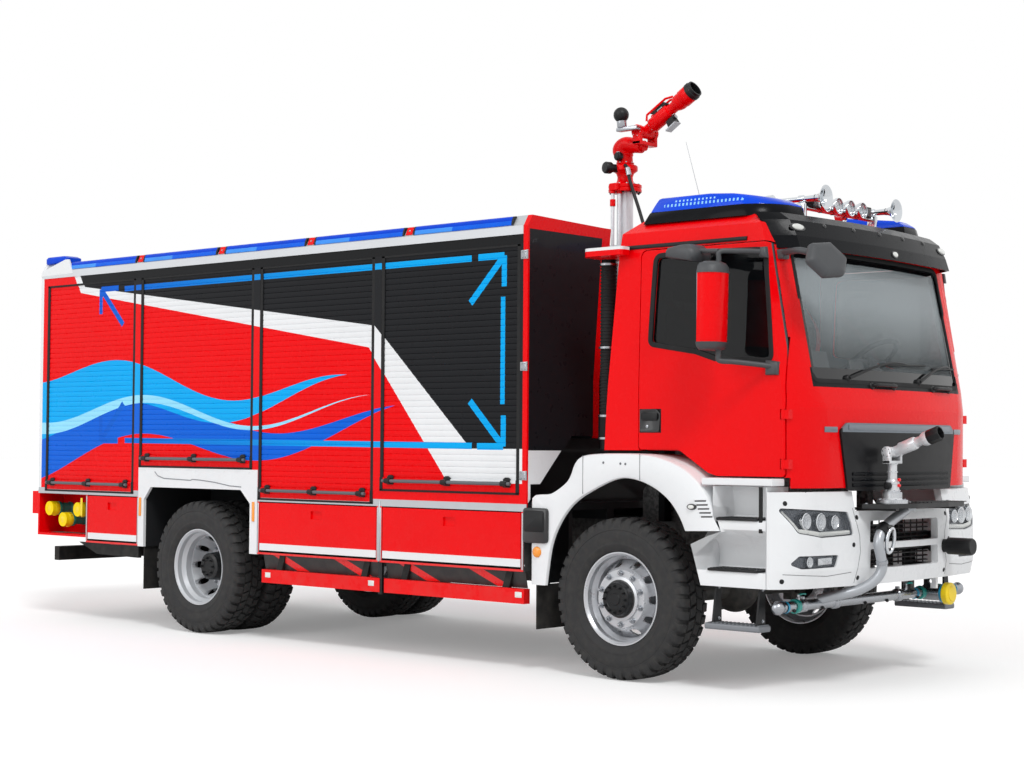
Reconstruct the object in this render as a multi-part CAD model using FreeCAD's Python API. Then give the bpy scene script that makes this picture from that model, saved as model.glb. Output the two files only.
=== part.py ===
"""Water tanker fire truck, 4x4, short cab, with roof monitor on a telescopic mast and bumper monitor.

Frame: +X forward, +Y to the truck's left, +Z up, origin on the ground at the centre of the
bounding box. Millimetres. Lengths "ahead of the front axle" go through fx(), lengths "ahead of
the rear axle" through rx().
"""
import FreeCAD, Part
import math
import os

Vector = FreeCAD.Vector

# ------------------------------------------------------------------ driving dimensions
# Overall
WHEELBASE = 4200
REAR_OVERHANG = 2160          # rear axle to the body's rear wall
REAR_FITTINGS = 120           # ladder and handrail stand this far behind the rear wall
FRONT_REACH = 1820            # front axle to the tip of the bumper monitor
BODY_WIDTH = 2500
BODY_SIDE_TOP = 2977          # top of the gutter rail, where the roof starts
BODY_ROOF_EDGE = 3050
CAB_WIDTH = 2240

# Wheels
TYRE_RADIUS = 522
TYRE_WIDTH = 285
RIM_RADIUS = 300              # outside of the rim flange
BEAD_RADIUS = 286
RIM_WIDTH = 234               # over the flanges
FRONT_WHEEL_Y = 1045          # centre plane of the front wheel
TYRE_SWEEP = 604              # kingpin axis to what the steered tyre never reaches
REAR_WHEEL_Y = 1100           # centre plane of the outer rear wheel
TWIN_SPACING = 330
RIM_OFFSET = 165              # centre plane to the disc's mounting face
HUB_BORE_RADIUS = 141
HAND_HOLES = 10
HAND_HOLE_RADIUS = 27

# Axles
KINGPIN_Y = 900
KINGPIN_RADIUS = 22
FRONT_SPINDLE_RADIUS = 45
REAR_SPINDLE_RADIUS = 60
AXLE_TUBE_RADIUS = 65
SPRING_Y = 432
SPRING_WIDTH = 72
SPRING_HALF_LENGTH = 780

# Chassis frame
RAIL_OUTER = 390              # half the width over the rails
RAIL_FLANGE = 75
RAIL_HEIGHT = 270
RAIL_TOP = 990
RAIL_THICKNESS = 9
COUPLING_Z = 800              # middle of the rear coupling's bolt pattern

# Running clearances
FIT = 0.3                     # turning and sliding fits
SHUT_GAP = 6                  # door and flap gaps

# Cab
CAB_BOTTOM = 1318
CAB_ARCH_BOTTOM = 1475        # lower edge over the front wheel
CAB_FLOOR = 1530
CAB_FLOOR_THICKNESS = 60
CAB_WALL = 70
CAB_CREASE = 1742
CAB_BELT = 1877               # lower edge of the windscreen panel
CAB_EAVES = 2750              # upper edge of the windscreen
CAB_ROOF_EDGE = 2880
CAB_ROOF = 2965
DOOR_REAR = 115               # ahead of the front axle
DOOR_FRONT = 1213
DOOR_TOP = 2758
DOOR_INNER_Y = 1045           # inner face of the doors
DOOR_HINGE_X = 1203
DOOR_HINGE_HEIGHTS = (1400, 1700)
HINGE_BARREL_RADIUS = 13
HINGE_PIN_RADIUS = 6
HINGE_LENGTH = 56
GLASS = 8
MIRROR_SEAT = 1.5             # front mirror's foot in the pillar

# Bumper
GRILLE_SEAT = 0.8             # sealing gap behind the grille
BUMPER_TOP = 1232
BUMPER_BOTTOM = 652
BUMPER_WALL = 45
AIR_OPENING_HALF = 425        # at the openings' upper edges
BUMPER_SEAM = 17              # seams of the middle bars, inside the openings' corners
TOW_X = 1285                  # towing eyes, ahead of the front axle
TOW_Y = 540
TOW_Z = 620
TOW_RADIUS = 16

# Superstructure
BODY_FRONT_GAP = 725          # front axle back to the body's front wall
PANEL = 40                    # thickness of the body walls
FLOOR_BOTTOM = 1060
FLOOR_TOP = 1110
SHUTTER_TOP = 2854
BAY_POST = 70
ARCH_BAY_REAR = 740           # wheel-arch shutter bay, behind and ahead of the rear axle
ARCH_BAY_FRONT = 680
FRONT_BAY_LENGTH = 1330
FRONT_POST = 65
REAR_POST = 100
SHUTTER_BOTTOMS = (1156, 1377, 1148, 1245)
CURTAIN = 22
CURTAIN_RECESS = 8
BAR_HEIGHT = 70               # grab bar above the curtain's foot
BAR_STANDOFF = 38
BAR_RADIUS = 14
SLAT_PITCH = 42
SLAT_GROOVE = 4
WALKWAY_HALF_WIDTH = 450
WALKWAY_DEPTH = 130
ROOF_SKIN = 40
LIGHT_MODULES = 5
LIGHT_MODULE_GAP = 90
REAR_SHUTTER_HALF_WIDTH = 700
REAR_SHUTTER_BOTTOM = 1180
REAR_SHUTTER_TOP = 2740

# Mast well in the middle of the front wall
WELL_HALF_WIDTH = 485
WELL_TOP_HALF_WIDTH = 362
WELL_DEPTH = 520
WELL_FLOOR = 1570
WELL_BEND = 1950              # height where the well's sides start to close in
WELL_SHEET = 25
WELL_TOP_Z = 2860             # underside of the walkway, where the well's sheets end
FRONT_WALL_BOTTOM = 1243
RECESS_DEPTH = 300            # recess below the well, behind the cab

# Lower lockers
LOCKER_BOTTOM = 660
LOCKER_DEPTH = 510
LOCKER_WALL = 20
LOCKER_SHEET = 15
FLAP_THICKNESS = 32
FLAP_BOTTOM = 690
FLAP_TOP = 1052
FLAP_HINGE_Z = 702
FLAP_HINGE_INSET = 14
FLAP_PIN_RADIUS = 6
LOCKER_GAP = 15
REAR_LOCKER_LENGTH = 720
FRONT_LOCKER_LENGTH = 1365

# Rear wheel arch
ARCH_OPENING = 662
ARCH_LEG_REAR = 736
ARCH_LEG_FRONT = 748
ARCH_TOP = 1295
ARCH_BOTTOM = 657
WHEELHOUSE_INNER = 560
WHEELHOUSE_WALL = 20
ARCH_FRAME_DEPTH = 20

# Mast and monitors
MAST_X = -885                 # ahead of the front axle, in the well
MAST_RADIUS = 60
MAST_TOP = 3340               # underside of the head flange
MAST_BASE_TOP = 2850
MAST_WALL = 10
LIFT_ROD_RADIUS = 31
LIFT_OFFSET = 112             # mast axis to the lifting cylinder
ROOF_MONITOR_PIVOT = (180, 420)     # ahead of the mast axis, above the mast flange
ROOF_BARREL_LENGTH = 520
ROOF_BARREL_ANGLE = 31
BUMPER_MONITOR_X = 1485       # ahead of the front axle
BUMPER_MONITOR_Y = -310
BUMPER_MONITOR_Z = 1168
BUMPER_PIVOT_HEIGHT = 308
BUMPER_BARREL_ANGLE = 20
BUMPER_BARREL_LENGTH = 356
BUMPER_BARREL_RADIUS = 30
BUMPER_FOOT_HEIGHT = 60
ROOF_BARREL_RADIUS = 40
MAST_HEAD_HEIGHT = 205        # mast flange to the foot of the turning head
SPIGOT_SHARE = 0.9            # spigot radius as a share of the barrel's radius
YOKE_SHARE = 2.6              # half width of the yoke, likewise

# ------------------------------------------------------------------ derived places
FRONT_AXLE_X = (WHEELBASE + REAR_OVERHANG + REAR_FITTINGS - FRONT_REACH) / 2
REAR_AXLE_X = FRONT_AXLE_X - WHEELBASE
SIDE = BODY_WIDTH / 2
CAB_SIDE = CAB_WIDTH / 2


def fx(ahead):
    """X of a place given by its distance ahead of the front axle."""
    return FRONT_AXLE_X + ahead


def rx(ahead):
    """X of a place given by its distance ahead of the rear axle."""
    return REAR_AXLE_X + ahead


BODY_FRONT = fx(-BODY_FRONT_GAP)
BODY_REAR = rx(-REAR_OVERHANG)
REAR_BAY = (BODY_REAR + REAR_POST, rx(-ARCH_BAY_REAR) - BAY_POST)
ARCH_BAY = (rx(-ARCH_BAY_REAR), rx(ARCH_BAY_FRONT))
FRONT_BAY = (BODY_FRONT - FRONT_POST - FRONT_BAY_LENGTH, BODY_FRONT - FRONT_POST)
MID_BAY = (ARCH_BAY[1] + BAY_POST, FRONT_BAY[0] - BAY_POST)
BAYS = (REAR_BAY, ARCH_BAY, MID_BAY, FRONT_BAY)

FRONT_LOCKER = (BODY_FRONT - 25 - FRONT_LOCKER_LENGTH, BODY_FRONT - 25)
MID_LOCKER = (rx(ARCH_LEG_FRONT) + 1, FRONT_LOCKER[0] - LOCKER_GAP)
REAR_LOCKER = (rx(-ARCH_LEG_REAR) - 1 - REAR_LOCKER_LENGTH, rx(-ARCH_LEG_REAR) - 1)
LOCKERS = {"rear": REAR_LOCKER, "mid": MID_LOCKER, "front": FRONT_LOCKER}


# ------------------------------------------------------------------ shape helpers
def box(x, y, z):
    """Block between the low and high values of each axis."""
    return Part.makeBox(x[1] - x[0], y[1] - y[0], z[1] - z[0], Vector(x[0], y[0], z[0]))


def rod(start, end, radius):
    """Cylinder from one point to another."""
    a = Vector(*start)
    b = Vector(*end)
    return Part.makeCylinder(radius, (b - a).Length, a, b - a)


def tube(start, end, outer, inner):
    """Pipe from one point to another."""
    return rod(start, end, outer).cut(rod(start, end, inner))


def cone(start, end, r1, r2):
    a = Vector(*start)
    b = Vector(*end)
    return Part.makeCone(r1, r2, (b - a).Length, a, b - a)


def face_of(points):
    return Part.Face(Part.makePolygon(points + [points[0]]))


def side_prism(points, y):
    """Outline in the side view (x, z), from one y to another."""
    face = face_of([Vector(px, y[0], pz) for px, pz in points])
    return face.extrude(Vector(0, y[1] - y[0], 0))


def end_prism(points, x):
    """Outline in the end view (y, z), from one x to another."""
    face = face_of([Vector(x[0], py, pz) for py, pz in points])
    return face.extrude(Vector(x[1] - x[0], 0, 0))


def rounded(points, radii):
    """Polygon corners (a, b) rounded to arcs; gives (line or arc) point groups in order."""
    count = len(points)
    if not isinstance(radii, (list, tuple)):
        radii = [radii] * count
    groups = []
    ends = []
    for i in range(count):
        p = Vector(points[i][0], points[i][1], 0)
        before = (Vector(points[i - 1][0], points[i - 1][1], 0) - p).normalize()
        nxt = points[(i + 1) % count]
        after = (Vector(nxt[0], nxt[1], 0) - p).normalize()
        if radii[i] <= 0:
            ends.append((p, None, p))
            continue
        half = before.getAngle(after) / 2
        reach = radii[i] / math.tan(half)
        centre = p + (before + after).normalize() * (radii[i] / math.sin(half))
        middle = centre + (p - centre).normalize() * radii[i]
        ends.append((p + before * reach, middle, p + after * reach))
    for i in range(count):
        start, middle, end = ends[i]
        if middle is not None:
            groups.append((start, middle, end))
        groups.append((end, ends[(i + 1) % count][0]))
    return groups


def rounded_face(points, radii, place):
    """Face with rounded corners; place turns an outline point into a place in space."""
    edges = []
    for group in rounded(points, radii):
        spots = [place(p.x, p.y) for p in group]
        if len(spots) == 3:
            edges.append(Part.Arc(*spots).toShape())
        elif (spots[1] - spots[0]).Length > 1e-6:
            edges.append(Part.LineSegment(*spots).toShape())
    return Part.Face(Part.Wire(edges))


def side_plate(points, radii, y):
    face = rounded_face(points, radii, lambda a, b: Vector(a, y[0], b))
    return face.extrude(Vector(0, y[1] - y[0], 0))


def end_plate(points, radii, x):
    face = rounded_face(points, radii, lambda a, b: Vector(x[0], a, b))
    return face.extrude(Vector(x[1] - x[0], 0, 0))


def plan_plate(points, radii, z):
    face = rounded_face(points, radii, lambda a, b: Vector(a, b, z[0]))
    return face.extrude(Vector(0, 0, z[1] - z[0]))


def fuse(*shapes):
    """One solid from pieces that share faces or overlap."""
    return shapes[0].multiFuse(list(shapes[1:])).removeSplitter()


def mirrored(shape):
    """The same piece on the other side of the truck."""
    return shape.mirror(Vector(0, 0, 0), Vector(0, 1, 0))


def both(shape):
    """Right-hand piece and its left-hand twin."""
    return [shape, mirrored(shape)]


def revolved(profile, centre):
    """Profile of (radius, out) points turned about the Y axis through centre.

    A point's out is its distance along -Y, towards the right-hand side of the truck.
    """
    x, y, z = centre
    face = face_of([Vector(x, y - out, z + radius) for radius, out in profile])
    return face.revolve(Vector(x, y, z), Vector(0, 1, 0), 360)


# ------------------------------------------------------------------ wheels
def tyre(centre):
    """Tyre carcass: bead, sidewall bulge, square shoulder, and the cavity over the rim."""
    seat = BEAD_RADIUS + FIT
    lip = RIM_RADIUS + FIT
    half = TYRE_WIDTH / 2
    flange = RIM_WIDTH / 2
    bead = flange - 12 - FIT
    outside = [(seat, bead), (lip, bead), (lip, flange - 4), (lip + 40, half - 6),
               (lip + 105, half), (TYRE_RADIUS - 40, half - 8), (TYRE_RADIUS - 12, half - 22),
               (TYRE_RADIUS, half - 48)]
    inside = [(TYRE_RADIUS - 26, half - 60), (TYRE_RADIUS - 60, half - 24),
              (lip + 60, half - 18), (seat + 16, bead - 22), (seat, bead - 26)]
    far_outside = [(r, -out) for r, out in reversed(outside)]
    far_inside = [(r, -out) for r, out in reversed(inside)]
    return revolved(outside + far_outside + far_inside + inside, centre)


def rim_barrel():
    """Profile of the rim's barrel with its drop centre, as (radius, out) points."""
    half = RIM_WIDTH / 2
    outer = [(RIM_RADIUS, half), (RIM_RADIUS, half - 8), (BEAD_RADIUS, half - 12),
             (BEAD_RADIUS, 62), (BEAD_RADIUS - 24, 34)]
    inner = [(BEAD_RADIUS - 32, 34), (BEAD_RADIUS - 8, 62), (BEAD_RADIUS - 8, half - 16),
             (RIM_RADIUS - 8, half)]
    far_outer = [(r, -s) for r, s in reversed(outer)]
    far_inner = [(r, -s) for r, s in reversed(inner)]
    return outer + far_outer + far_inner + inner


def disc_profile(sign):
    """Dished disc from the barrel to the mounting face; sign is the side that it bulges to."""
    face = sign * RIM_OFFSET
    t = 14 * sign
    return [(BEAD_RADIUS - 28, sign * 20), (BEAD_RADIUS - 28, sign * 34), (228, sign * 92),
            (186, face), (HUB_BORE_RADIUS - 5, face), (HUB_BORE_RADIUS - 5, face - t),
            (182, face - t), (221, sign * 80), (BEAD_RADIUS - 42, sign * 20)]


def hand_holes(centre, out, depth):
    """Ring of round holes through the sloping part of the disc."""
    x, y, z = centre
    holes = []
    for i in range(HAND_HOLES):
        angle = 2 * math.pi * i / HAND_HOLES
        hx = x + 222 * math.cos(angle)
        hz = z + 222 * math.sin(angle)
        holes.append(rod((hx, y - out, hz), (hx, y - out - depth, hz), HAND_HOLE_RADIUS))
    return holes


def front_rim():
    """Right front wheel with its hub: the disc bulges outwards."""
    centre = (fx(0), -FRONT_WHEEL_Y, TYRE_RADIUS)
    offset = 60
    disc = [(r, s - offset) for r, s in disc_profile(1)]
    disc[0] = (BEAD_RADIUS - 28, -30)
    disc[1] = (BEAD_RADIUS - 28, -14)
    disc[-1] = (BEAD_RADIUS - 42, -30)
    face = RIM_OFFSET - offset
    hub = [(FRONT_SPINDLE_RADIUS + FIT, -92), (205, -92), (205, -30), (HUB_BORE_RADIUS, -20),
           (HUB_BORE_RADIUS, face + 10), (112, face + 18), (104, face + 52), (86, face + 60),
           (0, face + 60), (0, 82), (FRONT_SPINDLE_RADIUS + FIT, 82)]
    solid = fuse(revolved(rim_barrel(), centre), revolved(disc, centre), revolved(hub, centre))
    for hole in hand_holes(centre, -15, 90):
        solid = solid.cut(hole)
    return solid


def rear_rims():
    """Right rear twin wheels with their hub and drum, clamped disc to disc."""
    outer = (rx(0), -REAR_WHEEL_Y, TYRE_RADIUS)
    inner = (rx(0), -(REAR_WHEEL_Y - TWIN_SPACING), TYRE_RADIUS)
    clamp = REAR_WHEEL_Y - RIM_OFFSET
    hub_centre = (rx(0), 0, TYRE_RADIUS)
    hub = [(REAR_SPINDLE_RADIUS + FIT, 702), (205, 702), (205, clamp - 40),
           (HUB_BORE_RADIUS, clamp - 30), (HUB_BORE_RADIUS, clamp + 28), (118, clamp + 40),
           (104, clamp + 170), (88, clamp + 182), (0, clamp + 182), (0, 1064),
           (REAR_SPINDLE_RADIUS + FIT, 1064)]
    solid = fuse(revolved(rim_barrel(), outer), revolved(disc_profile(-1), outer),
                 revolved(rim_barrel(), inner), revolved(disc_profile(1), inner),
                 revolved(hub, hub_centre))
    for hole in hand_holes(outer, -150, 140):
        solid = solid.cut(hole)
    return solid


def make_wheels(nodes):
    front_tyre = tyre((fx(0), -FRONT_WHEEL_Y, TYRE_RADIUS))
    front = front_rim()
    rear_tyres = [tyre((rx(0), -REAR_WHEEL_Y, TYRE_RADIUS)),
                  tyre((rx(0), -(REAR_WHEEL_Y - TWIN_SPACING), TYRE_RADIUS))]
    rear = rear_rims()
    nodes["front_tyre_right"] = [front_tyre]
    nodes["front_tyre_left"] = [mirrored(front_tyre)]
    nodes["front_rim_right"] = [front]
    nodes["front_rim_left"] = [mirrored(front)]
    nodes["rear_tyres_right"] = rear_tyres
    nodes["rear_tyres_left"] = [mirrored(t) for t in rear_tyres]
    nodes["rear_rims_right"] = [rear]
    nodes["rear_rims_left"] = [mirrored(rear)]


# ------------------------------------------------------------------ axles, knuckles, springs
def leaf_spring(x, pad_top):
    """Parabolic leaf pack on the right side, clamped on the axle at x."""
    eye_z = RAIL_TOP - RAIL_HEIGHT - 30
    low = [Vector(x - SPRING_HALF_LENGTH, 0, eye_z - 12), Vector(x, 0, pad_top),
           Vector(x + SPRING_HALF_LENGTH, 0, eye_z - 12)]
    high = [Vector(x + SPRING_HALF_LENGTH, 0, eye_z + 12), Vector(x, 0, pad_top + 62),
            Vector(x - SPRING_HALF_LENGTH, 0, eye_z + 12)]
    wire = Part.Wire([Part.Arc(*low).toShape(), Part.LineSegment(low[2], high[0]).toShape(),
                      Part.Arc(*high).toShape(), Part.LineSegment(high[2], low[0]).toShape()])
    pack = Part.Face(wire).extrude(Vector(0, SPRING_WIDTH, 0))
    pack.translate(Vector(0, -SPRING_Y - SPRING_WIDTH / 2, 0))
    eyes = []
    for end in (-1, 1):
        spot = x + end * SPRING_HALF_LENGTH
        y0 = -SPRING_Y - SPRING_WIDTH / 2
        eyes.append(rod((spot, y0, eye_z), (spot, y0 + SPRING_WIDTH, eye_z), 29.7))
    return fuse(pack, *eyes)


def front_axle():
    """Driven front axle: tube, differential, springs, and a fork for each kingpin."""
    z = TYRE_RADIUS
    end = KINGPIN_Y - 72
    pieces = [rod((fx(0), -end, z), (fx(0), end, z), AXLE_TUBE_RADIUS)]
    bulge = Part.makeSphere(165, Vector(fx(0), 130, z))
    pieces.append(bulge.common(box((fx(-150), fx(150)), (-40, 300), (z - 165, z + 165))))
    pieces.append(rod((fx(-270), 130, z + 10), (fx(0), 130, z + 10), 62))
    pad_top = z + AXLE_TUBE_RADIUS + 22
    for side in (-1, 1):
        fork = box((fx(-36), fx(36)), (end - 38, end), (z - 116, z + 116))
        for low in (z - 116, z + 70 + FIT):
            arm = box((fx(-36), fx(36)), (end - 38, KINGPIN_Y + 30), (low, low + 46 - FIT))
            fork = fork.fuse(arm)
        fork = fork.cut(rod((fx(0), KINGPIN_Y, z - 130), (fx(0), KINGPIN_Y, z + 130),
                            KINGPIN_RADIUS + FIT))
        pad = box((fx(-85), fx(85)), (SPRING_Y - 42, SPRING_Y + 42), (z, pad_top + 10))
        if side < 0:
            fork = mirrored(fork)
            pad = mirrored(pad)
        pieces += [fork, pad]
    right = leaf_spring(fx(0), pad_top)
    return fuse(*pieces, right, mirrored(right))


def knuckle():
    """Right steering knuckle: block with the kingpin, stub axle and steering arm."""
    z = TYRE_RADIUS
    block = box((fx(-52), fx(52)), (-KINGPIN_Y - 46, -KINGPIN_Y + 38), (z - 70, z + 70))
    pin = rod((fx(0), -KINGPIN_Y, z - 114), (fx(0), -KINGPIN_Y, z + 114), KINGPIN_RADIUS)
    stub = rod((fx(0), -KINGPIN_Y, z), (fx(0), -FRONT_WHEEL_Y - 78, z), FRONT_SPINDLE_RADIUS)
    arm = plan_plate([(fx(-48), -KINGPIN_Y - 30), (fx(-60), -KINGPIN_Y - 30), (fx(-210), -KINGPIN_Y + 20),
                      (fx(-210), -KINGPIN_Y + 60), (fx(-60), -KINGPIN_Y), (fx(-48), -KINGPIN_Y)],
                     [0, 0, 15, 15, 0, 0], (z - 60, z - 30))
    return fuse(block, pin, stub, arm)


def rear_axle():
    """Rear axle: banjo housing, spindles and springs."""
    z = TYRE_RADIUS
    tip = REAR_WHEEL_Y - 42
    shoulder = 700
    pieces = [rod((rx(0), -shoulder, z), (rx(0), shoulder, z), AXLE_TUBE_RADIUS + 12),
              rod((rx(0), -tip, z), (rx(0), tip, z), REAR_SPINDLE_RADIUS)]
    bulge = Part.makeSphere(205, Vector(rx(0), 0, z))
    pieces.append(bulge.common(box((rx(-190), rx(190)), (-170, 170), (z - 205, z + 205))))
    pieces.append(rod((rx(0), 0, z + 20), (rx(330), 0, z + 20), 75))
    pad_top = z + AXLE_TUBE_RADIUS + 30
    for side in (-1, 1):
        y = side * SPRING_Y
        pieces.append(box((rx(-95), rx(95)), (y - 42, y + 42), (z, pad_top + 10)))
    right = leaf_spring(rx(0), pad_top)
    return fuse(*pieces, right, mirrored(right))


def make_axles(nodes):
    nodes["front_axle"] = [front_axle()]
    nodes["rear_axle"] = [rear_axle()]
    right = knuckle()
    nodes["knuckle_right"] = [right]
    nodes["knuckle_left"] = [mirrored(right)]


# ------------------------------------------------------------------ chassis and powertrain
def chassis_frame():
    """Two channel rails, cross members, spring hangers and the rear coupling plate."""
    bottom = RAIL_TOP - RAIL_HEIGHT
    inner = RAIL_OUTER - RAIL_FLANGE
    web = RAIL_OUTER - RAIL_THICKNESS
    span = (BODY_REAR + 150, fx(1090))
    channel = [(-RAIL_OUTER, bottom), (-inner, bottom), (-inner, bottom + RAIL_THICKNESS),
               (-web, bottom + RAIL_THICKNESS), (-web, RAIL_TOP - RAIL_THICKNESS),
               (-inner, RAIL_TOP - RAIL_THICKNESS), (-inner, RAIL_TOP), (-RAIL_OUTER, RAIL_TOP)]
    rail = end_prism(channel, span)
    pieces = [rail, mirrored(rail)]
    for x in (fx(1030), fx(-1350), fx(-2050), rx(620), rx(-640), rx(-1300)):
        pieces.append(box((x - 30, x + 30), (-web, web), (bottom + 40, RAIL_TOP - 40)))
    end = BODY_REAR + 150
    plate = box((end, end + 14), (-web, web), (bottom, RAIL_TOP))
    for dy in (-80, 80):
        for dz in (-50, 50):
            z = COUPLING_Z + dz
            plate = plate.cut(rod((end - 5, dy, z), (end + 20, dy, z), 10.5))
    pieces.append(plate)
    for x, top in ((fx(-100), CAB_ARCH_BOTTOM), (fx(900), CAB_FLOOR - CAB_FLOOR_THICKNESS)):
        post = box((x - 40, x + 40), (-RAIL_OUTER + 5, -inner + 10), (RAIL_TOP, top))
        pieces += [post, mirrored(post)]
    for axle in (fx(0), rx(0)):
        for sign in (-1, 1):
            x = axle + sign * SPRING_HALF_LENGTH
            hanger = side_prism([(x - 40, bottom), (x + 40, bottom), (x + 70, bottom + 110),
                                 (x - 70, bottom + 110)],
                                (RAIL_OUTER, SPRING_Y + SPRING_WIDTH / 2))
            pieces += [hanger, mirrored(hanger)]
    return fuse(*pieces)


def powertrain():
    """Engine block, gearbox, transfer case and propeller shafts."""
    engine = box((fx(-480), fx(800)), (-298, 298), (712, 1400))
    engine = engine.cut(side_prism([(fx(-490), 1180), (fx(-300), 1410), (fx(-490), 1410)],
                                   (-300, 300)))
    pieces = [engine]
    for x in (fx(-350), fx(620)):
        pieces.append(box((x - 40, x + 40), (-381, 381), (820, 880)))
    pieces.append(box((fx(-1150), fx(-480)), (-190, 190), (640, 975)))
    pieces.append(box((fx(-1900), fx(-1540)), (-170, 230), (500, 880)))
    pieces.append(rod((fx(-1540), 0, 705), (fx(-1150), 0, 705), 48))
    pieces.append(rod((fx(-1540), 130, 560), (fx(-273), 130, TYRE_RADIUS + 10), 42))
    pieces.append(rod((fx(-1900), 0, 640), (rx(335), 0, TYRE_RADIUS + 20), 52))
    return fuse(*pieces)


# ------------------------------------------------------------------ cab
# Each section is (z, rear x, half width, side line's front x, corner x, corner y, middle x),
# the x values ahead of the front axle.
CAB_SECTIONS = [
    (CAB_BOTTOM, -178, CAB_SIDE - 2, 1205, 1340, 800, 1385),
    (CAB_CREASE, -152, CAB_SIDE, 1205, 1336, 830, 1385),
    (CAB_BELT, -142, CAB_SIDE, 1195, 1296, 884, 1352),
    (CAB_EAVES, -68, CAB_SIDE - 24, 1062, 1112, 880, 1172),
    (CAB_ROOF_EDGE, -58, CAB_SIDE - 42, 1015, 1062, 850, 1122),
    (CAB_ROOF, 30, CAB_SIDE - 150, 880, 925, 700, 975),
]


def cab_section(section, inset):
    z, rear, half, shoulder, corner_x, corner_y, middle = section
    rear = fx(rear) + inset
    half = half - inset
    shoulder = fx(shoulder) - inset * 0.4
    corner = Vector(fx(corner_x) - inset, corner_y - inset * 0.8, z)
    front = Vector(fx(middle) - inset, 0, z)
    side = Vector(shoulder, half, z)
    mid_corner = (side + corner) * 0.5 + Vector(0.055 * (corner.y - side.y) * -1,
                                                0.10 * (corner.x - side.x), 0)
    back = Vector(rear, half, z)

    def opposite(p):
        return Vector(p.x, -p.y, p.z)

    return Part.Wire([
        Part.LineSegment(opposite(back), opposite(side)).toShape(),
        Part.Arc(opposite(side), opposite(mid_corner), opposite(corner)).toShape(),
        Part.Arc(opposite(corner), front, corner).toShape(),
        Part.Arc(corner, mid_corner, side).toShape(),
        Part.LineSegment(side, back).toShape(),
        Part.LineSegment(back, opposite(back)).toShape(),
    ])


def cab_solid(inset=0, floor=None, ceiling=None):
    """The cab's outer form, moved inwards by inset."""
    sections = list(CAB_SECTIONS)
    if ceiling is not None:
        sections = [s for s in sections if s[0] < ceiling]
        last = CAB_SECTIONS[len(sections) - 1]
        following = CAB_SECTIONS[len(sections)]
        share = (ceiling - last[0]) / (following[0] - last[0])
        sections.append(tuple(a + (b - a) * share for a, b in zip(last, following)))
    if floor is not None:
        lifted = list(sections[0])
        lifted[0] = floor
        sections[0] = tuple(lifted)
    return Part.makeLoft([cab_section(s, inset) for s in sections], True, True)


DOOR_OUTLINE = [(DOOR_REAR, CAB_ARCH_BOTTOM + 6), (430, CAB_ARCH_BOTTOM + 6), (655, CAB_BOTTOM + 22),
                (720, CAB_BOTTOM + 4), (DOOR_FRONT, CAB_BOTTOM + 4), (DOOR_FRONT, 1790),
                (1188, 2210), (1106, DOOR_TOP), (DOOR_REAR, DOOR_TOP)]
DOOR_RADII = [20, 60, 40, 20, 20, 0, 0, 70, 50]
WINDOW_OUTLINE = [(206, 2160), (560, 2108), (700, 2062), (1112, 2034), (1050, 2700), (238, 2712)]
WINDOW_RADII = [40, 60, 60, 40, 60, 50]


def door_prism(grow, y):
    """Door outline, grown by a gap on every side."""
    cx = sum(p[0] for p in DOOR_OUTLINE) / len(DOOR_OUTLINE)
    cz = sum(p[1] for p in DOOR_OUTLINE) / len(DOOR_OUTLINE)
    points = []
    for px, pz in DOOR_OUTLINE:
        gx = grow if px > cx else -grow
        gz = grow if pz > cz else -grow
        if (px, pz) in (DOOR_OUTLINE[1], DOOR_OUTLINE[2]):
            gx = 0
        points.append((fx(px + gx), pz + gz))
    return side_plate(points, DOOR_RADII, y)


def window_prism(y):
    return side_plate([(fx(px), pz) for px, pz in WINDOW_OUTLINE], WINDOW_RADII, y)


def screen_prism(x):
    """Windscreen opening, seen from the front."""
    return end_plate([(-905, CAB_BELT + 32), (905, CAB_BELT + 32), (902, CAB_EAVES - 30),
                      (-902, CAB_EAVES - 30)], [60, 60, 70, 70], x)


def hinge_pocket(height):
    """Room in the right door's front edge for a hinge barrel and its strap."""
    reach = HINGE_BARREL_RADIUS + 6
    x = fx(DOOR_HINGE_X)
    half = HINGE_LENGTH / 2 + 3
    return box((x - reach, x + 60), (-CAB_SIDE - 30, -CAB_SIDE + 6 + reach),
               (height - half, height + half))


def hinge_barrel(height):
    """Fixed hinge barrel on the cab's front pillar, with its strap."""
    x = fx(DOOR_HINGE_X)
    y = -CAB_SIDE + 6
    half = HINGE_LENGTH / 2
    barrel = rod((x, y, height - half), (x, y, height + half), HINGE_BARREL_RADIUS)
    strap = box((x, x + 42), (y - 5, y + 7), (height - half, height + half))
    root = box((x + 16, x + 42), (y - 5, y + 40), (height - half, height + half))
    bore = rod((x, y, height - half - 1), (x, y, height + half + 1), HINGE_PIN_RADIUS + FIT)
    return fuse(barrel, strap, root).cut(bore)


def hinge_pin(height):
    x = fx(DOOR_HINGE_X)
    y = -CAB_SIDE + 6
    half = HINGE_LENGTH / 2 + 14
    return rod((x, y, height - half), (x, y, height + half), HINGE_PIN_RADIUS)


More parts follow.
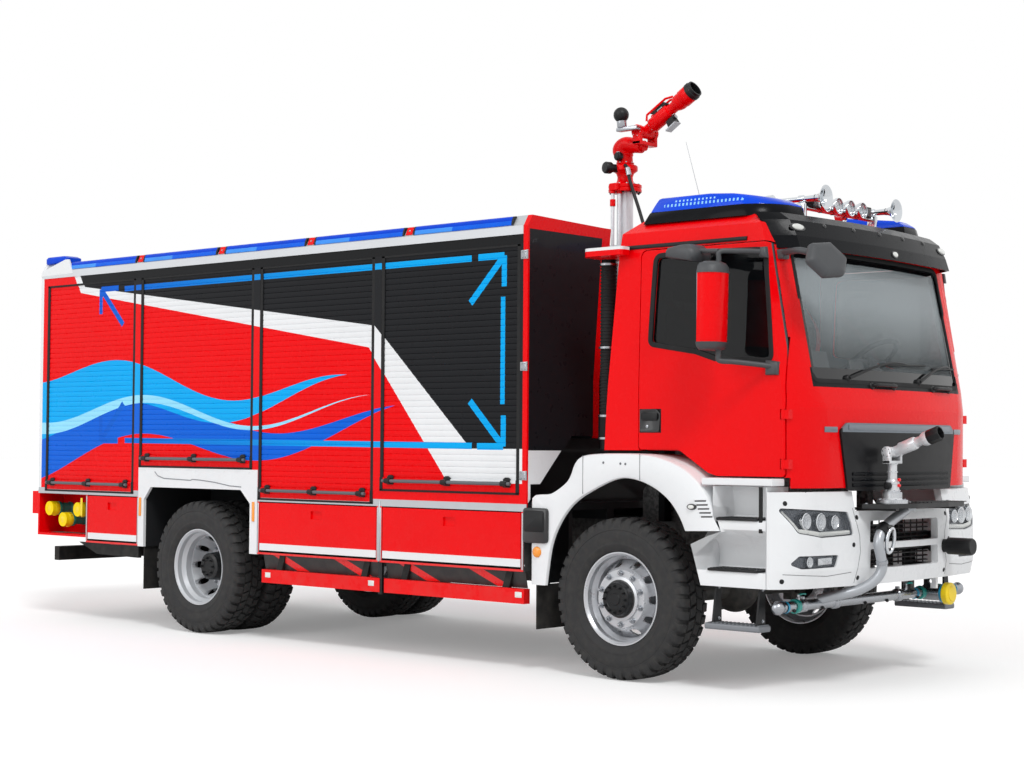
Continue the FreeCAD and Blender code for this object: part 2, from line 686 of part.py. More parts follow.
def cab_shell():
    """Hollow cab: floor, back wall, roof, pillars and front, with door and screen openings."""
    outer = cab_solid()
    inner = cab_solid(CAB_WALL, floor=CAB_FLOOR, ceiling=CAB_ROOF - 55)
    shell = outer.cut(inner)
    below = cab_solid(CAB_WALL, ceiling=CAB_FLOOR - CAB_FLOOR_THICKNESS)
    arch = side_prism([(fx(-400), CAB_BOTTOM - 50), (fx(-400), CAB_ARCH_BOTTOM), (fx(430), CAB_ARCH_BOTTOM),
                       (fx(430), CAB_ARCH_BOTTOM + 5), (fx(655), CAB_BOTTOM + 24),
                       (fx(760), CAB_BOTTOM - 1), (fx(760), CAB_BOTTOM - 50)], (-2000, 2000))
    shell = shell.cut(below).cut(arch)
    opening = door_prism(SHUT_GAP, (-CAB_SIDE - 100, -DOOR_INNER_Y + 5))
    # Over the belt the side leans in past the door's inner face, so the way in goes on through it.
    leaning = box((fx(-400), fx(1500)), (-CAB_SIDE, -DOOR_INNER_Y + CAB_WALL), (CAB_BELT, CAB_ROOF))
    opening = opening.fuse(leaning.common(door_prism(SHUT_GAP, (-CAB_SIDE - 100, -DOOR_INNER_Y + CAB_WALL))))
    shell = shell.cut(opening).cut(mirrored(opening))
    shell = shell.cut(screen_prism((fx(950), fx(1500))))
    for height in DOOR_HINGE_HEIGHTS:
        barrel = hinge_barrel(height)
        shell = shell.fuse(barrel).fuse(mirrored(barrel))
    return shell.cut(front_mirror_foot()).removeSplitter()


def door():
    """Right door with its window opening, handle recess and hinge pins."""
    leaf = cab_solid().common(door_prism(0, (-CAB_SIDE - 100, -DOOR_INNER_Y)))
    leaf = leaf.cut(window_prism((-CAB_SIDE - 100, -CAB_SIDE + 200)))
    recess = side_plate([(fx(128), 1592), (fx(282), 1592), (fx(282), 1736), (fx(128), 1736)], 22,
                        (-CAB_SIDE - 50, -CAB_SIDE + 38))
    bar = side_plate([(fx(122), 1676), (fx(290), 1676), (fx(290), 1712), (fx(122), 1712)], 8,
                     (-CAB_SIDE, -CAB_SIDE + 14))
    leaf = leaf.cut(recess).fuse(bar)
    for height in DOOR_HINGE_HEIGHTS:
        leaf = leaf.cut(hinge_pocket(height)).fuse(hinge_pin(height))
    return leaf.removeSplitter()


def door_glass():
    pane = cab_solid(20).cut(cab_solid(20 + GLASS))
    return pane.common(window_prism((-CAB_SIDE - 100, -DOOR_INNER_Y)))


def windscreen():
    pane = cab_solid(10).cut(cab_solid(10 + GLASS))
    return pane.common(screen_prism((fx(950), fx(1500))))


def main_mirror():
    """Right main mirror with its two arms and their feet on the door."""
    shell = side_plate([(fx(800), 2095), (fx(925), 2080), (fx(945), 2590), (fx(905), 2628),
                        (fx(805), 2600)], [25, 40, 40, 30, 25], (-1475, -1232))
    low_foot = side_plate([(fx(1085), 1935), (fx(1180), 1935), (fx(1180), 2022), (fx(1085), 2035)], 15,
                          (-CAB_SIDE - 30, -CAB_SIDE + 12))
    high_foot = side_plate([(fx(1030), 2655), (fx(1092), 2650), (fx(1082), 2725), (fx(1040), 2725)],
                           10, (-CAB_SIDE - 20, -CAB_SIDE + 40))
    return fuse(shell, low_foot, high_foot,
                rod((fx(1060), -1092, 2688), (fx(880), -1330, 2690), 17),
                rod((fx(880), -1330, 2580), (fx(880), -1330, 2690), 17),
                rod((fx(1140), -1125, 1990), (fx(880), -1330, 2020), 17),
                rod((fx(880), -1330, 2020), (fx(880), -1330, 2120), 17)).cut(door_side())


def kerb_mirror():
    """Kerb mirror ahead of and above the main mirror's arm, on the right side only."""
    shell = side_plate([(fx(520), 2665), (fx(745), 2625), (fx(760), 2700), (fx(700), 2745),
                        (fx(545), 2730)], [20, 25, 20, 30, 25], (-1430, -1200))
    return fuse(shell, rod((fx(880), -1330, 2690), (fx(640), -1330, 2690), 15))


def door_side():
    """Room that the right door fills, where the mirror feet stand on it."""
    return cab_solid()


def cab_seats():
    """Driver's seat, and a double bench beside it."""
    seats = []
    for y0, y1 in ((-930, -330), (330, 930)):
        profile = [(fx(250), CAB_FLOOR + 230), (fx(690), CAB_FLOOR + 250), (fx(720), CAB_FLOOR + 330),
                   (fx(330), CAB_FLOOR + 350), (fx(200), CAB_FLOOR + 900), (fx(110), CAB_FLOOR + 900),
                   (fx(150), CAB_FLOOR + 300)]
        seat = side_plate(profile, [20, 30, 40, 30, 40, 30, 30], (y0, y1))
        head = side_plate([(fx(95), CAB_FLOOR + 890), (fx(195), CAB_FLOOR + 890),
                           (fx(185), CAB_FLOOR + 1090), (fx(100), CAB_FLOOR + 1090)], 30,
                          ((y0 + y1) / 2 - 140, (y0 + y1) / 2 + 140))
        base = box((fx(250), fx(640)), (y0 + 90, y1 - 90), (CAB_FLOOR, CAB_FLOOR + 260))
        seats.append(fuse(seat, head, base))
    return seats


def dashboard():
    """Dash moulding with the steering column and wheel on the left."""
    profile = [(fx(840), 1700), (fx(1190), 1600), (fx(1190), 1935), (fx(900), 1935), (fx(850), 1860)]
    dash = side_plate(profile, [30, 10, 40, 60, 30], (-960, 960))
    cheeks = box((fx(1000), fx(1150)), (-900, -840), (CAB_FLOOR, 1700))
    hub_centre = Vector(fx(775), 620, 2100)
    column = rod((fx(947), 620, 1882), (fx(775), 620, 2100), 32)
    axis = Vector(-115, 0, 145)
    rim = Part.makeTorus(215, 16, hub_centre, axis)
    spoke = Part.makeCylinder(30, 34, hub_centre - axis * 0.05, axis)
    across = box((hub_centre.x - 12, hub_centre.x + 12), (620 - 215, 620 + 215),
                 (hub_centre.z - 9, hub_centre.z + 9))
    return fuse(dash, cheeks, mirrored(cheeks), column, rim, spoke, across)


def sun_visor():
    """Dark one-piece visor that wraps round the upper edge of the windscreen."""
    half = CAB_SIDE - 62
    rows = []
    for z, forward in ((2720, 118), (2800, 92), (2900, 40), (2950, -30)):
        middle = fx(1165 + forward)
        corner = fx(1092 + forward)
        side = fx(985 + forward * 0.6)
        outer = [Vector(side, -half, z), Vector(corner, -half + 120, z), Vector(middle, 0, z),
                 Vector(corner, half - 120, z), Vector(side, half, z)]
        inner = [p + Vector(-14, 0, 0) for p in outer]
        rows.append(Part.Wire([
            Part.LineSegment(outer[0], outer[1]).toShape(),
            Part.Arc(outer[1], outer[2], outer[3]).toShape(),
            Part.LineSegment(outer[3], outer[4]).toShape(),
            Part.LineSegment(outer[4], inner[4]).toShape(),
            Part.LineSegment(inner[4], inner[3]).toShape(),
            Part.Arc(inner[3], inner[2], inner[1]).toShape(),
            Part.LineSegment(inner[1], inner[0]).toShape(),
            Part.LineSegment(inner[0], outer[0]).toShape(),
        ]))
    return Part.makeLoft(rows, True, True).cut(cab_solid())


def visor_brackets():
    """Short stays from the cab's upper corners to the visor."""
    stays = []
    for y in (-880, -300, 300, 880):
        stays.append(box((fx(1050), fx(1180 if abs(y) < 500 else 1105)), (y - 15, y + 15), (2800, 2830))
                     .cut(cab_solid()))
    return stays


def cab_light_bars():
    """Two raised beacon units, one on each side of the roof: dark plinth and blue lens."""
    def outline(grow, x0, x1, z):
        return Part.Wire([
            Part.LineSegment(Vector(x0 - grow, -1010 - grow / 2, z),
                             Vector(x1 + grow - 200, -1010 - grow / 2, z)).toShape(),
            Part.Arc(Vector(x1 + grow - 200, -1010 - grow / 2, z),
                     Vector(x1 + grow - 50, -930, z), Vector(x1 + grow, -780, z)).toShape(),
            Part.LineSegment(Vector(x1 + grow, -780, z), Vector(x1 + grow, -640 + grow / 2, z)).toShape(),
            Part.LineSegment(Vector(x1 + grow, -640 + grow / 2, z),
                             Vector(x0 - grow, -640 + grow / 2, z)).toShape(),
            Part.LineSegment(Vector(x0 - grow, -640 + grow / 2, z),
                             Vector(x0 - grow, -1010 - grow / 2, z)).toShape()])
    plinth = Part.makeLoft([outline(40, fx(110), fx(1010), 2935), outline(0, fx(110), fx(1030), 3015)],
                           True, True)
    lens = Part.makeLoft([outline(-4, fx(110), fx(1030), 3015), outline(-50, fx(125), fx(1010), 3105)],
                         True, True)
    unit = fuse(plinth, lens).cut(cab_solid())
    return both(unit)


def air_horns():
    """Two trumpets and a bar with four round lamps, on feet on the cab roof."""
    pieces = []
    for side in (-1, 1):
        y = side * 440
        pieces.append(cone((fx(700), y, 3096), (fx(1000), y, 3096), 17, 24))
        pieces.append(cone((fx(1000), y, 3096), (fx(1085), y, 3096), 24, 78))
        pieces.append(rod((fx(620), y, 3096), (fx(700), y, 3096), 45))
    pieces.append(rod((fx(900), -470, 3050), (fx(900), 470, 3050), 20))
    for y in (-225, -75, 75, 225):
        pieces.append(rod((fx(890), y, 3085), (fx(960), y, 3085), 55))
    for y in (-440, 440):
        pieces.append(box((fx(870), fx(930)), (y - 22, y + 22), (CAB_ROOF, 3080)))
        pieces.append(box((fx(640), fx(690)), (y - 22, y + 22), (CAB_ROOF, 3080)))
    return fuse(*pieces)


def grille_panel():
    """Dark trapezoid grille on the cab front, with its wider shoulder near the top."""
    outline = [(-646, 1236), (646, 1236), (719, 1608), (653, 1655), (-653, 1655), (-719, 1608)]
    slab = end_plate(outline, [30, 30, 15, 30, 30, 15], (fx(1200), fx(1500)))
    outer = cab_solid(-14)
    skirt = list(CAB_SECTIONS[0])
    skirt[0] = 1200
    below = Part.makeLoft([cab_section(tuple(skirt), -14), cab_section(CAB_SECTIONS[0], -14)], True, True)
    panel = slab.common(outer.fuse(below))
    seat = -GRILLE_SEAT
    inner = Part.makeLoft([cab_section(tuple(skirt), seat), cab_section(CAB_SECTIONS[0], seat)], True, True)
    return panel.cut(cab_solid(seat)).cut(inner)


# ------------------------------------------------------------------ front bumper
def bumper_outline(z, setback, inset):
    side = SIDE - 16 - inset
    rear = fx(1166)
    front = fx(1418 - setback) - inset
    corner_x = fx(1350 - setback) - inset
    return Part.Wire([
        Part.LineSegment(Vector(rear, -side, z), Vector(fx(1186), -side, z)).toShape(),
        Part.Arc(Vector(fx(1186), -side, z), Vector(fx(1304 - setback) - inset * 0.8, -side + 128, z),
                 Vector(corner_x, -side + 330, z)).toShape(),
        Part.Arc(Vector(corner_x, -side + 330, z), Vector(front, 0, z),
                 Vector(corner_x, side - 330, z)).toShape(),
        Part.Arc(Vector(corner_x, side - 330, z), Vector(fx(1304 - setback) - inset * 0.8, side - 128, z),
                 Vector(fx(1186), side, z)).toShape(),
        Part.LineSegment(Vector(fx(1186), side, z), Vector(rear, side, z)).toShape(),
        Part.LineSegment(Vector(rear, side, z), Vector(rear, -side, z)).toShape()])


def bumper_form(inset, bottom, top):
    rows = ((bottom, 26), (760, 4), (1040, 6), (top, 48))
    return Part.makeLoft([bumper_outline(z, setback, inset) for z, setback in rows], True, True)


def lamp_prism(which, x):
    """Front-view outline of a right-hand lamp; head is the headlamp, fog the fog lamp."""
    if which == "head":
        points = [(-1205, 1138), (-640, 1108), (-600, 965), (-905, 955), (-1100, 985)]
        return end_plate(points, [15, 15, 12, 60, 40], x)
    points = [(-1150, 800), (-1095, 850), (-745, 848), (-775, 775), (-1080, 772)]
    return end_plate(points, [12, 20, 12, 20, 30], x)


def bumper_shell():
    """White bumper skin with the lamp pockets and the two air openings."""
    outer = bumper_form(0, BUMPER_BOTTOM, BUMPER_TOP)
    inner = bumper_form(BUMPER_WALL, BUMPER_BOTTOM - 5, BUMPER_TOP + 5)
    inner.translate(Vector(-3, 0, 0))
    shell = outer.cut(inner.fuse(box((fx(1100), fx(1200)), (-SIDE + 60, SIDE - 60),
                                     (BUMPER_BOTTOM - 9, BUMPER_TOP + 9))))
    for low, high in ((752, 872), (912, 1048)):
        half = AIR_OPENING_HALF
        shell = shell.cut(end_plate([(-half - 7, low), (half + 7, low), (half, high), (-half, high)], 14,
                                    (fx(1200), fx(1500))))
    shell = shell.cut(box((fx(1100), fx(1500)), (-560, 560), (BUMPER_MONITOR_Z - 58, BUMPER_TOP + 20)))
    shell = shell.cut(rod((fx(1200), 530, 860), (fx(1500), 530, 860), 45))
    for which in ("head", "fog"):
        pod = lamp_prism(which, (fx(1180), fx(1500)))
        shell = shell.cut(pod).cut(mirrored(pod))
    return shell


def front_bumper():
    """Corner pods, the bars between them over and under the air openings, and the carrier."""
    shell = bumper_shell()
    seam = AIR_OPENING_HALF - BUMPER_SEAM
    right, bars, left = [
        shell.common(box((fx(1000), fx(1600)), span, (BUMPER_BOTTOM - 50, BUMPER_TOP + 50)))
        for span in ((-SIDE - 50, -seam), (-seam, seam), (seam, SIDE + 50))]
    carriers = [box((fx(1090), fx(1150)), (-900, 900), (820, 940))]
    for y in (-300, 300):
        carriers.append(box((fx(1092), fx(1380)), (y - 30, y + 30), (876, 908)))
    for y in (-TOW_Y, TOW_Y):
        carriers.append(box((fx(1092), fx(1150)), (y - 40, y + 40), (700, 830)))
        carriers.append(box((fx(1092), fx(1350)), (y - 40, y + 40), (700, 745)))
        lug = box((fx(TOW_X - 45), fx(TOW_X + 45)), (y - 14, y + 14), (TOW_Z - 45, 705))
        carriers.append(lug.cut(rod((fx(TOW_X), y - 20, TOW_Z), (fx(TOW_X), y + 20, TOW_Z), TOW_RADIUS)))
    return [right, left] + bars.Solids + [fuse(*carriers).cut(shell)]


def road_lamps():
    """Headlamps, fog lamps and tail lamps: closed lamp bodies in their pockets."""
    lamps = []
    skin = bumper_form(6, BUMPER_BOTTOM, BUMPER_TOP)
    core = bumper_form(BUMPER_WALL, BUMPER_BOTTOM - 5, BUMPER_TOP + 5)
    core.translate(Vector(-3, 0, 0))
    for which in ("head", "fog"):
        lamp = lamp_prism(which, (fx(1182), fx(1500))).common(skin).cut(core)
        lamps += both(lamp)
    rear = BODY_REAR
    tail = box((rear - 118, rear - 100), (-1150, -830), (925, 1035))
    lamps += both(tail)
    return lamps


def monitor_platform():
    """Dark deck in front of the grille with a grating, carrying the bumper monitor's foot."""
    z = BUMPER_MONITOR_Z
    deck = plan_plate([(fx(1408), -560), (fx(1560), -500), (fx(1600), -200), (fx(1600), 200),
                       (fx(1560), 500), (fx(1408), 560)], [10, 60, 80, 80, 60, 10], (z - 40, z - 12))
    for i in range(5):
        x = fx(1440 + i * 28)
        deck = deck.cut(box((x, x + 12), (40, 470), (z - 50, z)))
    x = fx(BUMPER_MONITOR_X)
    y = BUMPER_MONITOR_Y
    foot = z + BUMPER_FOOT_HEIGHT
    r = BUMPER_BARREL_RADIUS
    flange = rod((x, y, z - 12), (x, y, z + 12), 96)
    collar = rod((x, y, z), (x, y, foot), 60)
    spigot = rod((x, y, foot), (x, y, foot + 1.4 * r), SPIGOT_SHARE * r)
    stays = []
    for y in (-380, 380):
        stays.append(box((fx(1092), fx(1560)), (y - 20, y + 20), (z - 56, z - 40)))
        stays.append(box((fx(1092), fx(1152)), (y - 30, y + 30), (940, z - 40)))
    return fuse(deck, flange, collar, spigot, *stays)


def monitor_head(x, y, foot, pivot_x, pivot_z, r):
    """Turning head: bored base on the spigot, rising neck, and a yoke with the cross pin."""
    low = foot + FIT
    base = rod((x, y, low), (x, y, low + 2.6 * r), 1.6 * r)
    motor = rod((x, y - 1.2 * r, low + 1.3 * r), (x, y - 2.7 * r, low + 1.3 * r), 0.8 * r)
    neck = rod((x, y, low + 2.2 * r), (pivot_x, y, pivot_z - 2.4 * r), 0.95 * r)
    yoke = box((pivot_x - 0.9 * r, pivot_x + 0.9 * r), (y - YOKE_SHARE * r, y + YOKE_SHARE * r),
               (pivot_z - 2.4 * r, pivot_z - 1.75 * r))
    pieces = [base, motor, neck, yoke]
    for side in (-1, 1):
        near, far = sorted((y + side * 1.75 * r, y + side * YOKE_SHARE * r))
        pieces.append(box((pivot_x - 0.9 * r, pivot_x + 0.9 * r), (near, far),
                          (pivot_z - 2.4 * r, pivot_z)))
        pieces.append(rod((pivot_x, near, pivot_z), (pivot_x, far, pivot_z), 1.2 * r))
    pieces.append(rod((pivot_x, y - 1.8 * r, pivot_z), (pivot_x, y + 1.8 * r, pivot_z), 0.5 * r))
    return fuse(*pieces).cut(rod((x, y, low - 1), (x, y, foot + 1.4 * r + 5), SPIGOT_SHARE * r + FIT))


def monitor_barrel(x, y, z, length, angle, r):
    """Barrel along +X with its sleeve and nozzle, raised about the cross pin's axis."""
    barrel = fuse(rod((x, y - 1.6 * r, z), (x, y + 1.6 * r, z), 1.1 * r),
                  rod((x, y, z), (x + 0.7 * length, y, z), r),
                  rod((x + 2 * r, y, z), (x + 0.5 * length, y, z), 1.35 * r),
                  cone((x + 0.6 * length, y, z), (x + 0.72 * length, y, z), r, 1.6 * r),
                  rod((x + 0.72 * length, y, z), (x + length, y, z), 1.6 * r))
    barrel = barrel.cut(rod((x, y - 2 * r, z), (x, y + 2 * r, z), 0.5 * r + FIT))
    barrel = barrel.cut(rod((x + 0.78 * length, y, z), (x + length + 1, y, z), 1.2 * r))
    barrel.rotate(Vector(x, y, z), Vector(0, 1, 0), -angle)
    return barrel


def spray_bar():
    """Stainless self-protection spray bar under the bumper, with the front inlet and outlet."""
    z = 535
    x = fx(1172)
    half = 1120
    pieces = [rod((x, -half, z), (x, half, z), 33)]
    for y in (-half, half):
        pieces.append(Part.makeSphere(44, Vector(x, y, z)))
    for y in (-850, -480, 300, 700):
        pieces.append(rod((x, y - 22, z), (x, y + 22, z), 42))
    for y in (-480, 480):
        pieces.append(box((x - 14, x + 14), (y - 25, y + 25), (z, 700)))
    pieces.append(rod((x, 660, z), (fx(1330), 660, z), 52))
    pieces.append(rod((fx(1330), 660, z), (fx(1385), 660, z), 74))
    return fuse(*pieces)


def feed_pipe():
    """Steel pipe that rises in front of the bumper to the bumper monitor's deck."""
    points = [(fx(1172), -480, 556), (fx(1440), -430, 572), (fx(1482), -350, 690),
              (fx(1482), -330, 930), (fx(1480), -250, 1010), (fx(1480), -150, 1090),
              (fx(1480), -110, BUMPER_MONITOR_Z - 40)]
    pieces = []
    for a, b in zip(points, points[1:]):
        pieces.append(rod(a, b, 36))
        pieces.append(Part.makeSphere(36, Vector(*b)))
    solid = fuse(*pieces)
    return solid.cut(box((fx(1300), fx(1600)), (-400, 200), (BUMPER_MONITOR_Z - 40, BUMPER_MONITOR_Z + 60)))


def front_outlet():
    """Capped outlet on the left of the bumper."""
    return fuse(rod((fx(1290), 530, 860), (fx(1500), 530, 860), 44),
                rod((fx(1410), 530, 860), (fx(1600), 530, 860), 56))


def front_mirror_foot():
    """Foot of the front mirror, let a little into the cab's right front pillar."""
    return box((fx(1050), fx(1150)), (-1030, -960), (2650, 2712)).cut(cab_solid(MIRROR_SEAT))


def front_mirror():
    """Hexagonal front mirror on its arm, on the cab's right front pillar."""
    centre = Vector(fx(1440), -1040, 2612)
    points = []
    for i in range(6):
        angle = math.radians(60 * i + 8)
        points.append(Vector(0, 165 * math.cos(angle), 140 * math.sin(angle)))
    disc = Part.Face(Part.makePolygon(points + [points[0]])).extrude(Vector(55, 0, 0))
    disc.rotate(Vector(0, 0, 0), Vector(0, 1, 0), 24)
    disc.rotate(Vector(0, 0, 0), Vector(0, 0, 1), 10)
    disc.translate(centre)
    arm = rod((fx(1130), -1000, 2688), (fx(1300), -1085, 2686), 22)
    arm2 = rod((fx(1300), -1085, 2686), (fx(1460), -1050, 2640), 20)
    return fuse(fuse(disc, arm, arm2).cut(cab_solid()), front_mirror_foot())


# ------------------------------------------------------------------ fenders and steps
FENDER_OUTER = [(-697, 580), (-697, 1179), (-535, 1179), (-374, 1278), (-330, 1380), (-274, 1440),
                (-107, 1455), (217, 1455), (530, 1381), (683, 1266), (736, 1200), (796, 1073),
                (833, 989)]
FENDER_INNER = [(555, 979), (470, 1137), (218, 1282), (58, 1305), (-64, 1258), (-313, 1149),
                (-482, 948), (-541, 749), (-566, 580)]
FENDER_SKIN = 12


def front_fender():
    """Right front mudguard: outer skin, arch liner and top, with its arm from the frame."""
    points = [(fx(px), pz) for px, pz in FENDER_OUTER + FENDER_INNER]
    side = SIDE - 10
    solid = side_prism(points, (-side, -850))
    face = face_of([Vector(px, -side + 15, pz) for px, pz in points])
    room = face.makeOffset2D(-FENDER_SKIN, join=2).extrude(Vector(0, 500, 0))
    arm = box((fx(-690), fx(-645)), (-1100, -RAIL_OUTER), (900, 960))
    sweep = rod((fx(0), -KINGPIN_Y, 300), (fx(0), -KINGPIN_Y, 2 * TYRE_RADIUS + 6), TYRE_SWEEP)
    return fuse(solid.cut(room).cut(sweep), arm)


STEP_OUTLINE = [(609, 901), (686, 653), (1161, 650), (1160, 1270), (773, 1262), (796, 1073),
                (833, 989), (620, 978)]
STEP_NICHES = (((800, 1110), (1060, 1255), 220), ((735, 1110), (750, 985), 180))


def entrance_step():
    """Right entrance steps: box with two open niches, and the hanging lower step."""
    side = SIDE - 15
    solid = side_prism([(fx(px), pz) for px, pz in STEP_OUTLINE], (-side, -990))
    for x, z, depth in STEP_NICHES:
        niche = side_plate([(fx(x[0]), z[0]), (fx(x[1]), z[0]), (fx(x[1]), z[1]), (fx(x[0]), z[1])],
                           15, (-side - 1, -side + depth))
        solid = solid.cut(niche)
    arm = box((fx(880), fx(940)), (-1000, -RAIL_OUTER), (700, 760))
    tread = box((fx(700), fx(1100)), (-1215, -1085), (385, 425))
    hangers = [box((fx(x), fx(x + 12)), (-1165, -1115), (420, 655)) for x in (745, 1060)]
    return fuse(solid, arm, tread, *hangers)


# ------------------------------------------------------------------ superstructure
def arch_room(grow, depth, top):
    """Space of the right rear wheel arch, up to a height."""
    return box((rx(-ARCH_OPENING - grow), rx(ARCH_OPENING + grow)),
               (-SIDE - 50, -WHEELHOUSE_INNER + depth), (RAIL_TOP - 400, top))


def wheelhouse():
    """Right rear wheelhouse: inner wall, end walls and top, open to the outside."""
    wall = WHEELHOUSE_WALL
    house = arch_room(wall, wall, ARCH_TOP + 5 + wall).cut(arch_room(0, 0, ARCH_TOP + 5))
    reach = 2 * ARCH_OPENING
    house = house.common(box((rx(-reach), rx(reach)), (-SIDE + ARCH_FRAME_DEPTH, 0), (ARCH_BOTTOM, 2000)))
    return house.cut(box((rx(-reach), rx(reach)), (-SIDE, -SIDE + PANEL), (ARCH_TOP + 5, 2000)))


def body_floor():
    """Floor plate with room for the wheelhouses, its two bearers, and the two wheelhouses."""
    plate = box((BODY_REAR, BODY_FRONT), (-SIDE, SIDE), (FLOOR_BOTTOM, FLOOR_TOP))
    frame_zone = box((rx(-ARCH_LEG_REAR), rx(ARCH_LEG_FRONT)), (-SIDE - 1, -SIDE + ARCH_FRAME_DEPTH),
                     (0, FLOOR_TOP + 1))
    wall = WHEELHOUSE_WALL
    for piece in both(frame_zone) + both(arch_room(wall, wall, ARCH_TOP)):
        plate = plate.cut(piece)
    bearer = box((BODY_REAR + 150, BODY_FRONT), (-RAIL_OUTER, -RAIL_OUTER + RAIL_FLANGE),
                 (RAIL_TOP, FLOOR_BOTTOM))
    return [plate] + both(bearer) + both(wheelhouse())


def bay_opening(bay, bottom):
    return box(bay, (-SIDE - 20, -SIDE + PANEL + 20), (bottom, SHUTTER_TOP))


def body_side():
    """Right side wall with its four shutter openings and the gutter rail."""
    wall = box((BODY_REAR + PANEL, BODY_FRONT - PANEL), (-SIDE, -SIDE + PANEL), (FLOOR_TOP, BODY_SIDE_TOP))
    arch = box((rx(-ARCH_LEG_REAR), rx(ARCH_LEG_FRONT)), (-SIDE - 1, 0), (0, ARCH_TOP + 5))
    wall = wall.cut(arch)
    for bay, bottom in zip(BAYS, SHUTTER_BOTTOMS):
        wall = wall.cut(bay_opening(bay, bottom))
    gutter = box((BODY_REAR + PANEL, BODY_FRONT - PANEL), (-SIDE - 6, -SIDE),
                 (BODY_SIDE_TOP - 58, BODY_SIDE_TOP))
    return wall.fuse(gutter).removeSplitter()


def roof_outline(inset=0):
    """Outer half outline of the roof in the end view, from the gutter to the walkway's edge."""
    return [(-SIDE + inset, BODY_SIDE_TOP), (-SIDE + 45 + inset, BODY_ROOF_EDGE),
            (-WALKWAY_HALF_WIDTH, BODY_ROOF_EDGE - 20)]


def well_wall(offset, low, high):
    """Inner edge of the mast well on the right, moved outwards, between two heights."""
    def edge(z):
        if z <= WELL_BEND:
            return WELL_HALF_WIDTH
        share = (z - WELL_BEND) / (BODY_ROOF_EDGE - 20 - WELL_BEND)
        return WELL_HALF_WIDTH + (WELL_TOP_HALF_WIDTH - WELL_HALF_WIDTH) * share
    return [(-edge(low) - offset, low), (-WELL_HALF_WIDTH - offset, WELL_BEND),
            (-edge(high) - offset, high)]


def front_wall():
    """Right half of the front wall: shoulder by the cab, diagonal lower edge, and the well's return."""
    walk = BODY_ROOF_EDGE - 20
    outline = [(-SIDE, FRONT_WALL_BOTTOM), (-SIDE, BODY_SIDE_TOP), (-SIDE + 45, BODY_ROOF_EDGE),
               (-WALKWAY_HALF_WIDTH, walk)] + well_wall(0, WELL_FLOOR, walk)[::-1]
    outline += [(-779, WELL_FLOOR), (-1096, FRONT_WALL_BOTTOM)]
    panel = end_prism(outline, (BODY_FRONT - PANEL, BODY_FRONT))
    under_roof = WELL_TOP_Z
    inner = well_wall(0, WELL_FLOOR, under_roof)
    outer = well_wall(WELL_SHEET, WELL_FLOOR, under_roof)
    side = end_prism(inner + outer[::-1], (BODY_FRONT - WELL_DEPTH, BODY_FRONT - PANEL))
    ceiling = end_prism([(-SIDE + PANEL, FRONT_WALL_BOTTOM), (-1096, FRONT_WALL_BOTTOM), (-779, WELL_FLOOR),
                         (-WELL_HALF_WIDTH - WELL_SHEET, WELL_FLOOR),
                         (-WELL_HALF_WIDTH - WELL_SHEET, WELL_FLOOR + 15), (-785, WELL_FLOOR + 15),
                         (-1102, FRONT_WALL_BOTTOM + 15), (-SIDE + PANEL, FRONT_WALL_BOTTOM + 15)],
                        (BODY_FRONT - RECESS_DEPTH, BODY_FRONT - PANEL))
    strip = box((BODY_FRONT - PANEL, BODY_FRONT), (-SIDE, -SIDE + PANEL), (FLOOR_TOP, FRONT_WALL_BOTTOM))
    return [panel, side, ceiling, strip]


def body_front():
    """Front wall of both sides, with the well between them and the recess below it."""
    right = front_wall()
    under_roof = WELL_TOP_Z
    back = BODY_FRONT - WELL_DEPTH
    inner = well_wall(WELL_SHEET, WELL_FLOOR, under_roof)
    rear = end_prism(inner + [(-py, pz) for py, pz in inner[::-1]], (back - WELL_SHEET, back))
    half = WELL_HALF_WIDTH + WELL_SHEET
    floor = box((back - WELL_SHEET, BODY_FRONT), (-half, half), (WELL_FLOOR - 15, WELL_FLOOR + 15))
    close = box((BODY_FRONT - RECESS_DEPTH - 15, BODY_FRONT - RECESS_DEPTH), (-SIDE + PANEL, SIDE - PANEL),
                (FLOOR_TOP, WELL_FLOOR + 15))
    mast_foot = box((fx(MAST_X) - 110, fx(MAST_X) + 110), (-220, 130), (WELL_FLOOR + 15, WELL_FLOOR + 30))
    return fuse(*right, *[mirrored(piece) for piece in right], rear, floor, close, mast_foot)


def body_rear():
    """Rear wall with its shutter opening and the end of the walkway."""
    half = roof_outline()
    outline = [(-SIDE, FLOOR_TOP)] + half + [(-WALKWAY_HALF_WIDTH, BODY_ROOF_EDGE - WALKWAY_DEPTH - 20)]
    outline += [(-py, pz) for py, pz in outline[::-1]]
    wall = end_prism(outline, (BODY_REAR, BODY_REAR + PANEL))
    half_width = REAR_SHUTTER_HALF_WIDTH
    return wall.cut(box((BODY_REAR - 1, BODY_REAR + PANEL + 1), (-half_width, half_width),
                        (REAR_SHUTTER_BOTTOM, REAR_SHUTTER_TOP)))


